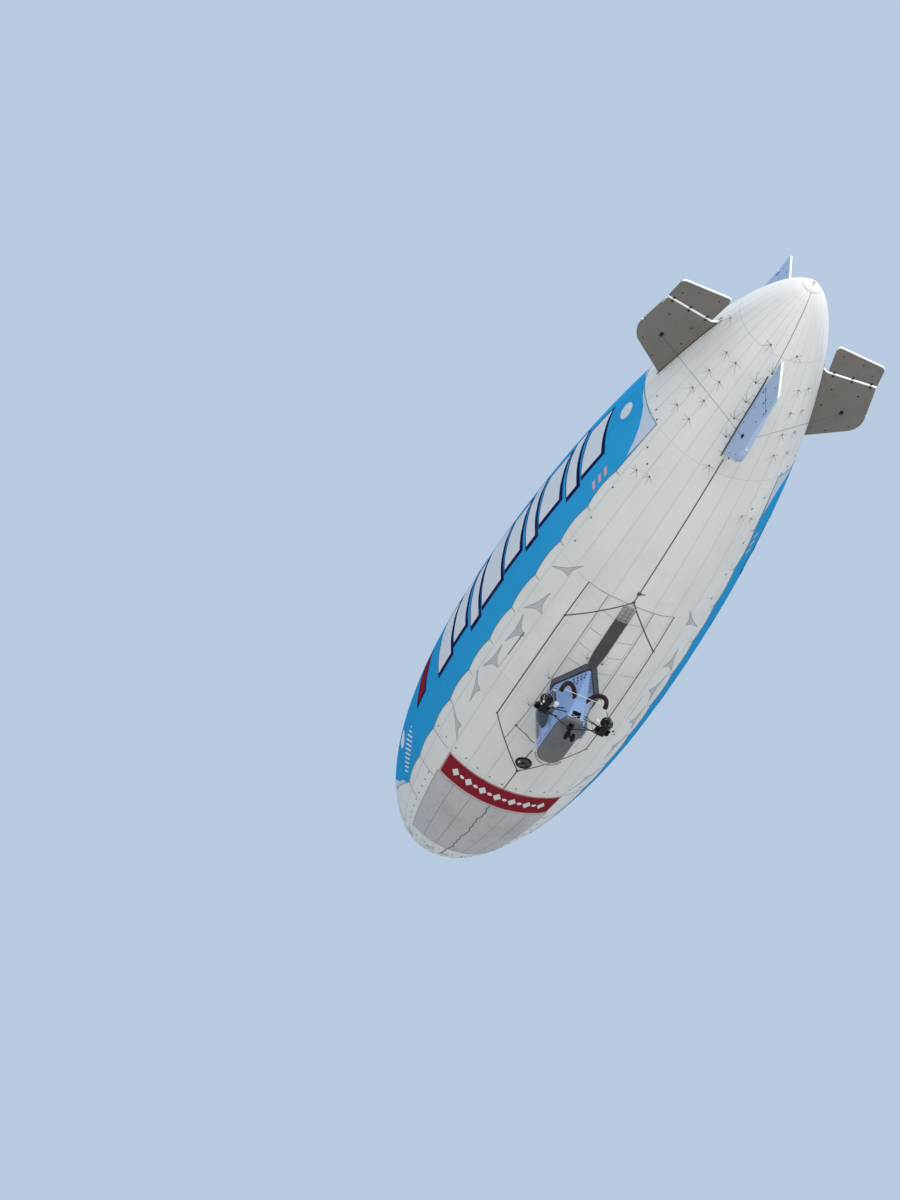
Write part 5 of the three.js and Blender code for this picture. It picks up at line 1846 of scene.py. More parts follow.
@dataclass(frozen=True)
class PodForm:
    """Outer form of the gondola, lofted between plan outlines."""

    pan_z: float = -7.20
    floor_z: float = -7.14
    ceiling_z: float = -5.06
    pan_half: float = 0.58
    flare: float = 0.175
    bow_x: float = 1.3
    quarter_x: float = -0.35
    bulkhead_x: float = -0.5
    joint_x: float = 1.33
    bow_power: float = 2.5
    # Columns: height, bow tip, stern tip, stern half width
    levels: Sequence[tuple[float, float, float, float]] = (
        (-7.24, 2.06, -0.87, 0.35), (-7.20, 2.13, -0.95, 0.38), (-6.90, 2.26, -1.12, 0.33),
        (-6.40, 2.38, -1.37, 0.24), (-5.70, 2.40, -1.70, 0.13), (-5.20, 2.30, -1.90, 0.07),
        (-4.75, 2.12, -2.08, 0.03))

    def level(self, z: np.ndarray | float) -> tuple[np.ndarray, np.ndarray, np.ndarray]:
        """Gives the bow tip, the stern tip and the stern's half width.

        Args:
            z: one or more heights.

        Returns:
            The three measures, each smoothed a little between the levels.
        """
        heights, *columns = zip(*self.levels)
        near = [np.mean([np.interp(z + d, heights, column) for d in (-0.06, -0.03, 0.0, 0.03, 0.06)], axis=0)
                for column in columns]
        return tuple(near)

    def stern(self, z: float) -> float:
        """Gives the station of the stern at a height."""
        return float(self.level(z)[1])

    def half(self, z: np.ndarray) -> np.ndarray:
        """Gives half the width between the side walls at heights z."""
        return self.pan_half + (z - self.pan_z) * self.flare

    def wall(self, x: np.ndarray, z: np.ndarray, skin: float = 0.0) -> np.ndarray:
        """Gives points of the port side abaft the bow.

        Args:
            x: stations.
            z: heights.
            skin: how far inside the outer face.

        Returns:
            The points.
        """
        x, z = np.broadcast_arrays(np.asarray(x, float), np.asarray(z, float))
        _, stern, tip = self.level(z)
        behind = np.clip((self.quarter_x - x) / (self.quarter_x - stern), 0, 1)
        half = self.half(z)
        return np.stack([x, half + (tip - half) * behind - skin, z], axis=-1)

    def bow(self, s: np.ndarray, z: np.ndarray, skin: float = 0.0) -> np.ndarray:
        """Gives points of the bow.

        Args:
            s: -1 at the starboard side wall, 0 at the tip, 1 at the port side wall.
            z: heights.
            skin: how far inside the outer face.

        Returns:
            The points.
        """
        s, z = np.broadcast_arrays(np.asarray(s, float), np.asarray(z, float))
        turn = np.abs(s) * math.pi / 2
        x = self.bow_x + (self.level(z)[0] - skin - self.bow_x) * np.cos(turn) ** (2 / self.bow_power)
        y = np.sign(s) * (self.half(z) - skin) * np.sin(turn) ** (2 / self.bow_power)
        return np.stack([x, y, z], axis=-1)

    def outline(self, z: float, skin: float = 0.0) -> np.ndarray:
        """Gives the whole plan outline at a height, from the stern round by port.

        Args:
            z: the height.
            skin: how far inside the outer face.

        Returns:
            The points.
        """
        side = self.wall(np.linspace(self.stern(z) + skin, self.quarter_x, 12), z, skin)
        ahead = self.wall(np.linspace(self.quarter_x, self.bow_x, 9)[1:-1], z, skin)
        bow = self.bow(np.linspace(1, -1, 49), z, skin)
        port = np.concatenate([side, ahead])
        return np.concatenate([port, bow, (port * (1, -1, 1))[::-1]])


POD = PodForm()


@dataclass(frozen=True)
class Opening:
    """A round-cornered opening in the port wall, in metres along X and up the wall."""

    low: HullPoint
    high: HullPoint
    radius: float
    bulge: float = 0.0

    def outline(self, grow: float = 0.0) -> list[HullPoint]:
        """Gives the outline, grown or, below zero, shrunk.

        Args:
            grow: margin added all round.

        Returns:
            The outline.
        """
        return rounded((self.low[0] - grow, self.low[1] - grow), (self.high[0] + grow, self.high[1] + grow),
                       self.radius + grow)


@dataclass
class GondolaShell:
    """The gondola's pan, bow, side walls, doors, windows, fairing, roof band and skirt."""

    wall: float = 0.04
    tilt: float = math.atan(0.175)
    door_hole: Opening = Opening((0.320, 0.190), (1.257, 1.990), 0.09)
    door_gap: float = 0.003
    door_pane: Opening = Opening((0.380, 0.760), (1.197, 1.930), 0.32, 0.38)
    rear_pane: Opening = Opening((-0.400, 0.880), (0.220, 1.780), 0.16, 0.04)
    pane_thick: float = 0.008
    pane_sunk: float = 0.028
    screen_reach: float = 0.953
    screen_low: float = -6.55
    screen_high: float = -5.25
    screen_round: HullPoint = (0.11, 0.16)
    screen_bars: Sequence[float] = (-0.34, 0.34)
    bay_half: float = 0.19
    bay_low: float = -7.12
    bay_high: float = -6.86
    bay_front: float = -0.76
    hinges: Sequence[float] = (0.42, 1.70)
    knuckle_long: float = 0.06
    handle_x: float = 0.365
    vent_pitch: float = 0.06
    skirt_z: float = -5.03
    duct_front: float = -2.2
    duct_joint: float = -5.2
    hoop_pitch: float = 0.46

    def on_wall(self, u: np.ndarray | float, v: np.ndarray | float,
                n: np.ndarray | float = 0.0) -> np.ndarray:
        """Gives points beside the port wall's plane.

        Args:
            u: distances along X.
            v: distances up the wall from the pan.
            n: distances outwards from the wall's face.

        Returns:
            The points.
        """
        u, v, n = np.broadcast_arrays(*(np.asarray(part, float) for part in (u, v, n)))
        cos, sin = math.cos(self.tilt), math.sin(self.tilt)
        return np.stack([u, POD.pan_half + n * cos + v * sin, POD.pan_z - n * sin + v * cos], axis=-1)

    @property
    def outward(self) -> Point:
        """Direction straight out of the port wall."""
        return (0.0, math.cos(self.tilt), -math.sin(self.tilt))

    def in_height(self, outline: Sequence[HullPoint]) -> list[HullPoint]:
        """Gives an outline with heights in place of distances up the wall."""
        return [(u, POD.pan_z + v * math.cos(self.tilt)) for u, v in outline]

    def pan(self) -> None:
        """Builds the pan with its rounded keel edge, rim and tie rings."""
        # Columns: height, how far inside the outline
        levels = ((-7.235, 0.10), (-7.24, 0.085), (-7.238, 0.06), (-7.228, 0.03), (-7.212, 0.008),
                  (-7.195, 0.0), (-7.16, 0.0), (POD.floor_z, 0.0))
        made, rings, rim = Bundle(8), Bundle(8), Bundle(8)
        made.grid(np.array([POD.outline(z, skin) for z, skin in levels]), wrap=True, capped=True)
        made.make("pan_shell", PAN_PAINT, replaces=["gondola_floor"])
        for x, y in ((1.75, 0.0), (1.2, 0.42), (1.2, -0.42), (0.0, 0.46), (0.0, -0.46)):
            rings.lathe([(0, 0.03), (0.006, 0.03), (0.008, 0.02), (0.008, 0.0)], (x, y, -7.238),
                        (0, 0, -1), 16)
        rings.make("pan_tie_rings", PAN_PAINT)
        rim.ring(list(POD.outline(-7.150, -0.004)), 0.010)
        rim.make("pan_rim", SEAL_RUBBER)

    def bow_shell(self) -> None:
        """Builds the bow, the windscreen and its seal."""
        turn = 1 - 2 / math.pi * math.asin((0.03 / 1.05) ** (POD.bow_power / 2))
        outline = [(-turn, POD.floor_z), (turn, POD.floor_z), (turn, POD.ceiling_z), (-turn, POD.ceiling_z)]
        hole = rounded((-self.screen_reach, self.screen_low), (self.screen_reach, self.screen_high),
                       self.screen_round)
        cell = (0.05, 0.12)
        made, glass, seal = Sheet(self.wall), Sheet(self.pane_thick), Bundle(8)
        made.panel([outline, hole], cell, POD.bow)
        made.make("bow_shell", SHELL_SKYLIT_BLUE, replaces=["gondola_bow"])
        glass.panel([inset(hole, 0.002)], cell, lambda s, z: POD.bow(s, z, 0.012))
        glass.make("windscreen_pane", GLASS, replaces=["windscreen"])
        seal.ring(list(POD.bow(*np.array(hole).T, -0.002)), 0.013)
        for s in self.screen_bars:
            zs = np.linspace(self.screen_low, self.screen_high, 20)
            seal.tube(POD.bow(np.full(20, s), zs, 0.006), 0.012)
        seal.make("windscreen_seal", SEAL_RUBBER)

    def side_wall(self, side: Side) -> None:
        """Builds one side wall with its window, seals, hinge leaves and vents.

        Args:
            side: which side.
        """
        door = self.in_height(self.door_hole.outline(self.door_gap))
        window = self.in_height(self.rear_pane.outline())
        outer = [(POD.bulkhead_x, POD.floor_z), (POD.joint_x, POD.floor_z), (POD.joint_x, POD.ceiling_z),
                 (POD.bulkhead_x, POD.ceiling_z)]
        made, trim, vents = Sheet(self.wall), Bundle(8), Bundle()
        made.panel([outer, door, window], (0.15, 0.15), POD.wall, flip=True)
        made.make("side_wall_{}", SHELL_SKYLIT_BLUE, replaces=["gondola_side_{}"], side=side)
        trim.ring(list(POD.wall(*np.array(window).T, -0.002)), 0.010)
        for x in (POD.joint_x, POD.bulkhead_x):
            zs = np.linspace(POD.floor_z, POD.ceiling_z, 16)
            trim.tube(POD.wall(np.full(16, x), zs, 0.001), 0.005)
        trim.make("side_seals_{}", SEAL_RUBBER, side=side)
        self.hinge(1.0).make("door_hinge_leaves_{}", STEEL, side=side, bevel=0.0015)
        self.pane("rear_window_{}", self.rear_pane, side, HULL)
        for i in range(5):
            foot = self.on_wall(-0.12 + i * self.vent_pitch, 2.05)
            vents.lathe([(-0.004, 0.016), (0.003, 0.016), (0.004, 0.0)], foot, self.outward, 12)
        vents.make("wall_vents_{}", BLACK_FITTING, side=side)

    def hinge(self, ahead: float) -> Bundle:
        """Builds the hinge halves of the wall (1) or of the door (-1), for port.

        Args:
            ahead: 1 for the wall's halves, -1 for the door's.

        Returns:
            The shapes.
        """
        made = Bundle(14)
        u, gap = self.door_hole.high[0], 0.0005
        for v in self.hinges:
            low = v if ahead > 0 else v - self.knuckle_long - gap
            high = low + self.knuckle_long
            made.tube(self.on_wall([u, u], [low, high], 0.011), 0.008)
            near, far = u + ahead * 0.006, u + ahead * 0.045
            corners = [(near, low + 0.002), (far, low + 0.002), (far, high - 0.002), (near, high - 0.002)]
            made.prism(*([self.on_wall(a, b, n) for a, b in corners] for n in (-0.008, 0.008)))
            for v_bolt in (low + 0.016, low + 0.044):
                made.bolt(self.on_wall(u + ahead * 0.03, v_bolt, 0.008), self.outward, 0.006, 0.003, 0.004, 8)
        return made

    def pane(self, node: str, hole: Opening, side: Side, body: str) -> None:
        """Builds a blown window.

        Args:
            node: the CAD node it stands for.
            hole: its opening.
            side: which side.
            body: the body it rides on.
        """
        outline = np.array(hole.outline(-0.001))
        middle = (np.array(hole.low) + np.array(hole.high)) / 2
        rim, thick = -self.pane_sunk, self.pane_thick
        shrink = 1 - thick / ((hole.high[0] - hole.low[0]) / 2)
        shares = (*np.cos(np.linspace(0, math.pi / 2, 16))[:-1], 0.015)
        outer, inner = ([self.on_wall(*(middle + (outline - middle) * s * scale).T,
                                      rim + (top - rim) * math.sqrt(1 - s * s)) for s in shares]
                        for scale, top in ((1.0, hole.bulge), (shrink, hole.bulge - thick)))
        made = Bundle()
        made.grid(np.array(inner[::-1] + outer), wrap=True, capped=True)
        made.make(f"{node}_pane", GLASS, replaces=[node], side=side, body=body, smooth=60)

    def door(self, side: Side) -> None:
        """Builds one door with its window, rim, handle and hinge halves.

        Args:
            side: which side.
        """
        body = f"door_{side.word}"
        window = self.door_pane.outline()
        made, trim, handle = Sheet(self.wall), Bundle(8), self.hinge(-1.0)
        made.panel([self.door_hole.outline(-self.door_gap), window], (0.2, 0.2), self.on_wall, flip=True)
        made.make(f"{body}_panel", SHELL_SKYLIT_BLUE, replaces=[body], side=side, body=body)
        trim.ring(list(self.on_wall(*np.array(window).T, 0.002)), 0.014)
        trim.ring(list(self.on_wall(*np.array(self.door_hole.outline(-0.022)).T, 0.001)), 0.005)
        trim.make(f"{body}_seal", SEAL_RUBBER, side=side, body=body)
        grip = [self.on_wall(self.handle_x, v, n) for v, n in (
            (0.62, -0.002), (0.62, 0.035), (0.70, 0.042), (0.78, 0.035), (0.78, -0.002))]
        handle.tube(curve_through(grip), 0.009)
        handle.bolt(self.on_wall(self.handle_x, 0.53), self.outward, 0.02, 0.004, 0.006, 16)
        handle.make(f"{body}_handle", STEEL, side=side, body=body)
        self.pane("door_window_{}", self.door_pane, side, body)

    def fairing(self) -> None:
        """Builds the closed rear fairing, open at its bay."""
        made = Sheet()
        zs = np.linspace(POD.floor_z, FORM.belly(-1.2) + 0.25, 26)
        stern = POD.level(zs)[1]
        xs = POD.bulkhead_x + (stern[:, None] - POD.bulkhead_x) * np.linspace(0, 1, 12)[None, :]
        side = POD.wall(xs, np.broadcast_to(zs[:, None], xs.shape))
        made.grid(side)
        made.grid((side * (1, -1, 1))[:, ::-1])

        def across(share: np.ndarray, z: np.ndarray) -> np.ndarray:
            """Bends the stern's flat pattern, whose width runs from -1 to 1."""
            _, stern_x, tip_y = POD.level(z)
            return np.stack([stern_x, share * tip_y, z], axis=-1)

        outer = [(-1, float(z)) for z in zs] + [(1, float(z)) for z in zs[::-1]]
        bay = [(y * self.bay_half / float(POD.level(z)[2]), z) for y, z in (
            (-1, self.bay_low), (1, self.bay_low), (1, self.bay_high), (-1, self.bay_high))]
        made.panel([outer, bay], (0.25, 0.2), across)
        for edge in (side[0], side[:, 0]):
            made.add(np.concatenate([edge, (edge * (1, -1, 1))[::-1]]), [tuple(range(2 * len(edge)))])
        made.make("fairing_shell", SHELL_SKYLIT_BLUE, replaces=["rear_fairing"])

    def bay(self) -> None:
        """Lines the rear bay and puts its equipment and cross tubes in."""
        lining, gear, cross = Sheet(), Bundle(8), Bundle(10)
        low, high, front = self.bay_low, self.bay_high, self.bay_front
        ends = ((POD.stern(low), POD.stern(high)), (front, front))
        mouth, back = ([(x0, -self.bay_half, low), (x0, self.bay_half, low), (x1, self.bay_half, high),
                        (x1, -self.bay_half, high)] for x0, x1 in ends)
        lining.prism(mouth, back, open_foot=True)
        lining.make("bay_lining", BLACK_FITTING)
        gear.box((front - 0.14, -0.13, low + 0.01), (front - 0.02, 0.02, low + 0.17))
        gear.box((front - 0.11, 0.05, low + 0.01), (front - 0.02, 0.15, low + 0.12))
        gear.make("bay_equipment", ENGINE_METAL, bevel=0.006)
        for way in (self.bay_half, -self.bay_half):
            cross.tube([(front - 0.19, -way, high - 0.02), (front - 0.19, way, low + 0.03)], 0.012)
        cross.make("bay_cross_tubes", WHITE_METAL)

    def breathers(self) -> None:
        """Puts the rows of breather holes in the fairing's sides."""
        holes = Bundle()
        # Columns: height, distance of the first from the stern, pitch, number
        for z, first, pitch, count in ((-5.25, 0.07, 0.185, 4), (-5.41, 0.055, 0.16, 5),
                                       (-5.56, 0.36, 0.17, 2)):
            for i in range(count):
                x = POD.stern(z) + first + i * pitch
                foot, ahead = POD.wall(x, z), POD.wall(x + 0.02, z)
                way = (ahead - foot) / np.linalg.norm(ahead - foot)
                holes.lathe([(-0.012, 0.05), (0.004, 0.05), (0.006, 0.045), (0.002, 0.04), (0.002, 0.0)],
                            foot, (-way[1], way[0], -0.17), 18)
        holes.twin()
        holes.make("breather_holes", BLACK_FITTING)

    def roof(self) -> None:
        """Builds the roof band between the windows and the hull."""
        made = Bundle()
        rings = [POD.outline(z) for z in (POD.ceiling_z, -4.98, -4.90, -4.80, -4.70)]
        made.grid(np.array([ring[ring[:, 0] >= POD.quarter_x - 1e-6] for ring in rings]), wrap=True,
                  capped=True)
        made.make("roof_shell", SHELL_SKYLIT_BLUE, replaces=["gondola_roof"])

    def skirt_path(self) -> tuple[np.ndarray, np.ndarray, np.ndarray]:
        """Gives the skirt's lower edge, round the stern from port to starboard.

        Returns:
            Its points, the directions outwards and the length so far.
        """
        z = self.skirt_z
        ring = POD.outline(z, -0.008)
        port = ring[(ring[:, 0] <= 0.15) & (ring[:, 1] > 0)]
        starboard = ring[(ring[:, 0] <= 0.9) & (ring[:, 1] < 0)]
        tail = np.array([[POD.stern(z) - 0.012, y, z] for y in (0.05, 0.0, -0.05)])
        fine = curve_through(np.concatenate([port[::-1], tail, starboard[::-1]]), 3)
        way = np.gradient(fine, axis=0)
        out = np.stack([way[:, 1], -way[:, 0], np.zeros(len(way))], axis=-1)
        out /= np.linalg.norm(out, axis=1, keepdims=True)
        out[out[:, 1] * fine[:, 1] < 0] *= (1, -1, 1)
        out = np.where((np.abs(fine[:, 1:2]) < 0.08), (-1.0, 0.0, 0.0), out)
        return fine, out, np.cumsum(np.linalg.norm(way, axis=1))

    def skirt(self) -> None:
        """Builds the cloth skirt between the fairing and the hull, with its hem and trim."""
        fine, out, length = self.skirt_path()
        rows = []
        for share in np.linspace(0, 1, 12):
            flare = np.where(fine[:, 1] < 0, np.interp(fine[:, 0], (-1.9, 0.2, 0.9), (0.22, 0.19, 0.012)),
                             np.interp(fine[:, 0], (-1.9, -0.35, 0.15), (0.22, 0.125, 0.02)))
            spread = flare * share ** 1.8 + 0.006 * math.sin(share * math.pi) * np.sin(length * 26)
            spot = fine + out * spread[:, None]
            hull_z = -np.sqrt(np.maximum(FORM.radius_at(spot[:, 0]) ** 2 - spot[:, 1] ** 2, 1.0)) - 0.006
            rise = 0.12 * share + 0.88 * math.sin(share * math.pi / 2)
            spot[:, 2] = self.skirt_z + (hull_z - self.skirt_z) * rise
            rows.append(spot)
        made, hem, trim = Bundle(thickness=0.004), Bundle(8), Bundle(12)
        made.grid(np.array(rows))
        made.make("skirt_cloth", SKIRT_CLOTH, replaces=["gondola_skirt"])
        hem.tube(rows[-1] - (0, 0, 0.004), 0.009)
        hem.make("skirt_hem", SEAL_RUBBER)
        trim.tube(rows[0] - (0, 0, 0.02), 0.042)
        trim.make("skirt_trim", NAVY_TRIM)

    def duct_narrow(self, x: float) -> float:
        """Gives the duct's width at a station, as a share of its full width."""
        return 1 - 0.22 * max(0.0, (x + 2.9) / 0.7)

    def duct(self) -> None:
        """Builds the cloth duct along the keel line with its hoops and end grille."""
        joint = 75
        port = [(0.29, 0.20), (0.29, -0.03), (0.285, -0.055), (0.265, -0.085), (0.235, -0.12), (0.20, -0.138)]
        middle = [(y, -0.14) for y in (0.12, 0.04, -0.04, -0.12)]
        section = port + middle + [(-y, z) for y, z in port[::-1]]
        rows = []
        for x in np.linspace(self.duct_front, -5.9, 96):
            slack = 0.016 * abs(math.sin((x - self.duct_front) * math.pi / self.hoop_pitch))
            slack = slack if x > self.duct_joint else 0.0
            narrow, belly = self.duct_narrow(x), FORM.belly(x)
            rows.append([(x, y * narrow * (1 - slack), belly + z + (slack if z < 0 else 0))
                         for y, z in section])
        made, grille, bars = Bundle(), Bundle(), Bundle(8)
        made.grid(np.array(rows)[:joint])
        made.make("duct_cloth", DUCT_CLOTH, replaces=["belly_duct"], smooth=60)
        grille.grid(np.array(rows)[joint - 1:])
        grille.add(np.array(rows[-1]), [tuple(range(len(section)))])
        grille.make("duct_end", DUCT_MESH, smooth=60)
        for x in [-2.66 - self.hoop_pitch * i for i in range(6)] + [-5.18, -5.42, -5.66, -5.89]:
            narrow, belly = self.duct_narrow(x), FORM.belly(x)
            bars.tube([(x, y * narrow, belly + z - 0.001) for y, z in section[1:-1]], 0.006)
        for y in (-0.1, 0.1):
            bars.tube([(x, y, FORM.belly(x) - 0.143) for x in np.linspace(self.duct_joint, -5.89, 6)], 0.008)
        bars.make("duct_hoops", DUCT_CLOTH)

    def build(self) -> None:
        """Builds the whole shell."""
        self.pan()
        self.bow_shell()
        for side in Side:
            self.side_wall(side)
            self.door(side)
        for step in (self.fairing, self.bay, self.breathers, self.roof, self.skirt, self.duct):
            step()


@dataclass
class Cabin:
    """Seats, instrument console and the handrails round the pan."""

    seat_x: float = 0.72
    seat_ends: HullPoint = (0.07, 0.50)
    bench_x: float = -0.37
    bench_half: float = 0.54
    rail_z: float = -7.19
    rail_offset: float = 0.16
    rail_radius: float = 0.017
    foot_radius: float = 0.012
    clamp: HullPoint = (0.014, 0.024)
    bow_turn: float = 1.05

    def cushion(self, made: Bundle, low: Point, high: Point, crown: float, lean: float = 0.0) -> None:
        """Adds a crowned cushion whose sides pull in between its corners.

        Args:
            made: takes the cushion.
            low: its lowest corner.
            high: its highest corner.
            crown: how far its faces swell.
            lean: how far its top moves aft for each metre of height.
        """
        middle = (np.array(low) + np.array(high)) / 2
        half = (np.array(high) - np.array(low)) / 2
        around = np.linspace(0, math.tau, 33)[:-1]

        def power(value: np.ndarray, e: float) -> np.ndarray:
            """Raises to a power and keeps the sign."""
            return np.sign(value) * np.abs(value) ** e

        rows = []
        for v in np.linspace(-math.pi / 2, math.pi / 2, 17):
            ring = np.stack([power(np.cos(v), 0.35) * power(np.cos(around), 0.3),
                             power(np.cos(v), 0.35) * power(np.sin(around), 0.3),
                             np.full(32, power(np.sin(v), 0.35))], axis=-1)
            ring[:, 2] *= 1 + crown * (1 - ring[:, 0] ** 2) * (1 - ring[:, 1] ** 2)
            pull = 1 - 0.05 * (1 - ring[:, 2] ** 2) * (1 - np.abs(ring[:, 0] * ring[:, 1]))
            ring[:, :2] *= pull[:, None]
            spot = middle + ring * half
            spot[:, 0] -= lean * (spot[:, 2] - low[2])
            rows.append(spot)
        made.grid(np.array(rows), wrap=True, capped=True)

    def seat(self, name: str, node: str, x: float, y0: float, y1: float) -> None:
        """Builds a padded seat on its base.

        Args:
            name: the pad's name.
            node: the CAD node it stands for.
            x: station of its rear.
            y0: its starboard edge.
            y1: its port edge.
        """
        z = POD.floor_z
        pad, base = Bundle(), Bundle()
        seats = 1 if y1 - y0 < 0.6 else 2
        for i in range(seats):
            a, b = y0 + (y1 - y0) * i / seats + 0.004, y0 + (y1 - y0) * (i + 1) / seats - 0.004
            self.cushion(pad, (x + 0.02, a, z + 0.33), (x + 0.47, b, z + 0.44), 0.12)
            self.cushion(pad, (x - 0.01, a, z + 0.42), (x + 0.10, b, z + 0.98), 0.02, 0.14)
        piece = pad.make(f"{name}_pads", SEAT_CLOTH, replaces=[node], smooth=60)
        base.box((x + 0.01, y0 + 0.02, z + 0.002), (x + 0.43, y1 - 0.02, z + 0.325))
        base.make(f"{name}_base", BLACK_FITTING, bevel=0.015)

    def console(self) -> None:
        """Builds the instrument console with blank dials and two levers."""
        z, half, face_x, lever_x = POD.floor_z, 0.33, 1.56, 1.60
        profile = [(face_x, 0.002), (1.80, 0.002), (1.80, 0.56), (1.64, 0.70), (face_x, 0.64)]
        case, dials, levers = Bundle(), Bundle(), Bundle(10)
        case.prism(*([(x, y, z + h) for x, h in profile] for y in (-half, half)))
        case.make("console_case", BLACK_FITTING, replaces=["instrument_console"], bevel=0.012)
        for h in (0.36, 0.48):
            for y in (-0.22, -0.11, 0.0, 0.11, 0.22):
                dials.lathe([(0, 0.04), (0.008, 0.04), (0.010, 0.034), (0.006, 0.03), (0.006, 0.0)],
                            (face_x, y, z + h), (-1, 0, 0), 20)
        dials.make("console_dials", DIAL_FACE)
        for y in (-0.05, 0.05):
            levers.tube([(lever_x + 0.02, y, z + 0.66), (lever_x, y, z + 0.80)], 0.008)
            levers.lathe([(0, 0.0), (0.004, 0.018), (0.02, 0.022), (0.036, 0.018), (0.04, 0.0)],
                         (lever_x, y, z + 0.79), (0, 0, 1), 14)
        levers.make("console_levers", STEEL)

    def bow_point(self, angle: float, inward: float = 0.0) -> Point:
        """Gives a point of the bow rail, or inside it.

        Args:
            angle: radians from straight ahead, positive to port.
            inward: how far inside the rail.

        Returns:
            The point.
        """
        half = (POD.pan_half + self.rail_offset) * 0.94
        reach = 2.13 - POD.bow_x + self.rail_offset
        return (POD.bow_x + (reach - inward) * math.cos(angle), (half - inward) * math.sin(angle),
                self.rail_z)

    def bow_rail(self) -> None:
        """Builds the rail round the bow on its standoffs, with thin dark cords along both sides for painted
        shade.
        """
        rail, clamps = Bundle(14), Bundle(12)
        end = self.bow_turn
        rail.tube([self.bow_point(a) for a in np.linspace(-end, end, 41)], self.rail_radius)
        for angle in (-0.85, -0.3, 0.3, 0.85):
            at = self.bow_point(angle)
            rail.tube([at, self.bow_point(angle, 0.2)], self.foot_radius)
            out = Vector(at) - Vector(self.bow_point(angle, 0.1))
            self.add_clamp(clamps, at, out.cross(Vector((0, 0, 1))))
        for angle in (-end, end):
            at = self.bow_point(angle)
            clamps.disc(at, Vector(at) - Vector(self.bow_point(angle * 0.97)), -0.02, 0.02, 0.021, 16)
        # Two thin dark cords along both sides of the rail stand for its shadow and dark edges: painted shade.
        for inward in (-0.027, 0.027):
            clamps.tube([self.bow_point(a, inward) for a in np.linspace(-1.03, 1.03, 41)], 0.010)
        rail.make("bow_rail", WHITE_METAL, replaces=["handrail_bow"])
        clamps.make("bow_rail_clamps", BLACK_FITTING)

    def add_clamp(self, made: Bundle, at: Point, axis: Point) -> None:
        """Adds a clamp round a rail.

        Args:
            made: takes the clamp.
            at: its middle.
            axis: the rail's direction.
        """
        half, radius = self.clamp
        made.lathe([(-half, radius), (half, radius)], at, axis, 16)

    def side_rail(self, side: Side) -> None:
        """Builds the rail along one side on its standoffs.

        Args:
            side: which side.
        """
        rail, clamps = Bundle(14), Bundle(12)
        y, z, ends = POD.pan_half + self.rail_offset, self.rail_z, (-0.09, 1.22)
        rail.tube([(x, y, z) for x in np.linspace(*ends, 12)], self.rail_radius)
        for x in (0.06, 0.56, 1.06):
            rail.tube([(x, y, z), (x, POD.pan_half - 0.01, z)], self.foot_radius)
            self.add_clamp(clamps, (x, y, z), (1, 0, 0))
            clamps.lathe([(0, 0.03), (0.006, 0.03)], (x, POD.pan_half, z), (0, 1, 0), 16)
        for x in ends:
            clamps.lathe([(-0.015, 0.021), (0.015, 0.021)], (x, y, z), (1, 0, 0), 16)
        # On port the rail takes the shell's blue of painted skylight.
        rail.make("side_rail_{}", SHELL_SKYLIT_BLUE if side is Side.PORT else WHITE_METAL,
                  replaces=["handrail_{}"], side=side)
        clamps.make("side_rail_clamps_{}", BLACK_FITTING, side=side)

    def build(self) -> None:
        """Builds the cabin's fittings and the handrails."""
        for side in Side:
            ends = sorted(side.value * end for end in self.seat_ends)
            self.seat(f"seat_{side.word}", f"seat_front_{side.word}", self.seat_x, *ends)
        self.seat("bench", "seat_bench", self.bench_x, -self.bench_half, self.bench_half)
        self.console()
        self.bow_rail()
        for side in Side:
            self.side_rail(side)


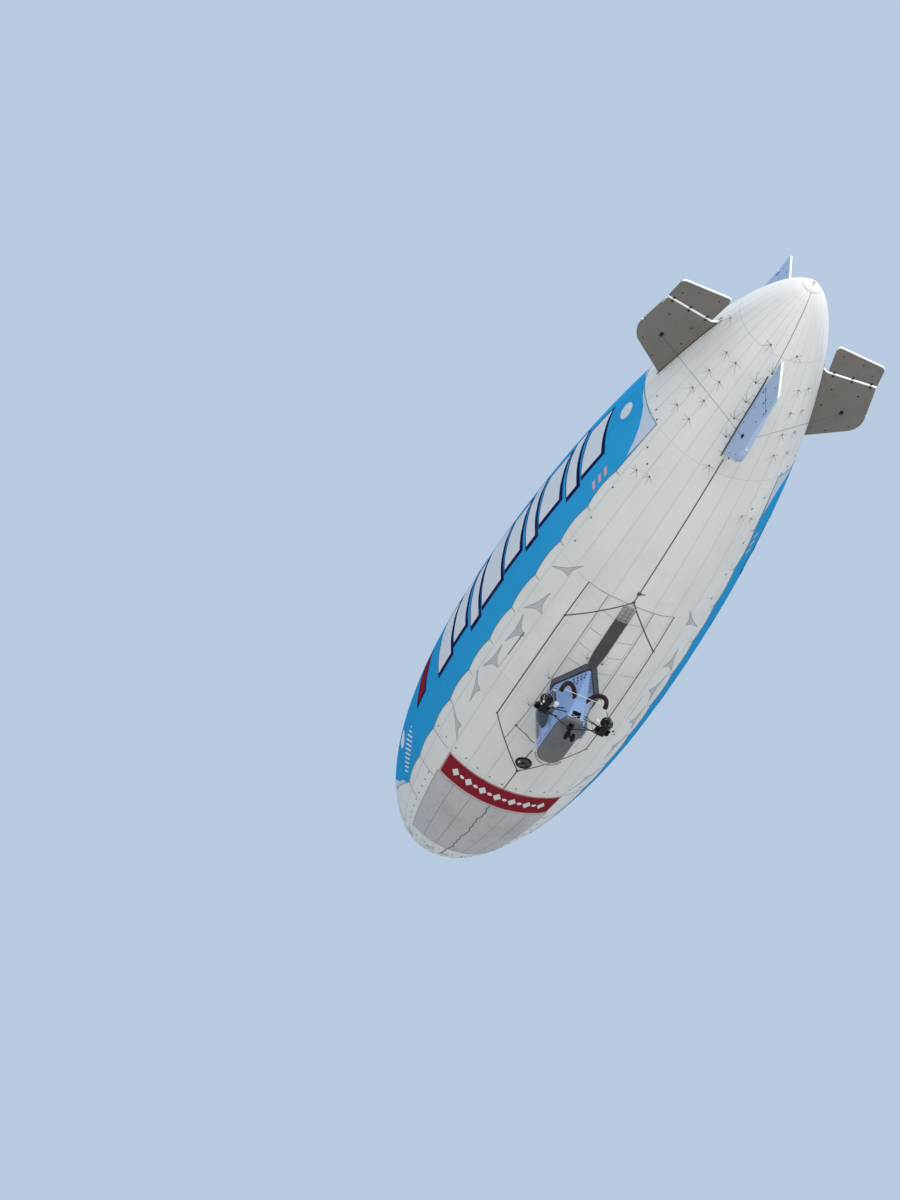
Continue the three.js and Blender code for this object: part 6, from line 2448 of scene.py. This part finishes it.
@dataclass
class PowerUnit:
    """One engine on its outrigger, with cowl drum, propeller and air scoop."""

    side: Side
    at: Point = (-0.68, 1.43, -6.83)
    shaft_z: float = -6.76
    shaft_radius: float = 0.045
    cylinders: Sequence[float] = (0.01, 0.185)
    fins: int = 7
    fin_pitch: float = 0.019
    fin_half: HullPoint = (0.078, 0.004)
    hose_radius: float = 0.011
    drum_x: float = -1.06
    drum_radius: float = 0.275
    drum_length: float = 0.2
    guard_radius: float = 0.008
    prop_x: float = -1.29
    hub: float = 0.075
    tilt: float = 24.0
    plate_thick: float = 0.03
    clamp_half: float = 0.03
    scoop_bore: float = 0.089
    scoop_radius: float = 0.098
    scoop_rib: float = 0.004

    def of_engine(self, x: float, y: float, z: float) -> Point:
        """Gives a point beside the engine's centre."""
        return (self.at[0] + x, self.at[1] + y, self.at[2] + z)

    def on_shaft(self, x: float, radius: float = 0.0, turn: float = 0.0) -> Point:
        """Gives a point round the propeller's shaft.

        Args:
            x: its station.
            radius: its distance from the shaft's axis.
            turn: its angle about the axis, in radians.

        Returns:
            The point.
        """
        return (x, self.at[1] + radius * math.cos(turn), self.shaft_z + radius * math.sin(turn))

    def engine(self) -> None:
        """Builds the crankcase, the finned cylinders and the shaft's housing."""
        case = Bundle(14)
        case.box(self.of_engine(-0.23, -0.12, -0.15), self.of_engine(0.28, 0.12, 0.13))
        case.box(self.of_engine(-0.20, -0.09, 0.13), self.of_engine(0.10, 0.09, 0.19))
        long, thin = self.fin_half
        for x in self.cylinders:
            for sign in (1, -1):
                case.lathe([(0.10, 0.055), (0.26, 0.055), (0.27, 0.075), (0.33, 0.07), (0.33, 0.0)],
                           self.of_engine(x, 0, 0), (0, sign, 0), 20)
                for i in range(self.fins):
                    y = sign * (0.135 + i * self.fin_pitch)
                    case.box(self.of_engine(x - long, y - thin, -long),
                             self.of_engine(x + long, y + thin, long))
        case.lathe([(0.0, 0.0), (0.0, 0.10), (0.04, 0.10), (0.05, 0.06), (0.08, 0.06), (0.08, 0.0)],
                   self.of_engine(0.28, 0, 0), (1, 0, 0), 28)
        case.tube([self.on_shaft(self.at[0] - 0.1), self.on_shaft(self.prop_x + 0.071)], self.shaft_radius)
        case.make("engine_case_{}", ENGINE_METAL, replaces=["engine_{}"], side=self.side, bevel=0.004)

    def piping(self) -> None:
        """Builds the exhaust pipe with its muffler, and the hoses."""
        pipes, hoses = Bundle(14), Bundle(10)
        pipes.tube(curve_through([self.of_engine(-0.02, -0.29, 0.045), self.of_engine(-0.14, -0.37, 0.04),
                                  self.of_engine(-0.28, -0.44, 0.03)]), 0.025)
        pipes.lathe([(0.0, 0.0), (0.0, 0.055), (0.008, 0.085), (0.025, 0.106), (0.05, 0.11), (0.19, 0.11),
                     (0.215, 0.106), (0.232, 0.085), (0.24, 0.055), (0.24, 0.0)],
                    self.of_engine(-0.25, -0.45, -0.01), (-1, 0, 0), 40)
        for x in (-0.30, -0.44):
            pipes.hoop(self.of_engine(x, -0.45, -0.01), (1, 0, 0), 0.006, 0.108, 0.114, 40)
        pipes.make("muffler_{}", WHITE_METAL, side=self.side)
        for path in ([(-0.1, 0.05, 0.18), (-0.02, 0.1, 0.27), (0.1, 0.2, 0.22), (0.1, 0.29, 0.07)],
                     [(-0.1, -0.05, 0.18), (-0.02, -0.1, 0.27), (0.1, -0.2, 0.22), (0.1, -0.29, 0.07)],
                     [(0.26, 0.05, 0.1), (0.32, 0.12, 0.13), (0.28, 0.26, 0.08)],
                     [(-0.2, 0.06, 0.05), (-0.27, 0.18, 0.0), (-0.2, 0.26, -0.12), (-0.05, 0.3, -0.07)],
                     [(0.2, -0.08, -0.13), (0.25, -0.25, -0.16), (0.0, -0.5, -0.1), (-0.1, -0.62, 0.05)]):
            hoses.tube(curve_through([self.of_engine(*p) for p in path]), self.hose_radius)
        hoses.make("engine_hoses_{}", SEAL_RUBBER, side=self.side)

    def drum(self) -> None:
        """Builds the cowl drum with its rear face, and thin white arcs on that face that stand for glints:
        painted highlights.
        """
        front, rear = self.drum_length / 2, -self.drum_length / 2
        r, bore = self.drum_radius, 0.05
        made, bars = Bundle(10), Bundle(8)
        foot = self.on_shaft(self.drum_x)
        made.lathe([(front, bore), (front, r - 0.006), (front - 0.006, r), (rear + 0.045, r),
                    (rear + 0.018, r - 0.012), (rear + 0.004, r - 0.032), (rear, r - 0.05), (rear, bore)],
                   foot, (1, 0, 0), 56, closed=True)
        for x in (-0.03, 0.03):
            made.hoop(foot, (1, 0, 0), 0.006, r - 0.007, r + 0.003, 56, x)
        made.make("drum_shell_{}", BLACK_FITTING, replaces=["cowl_drum_{}"], side=self.side)
        # Thin white arcs on the rear face: painted highlights where the drum catches the light.
        # Columns: radius, start and end in degrees
        for radius, start, end in ((0.155, -60, 150), (0.225, 20, 75), (0.225, -75, -20)):
            bars.tube([self.on_shaft(self.drum_x + rear - 0.002, radius, t)
                       for t in np.radians(np.linspace(start, end, 24))], self.guard_radius)
        bars.make("drum_guard_{}", WHITE_METAL, side=self.side)

    def propeller(self) -> None:
        """Builds the propeller with its banded blades and spinner."""
        # Columns: radius, chord, thickness, blade angle
        blade = np.array([(0.05, 0.07, 0.05, 60), (0.2, 0.105, 0.03, 42), (0.45, 0.11, 0.018, 26),
                          (0.7, 0.085, 0.01, 19), (0.765, 0.058, 0.008, 17.3), (0.78, 0.02, 0.004, 17)])
        stations = np.array([0.04, 0.08, 0.13, 0.2, 0.27, 0.34, 0.4, 0.41, 0.47, 0.55, 0.56, 0.64, 0.65, 0.7,
                             0.72, 0.73, 0.765, 0.776, 0.78])
        bands = ((0.40, 0.545), (0.645, 0.715))
        half = [(-0.5, 0.0), (-0.47, 0.18), (-0.38, 0.36), (-0.2, 0.5), (0.05, 0.47), (0.25, 0.36),
                (0.4, 0.18), (0.5, 0.02)]
        section = half + [(c, -t) for c, t in half[::-1][1:-1]]
        rows = []
        for r in stations:
            chord, thick, angle = (np.interp(r, blade[:, 0], blade[:, i]) for i in (1, 2, 3))
            turn = math.radians(90 - angle)
            rows.append([(c * chord * math.cos(turn) - t * thick * math.sin(turn),
                          c * chord * math.sin(turn) + t * thick * math.cos(turn), r) for c, t in section])
        made = Bundle()
        for spin in (0.0, math.pi):
            cos, sin = math.cos(spin + math.radians(self.tilt)), math.sin(spin + math.radians(self.tilt))
            for i in range(len(rows) - 1):
                made.mark = int(any(low < stations[i] < high for low, high in bands))
                pair = np.array(rows[i:i + 2])
                y, z = pair[..., 1] * cos - pair[..., 2] * sin, pair[..., 1] * sin + pair[..., 2] * cos
                made.grid(np.stack([pair[..., 0] + self.prop_x, y + self.at[1], z + self.shaft_z], axis=-1),
                          wrap=True)
        made.mark = 0
        made.lathe([(0.07, 0.0), (0.07, self.hub - 0.004), (0.066, self.hub), (-0.04, self.hub),
                    (-0.07, 0.07), (-0.1, 0.05), (-0.115, 0.03), (-0.12, 0.0)],
                   self.on_shaft(self.prop_x), (1, 0, 0), 32)
        for i in range(6):
            made.bolt(self.on_shaft(self.prop_x - 0.048, 0.052, math.radians(60 * i + 30)), (-1, 0, 0), 0.009,
                      0.008, 0.009)
        body = f"propeller_{self.side.word}"
        made.make(f"{body}_blades", WOOD_BLADE, BLADE_WHITE, body=body, replaces=[body], side=self.side,
                  smooth=30)

    def outrigger(self) -> None:
        """Builds the bearer and its tubes with end clamps."""
        top = self.at[2] - 0.15 - 0.0003
        plate, tubes = Sheet(self.plate_thick), Bundle(14)
        holes = [circle((x, 1.4), 0.05, 0.05) for x in (-0.83, -0.53)]
        plate.panel([rounded((-0.93, 1.25), (-0.43, 1.55), 0.04, 6), *holes], (0.2, 0.2),
                    lambda x, y: np.column_stack([x, y, np.full(len(x), top)]))
        plate.make("bearer_{}", BLACK_FITTING, side=self.side)
        # Columns: station at the plate, inner end, radius
        for plate_x, inner, radius in (
                (-0.70, (-0.60, 0.06, -7.418), 0.022), (-0.48, (-0.38, 0.60, -6.822), 0.024),
                (-0.88, (-0.90, 0.36, -6.862), 0.022), (-0.83, (-0.76, 0.52, -6.57), 0.020)):
            start, end = Vector((plate_x, 1.29, top - self.plate_thick / 2)), Vector(inner)
            tubes.tube([start[:], end[:]], radius)
            way = (end - start).normalized()
            for spot in (start + way * 0.02, end - way * 0.05):
                tubes.hoop(spot[:], way, self.clamp_half, radius, radius + 0.008, 18)
        tubes.make("outrigger_tubes_{}", BLACK_FITTING, replaces=["outrigger_{}"], side=self.side)

    def scoop(self) -> None:
        """Builds the hooked air scoop, a ribbed hose with an open mouth."""
        path = curve_through([(-1.15, 0.19, -6.33), (-1.40, 0.33, -6.20), (-1.65, 0.52, -6.11),
                              (-1.82, 0.76, -6.13), (-1.86, 0.95, -6.28), (-1.76, 1.03, -6.45),
                              (-1.60, 1.04, -6.52)], 18)
        last = len(path) - 1
        wave = self.scoop_radius + self.scoop_rib * np.sin(np.arange(last + 1) * math.tau / 4)
        made, bands = Bundle(), Bundle(10)
        made.grid(np.concatenate([sweep(path, self.scoop_bore, 24)[::-1], sweep(path, wave, 24)]), wrap=True)
        made.make("scoop_hose_{}", HOSE_RUBBER, replaces=["air_scoop_{}"], side=self.side, smooth=50)
        # Columns: point of the path, half the band's length
        for i, half in ((2, 0.035), (60, 0.012), (last - 5, 0.04)):
            bands.hoop(path[i], path[min(i + 1, last)] - path[i - 1], half, 0.096, 0.106, 32)
        bands.make("scoop_bands_{}", BLACK_FITTING, side=self.side)

    def build(self) -> None:
        """Builds the power unit."""
        for step in (self.engine, self.piping, self.drum, self.propeller, self.outrigger, self.scoop):
            step()


@dataclass
class LandingGear:
    """The fixed leg, the castering fork and the twin wheels."""

    leg_x: float = -0.50
    leg_foot: float = -7.45
    pan_z: float = -7.2403
    spindle_radius: float = 0.038
    axle_x: float = -0.58
    axle_z: float = -7.87
    axle_radius: float = 0.02
    fork_half: float = 0.034
    eye_radius: float = 0.024
    wheel_y: float = 0.148
    wheel_radius: float = 0.19
    wheel_width: float = 0.14
    rim: float = 0.085

    def leg(self) -> None:
        """Builds the leg with its housing and clamp bolts."""
        made = Bundle(20)
        foot, down = (self.leg_x, 0, self.leg_foot), (0, 0, -1)
        made.box((-0.64, -0.07, self.leg_foot), (-0.40, 0.07, self.pan_z))
        made.lathe([(0, 0.0), (0, 0.06), (0.02, 0.06), (0.03, 0.045), (0.03, 0.0)], foot, down, 28)
        made.lathe([(0, self.spindle_radius), (0.0897, self.spindle_radius), (0.0897, 0.0)], foot, down, 28)
        for x in (-0.60, -0.44):
            for sign in (1, -1):
                for z in (-7.40, -7.29):
                    made.bolt((x, sign * 0.07, z), (0, sign, 0), 0.014, 0.01, 0.012)
        made.box((-0.72, -0.12, -7.252), (-0.32, 0.12, self.pan_z))
        made.make("leg_housing", BLACK_FITTING, replaces=["gear_leg"], bevel=0.006)

    def fork(self) -> None:
        """Builds the fork's blade with its eye."""
        outline = [(-0.455, -7.5403), (-0.545, -7.5403), (-0.632, -7.83), (-0.638, -7.87), (-0.62, -7.905),
                   (-0.58, -7.92), (-0.54, -7.905), (-0.52, -7.86), (-0.47, -7.72), (-0.455, -7.66)]
        eye = circle((self.axle_x, self.axle_z), self.eye_radius, self.eye_radius)
        made = Sheet(2 * self.fork_half)
        made.panel([outline, eye], (0.1, 0.1),
                   lambda x, z: np.stack([x, np.full(len(x), self.fork_half), z], axis=-1), flip=True)
        made.make("fork_blade", BLACK_FITTING, body="caster", replaces=["caster_fork"])

    def wheels(self) -> None:
        """Builds the twin wheels on one axle, with grooved tyres."""
        hubs, tyres = Bundle(20), Bundle()
        y0, w, r = self.wheel_y, self.wheel_width / 2, self.wheel_radius
        near, far = y0 - w, y0 + w
        foot = (self.axle_x, 0.0, self.axle_z)
        hubs.disc(foot, (0, 1, 0), -0.05, 0.05, self.axle_radius, 24)
        side = [(-w + 0.004, self.rim + 0.001), (-w, 0.11), (-w, 0.13), (-w + 0.006, 0.152),
                (-w + 0.018, 0.171), (-w + 0.032, 0.181), (-0.029, 0.186), (-0.027, 0.180), (-0.021, 0.180),
                (-0.019, 0.188), (-0.006, r), (-0.004, r - 0.008)]
        tyre = [(y0 + x, radius) for x, radius in side + [(-x, radius) for x, radius in side[::-1]]]
        for sign in (1, -1):
            hubs.lathe([(0.0345, self.axle_radius), (0.0345, 0.045), (near + 0.008, 0.045),
                        (near + 0.008, 0.07), (near + 0.004, self.rim), (far - 0.004, self.rim),
                        (far - 0.012, 0.07), (far - 0.03, 0.055), (far - 0.02, 0.03), (far - 0.008, 0.028),
                        (far - 0.008, 0.0)], foot, (0, sign, 0), 40)
            for i in range(5):
                turn = math.tau * i / 5
                hubs.bolt((self.axle_x + 0.042 * math.cos(turn), sign * (far - 0.026),
                           self.axle_z + 0.042 * math.sin(turn)), (0, sign, 0), 0.006, 0.006, 0.007)
            tyres.lathe(tyre, foot, (0, sign, 0), 64, closed=True)
        hubs.make("wheel_hubs", BLACK_FITTING, body="wheels", replaces=["wheel_axle"], smooth=40)
        tyres.make("tyres", TYRE_RUBBER, body="wheels", replaces=["tyre_port", "tyre_starboard"], smooth=30)

    def build(self) -> None:
        """Builds the landing gear."""
        for step in (self.leg, self.fork, self.wheels):
            step()


@dataclass
class BellyFittings:
    """The round air valve ahead of the gondola and the bar between the air scoops."""

    valve_x: float = 5.05
    valve_radius: float = 0.375
    valve_rings: Sequence[float] = (0.12, 0.2, 0.28)
    spokes: int = 12
    vent_y: float = 0.21
    bar_x: float = -1.66
    bar_half: float = 0.965
    bar_z: float = -6.41
    bar_radius: float = 0.015

    def valve(self) -> None:
        """Builds the valve's flange, spokes, mesh disc and cap, and a small white dome beside them that
        stands for a glint: a painted highlight.
        """
        foot = (self.valve_x, 0.0, FORM.belly(self.valve_x))
        down = (0.02, 0.0, -1.0)
        frame_shapes, disc, vent = Bundle(10), Bundle(), Bundle()
        r = self.valve_radius

        def spot(radius: float, turn: float, drop: float) -> Point:
            """Gives a place on the valve's face."""
            return (foot[0] + radius * math.cos(turn), radius * math.sin(turn), foot[2] - drop)

        frame_shapes.lathe([(-0.05, r - 0.03), (-0.05, r), (0.02, r), (0.045, r - 0.01), (0.065, r - 0.035),
                            (0.07, r - 0.05), (0.06, r - 0.065), (0.03, r - 0.07)], foot, down, 64,
                           closed=True)
        for ring in self.valve_rings:
            frame_shapes.lathe([(0.030, ring - 0.006), (0.030, ring + 0.006), (0.042, ring + 0.006),
                                (0.042, ring - 0.006)], foot, down, 48, closed=True)
        for i in range(self.spokes):
            turn = math.tau * i / self.spokes
            frame_shapes.tube([spot(s, turn, 0.045) for s in (0.05, r - 0.05)], 0.007)
            frame_shapes.bolt(spot(r - 0.035, turn, 0.064), down, 0.011, 0.008, 0.01)
        frame_shapes.lathe([(0.01, 0.0), (0.01, 0.07), (0.05, 0.068), (0.062, 0.05), (0.068, 0.0)],
                           foot, down, 32)
        frame_shapes.make("valve_frame", BLACK_FITTING, replaces=["air_valve"])
        disc.lathe([(0.0, 0.0), (0.0, r - 0.06), (0.026, r - 0.06), (0.03, 0.2), (0.03, 0.0)], foot, down, 48)
        disc.make("valve_disc", VALVE_MESH)
        # A small white dome beside the valve stands for a glint: painted highlight.
        vent.lathe([(0.02, 0.06), (0.05, 0.058), (0.07, 0.045), (0.082, 0.025), (0.085, 0.0)],
                   (foot[0], self.vent_y, foot[2]), down, 24)
        vent.make("valve_vent", WHITE_METAL)

    def crossbar(self) -> None:
        """Builds the white bar with its clamps."""
        made = Bundle(14)
        half = self.bar_half
        made.tube([(self.bar_x, -half, self.bar_z), (self.bar_x, half, self.bar_z)], self.bar_radius)
        for y in (-half + 0.01, half - 0.01):
            made.disc((self.bar_x, y, self.bar_z), (0, 1, 0), -0.02, 0.02, 0.02, 16)
        made.make("scoop_bar", WHITE_METAL, replaces=["scoop_crossbar"])

    def build(self) -> None:
        """Builds both."""
        self.valve()
        self.crossbar()


@dataclass
class BraceWires:
    """The wires between the fins, dressed as they come."""

    names: Sequence[str] = ("brace_top_port", "brace_top_starboard", "brace_bottom_starboard",
                            "brace_bottom_port")

    def build(self) -> None:
        """Gives each wire its finish."""
        for name in self.names:
            wire = bpy.data.objects[name]
            wire.data.materials.clear()
            wire.data.materials.append(BRACE_CABLE.material())
            LOG.info("%s: dressed", name)


@dataclass
class Studio:
    """Pale floor, soft light and the camera on the ground."""

    camera_at: Point = (-83.50, 28.78, -89.05)
    right: Point = (-0.3918, -0.9088, 0.1407)
    down: Point = (0.6177, -0.3733, -0.6916)
    forward: Point = (0.6815, -0.1843, 0.7082)
    lens: float = 84.0
    sensor: float = 36.0
    far_clip: float = 4000.0
    floor_z: float = -89.4
    floor_half: float = 900.0
    sky: Colour = (0.46, 0.57, 0.72)
    sky_strength: float = 1.04
    sun_way: Point = (-0.72, -0.12, 0.68)
    sun_watts: float = 2.6
    sun_spread: float = 6.0
    sun_colour: Colour = (1.0, 0.96, 0.90)
    fill_at: Point = (-150.0, 10.0, -80.0)
    fill_watts: float = 155000.0
    fill_size: float = 90.0
    fill_colour: Colour = (1.0, 0.975, 0.94)

    def camera(self) -> None:
        """Sets the camera on the ground behind the craft, looking up."""
        data = bpy.data.cameras.new("camera")
        data.lens, data.sensor_width, data.clip_end = self.lens, self.sensor, self.far_clip
        camera = bpy.data.objects.new("camera", data)
        bpy.context.scene.collection.objects.link(camera)
        axes = [Vector(self.right), -Vector(self.down), -Vector(self.forward)]
        turn = Matrix([axis.normalized() for axis in axes]).transposed().to_4x4()
        camera.matrix_world = Matrix.Translation(self.camera_at) @ turn
        bpy.context.scene.camera = camera

    def floor(self) -> None:
        """Lays the floor."""
        half = self.floor_half
        mesh = bpy.data.meshes.new("floor")
        mesh.from_pydata([(x, y, self.floor_z) for x, y in ((-half, -half), (half, -half), (half, half),
                                                            (-half, half))], [], [(0, 1, 2, 3)])
        mesh.materials.append(FLOOR_PALE.material())
        piece = bpy.data.objects.new("floor", mesh)
        bpy.context.scene.collection.objects.link(piece)

    def light(self) -> None:
        """Lights the craft with a pale dome, a soft sun and a broad fill low behind it."""
        world = bpy.data.worlds.new("studio")
        world.use_nodes = True
        background = world.node_tree.nodes["Background"]
        background.inputs[0].default_value = (*self.sky, 1.0)
        background.inputs[1].default_value = self.sky_strength
        bpy.context.scene.world = world
        sun = bpy.data.lights.new("sun", "SUN")
        sun.energy, sun.angle, sun.color = self.sun_watts, math.radians(self.sun_spread), self.sun_colour
        fill = bpy.data.lights.new("fill", "AREA")
        fill.energy, fill.size, fill.color = self.fill_watts, self.fill_size, self.fill_colour
        for data, at in ((sun, self.sun_way), (fill, self.fill_at)):
            lamp = bpy.data.objects.new(data.name, data)
            lamp.location = at
            lamp.rotation_mode = "QUATERNION"
            lamp.rotation_quaternion = Vector(at).to_track_quat("Z", "Y")
            lamp.visible_camera = False
            bpy.context.scene.collection.objects.link(lamp)

    def build(self) -> None:
        """Builds the studio."""
        self.camera()
        self.floor()
        self.light()
        bpy.context.scene.view_settings.view_transform = "Standard"


def main() -> None:
    """Builds every sub-assembly in order and notes the sizes."""
    logging.basicConfig(level=logging.INFO, format="%(name)s %(message)s")
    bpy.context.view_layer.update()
    Studio().build()
    Envelope().build()
    HullEnds().build()
    for place in TailPlace:
        TailSurface(place).build()
    for side in Side:
        SideBanner(side).build()
    BellyCloths().build()
    BraceWires().build()
    BellyFittings().build()
    GondolaShell().build()
    Cabin().build()
    for side in Side:
        PowerUnit(side).build()
    LandingGear().build()


if __name__ == "__main__":
    main()
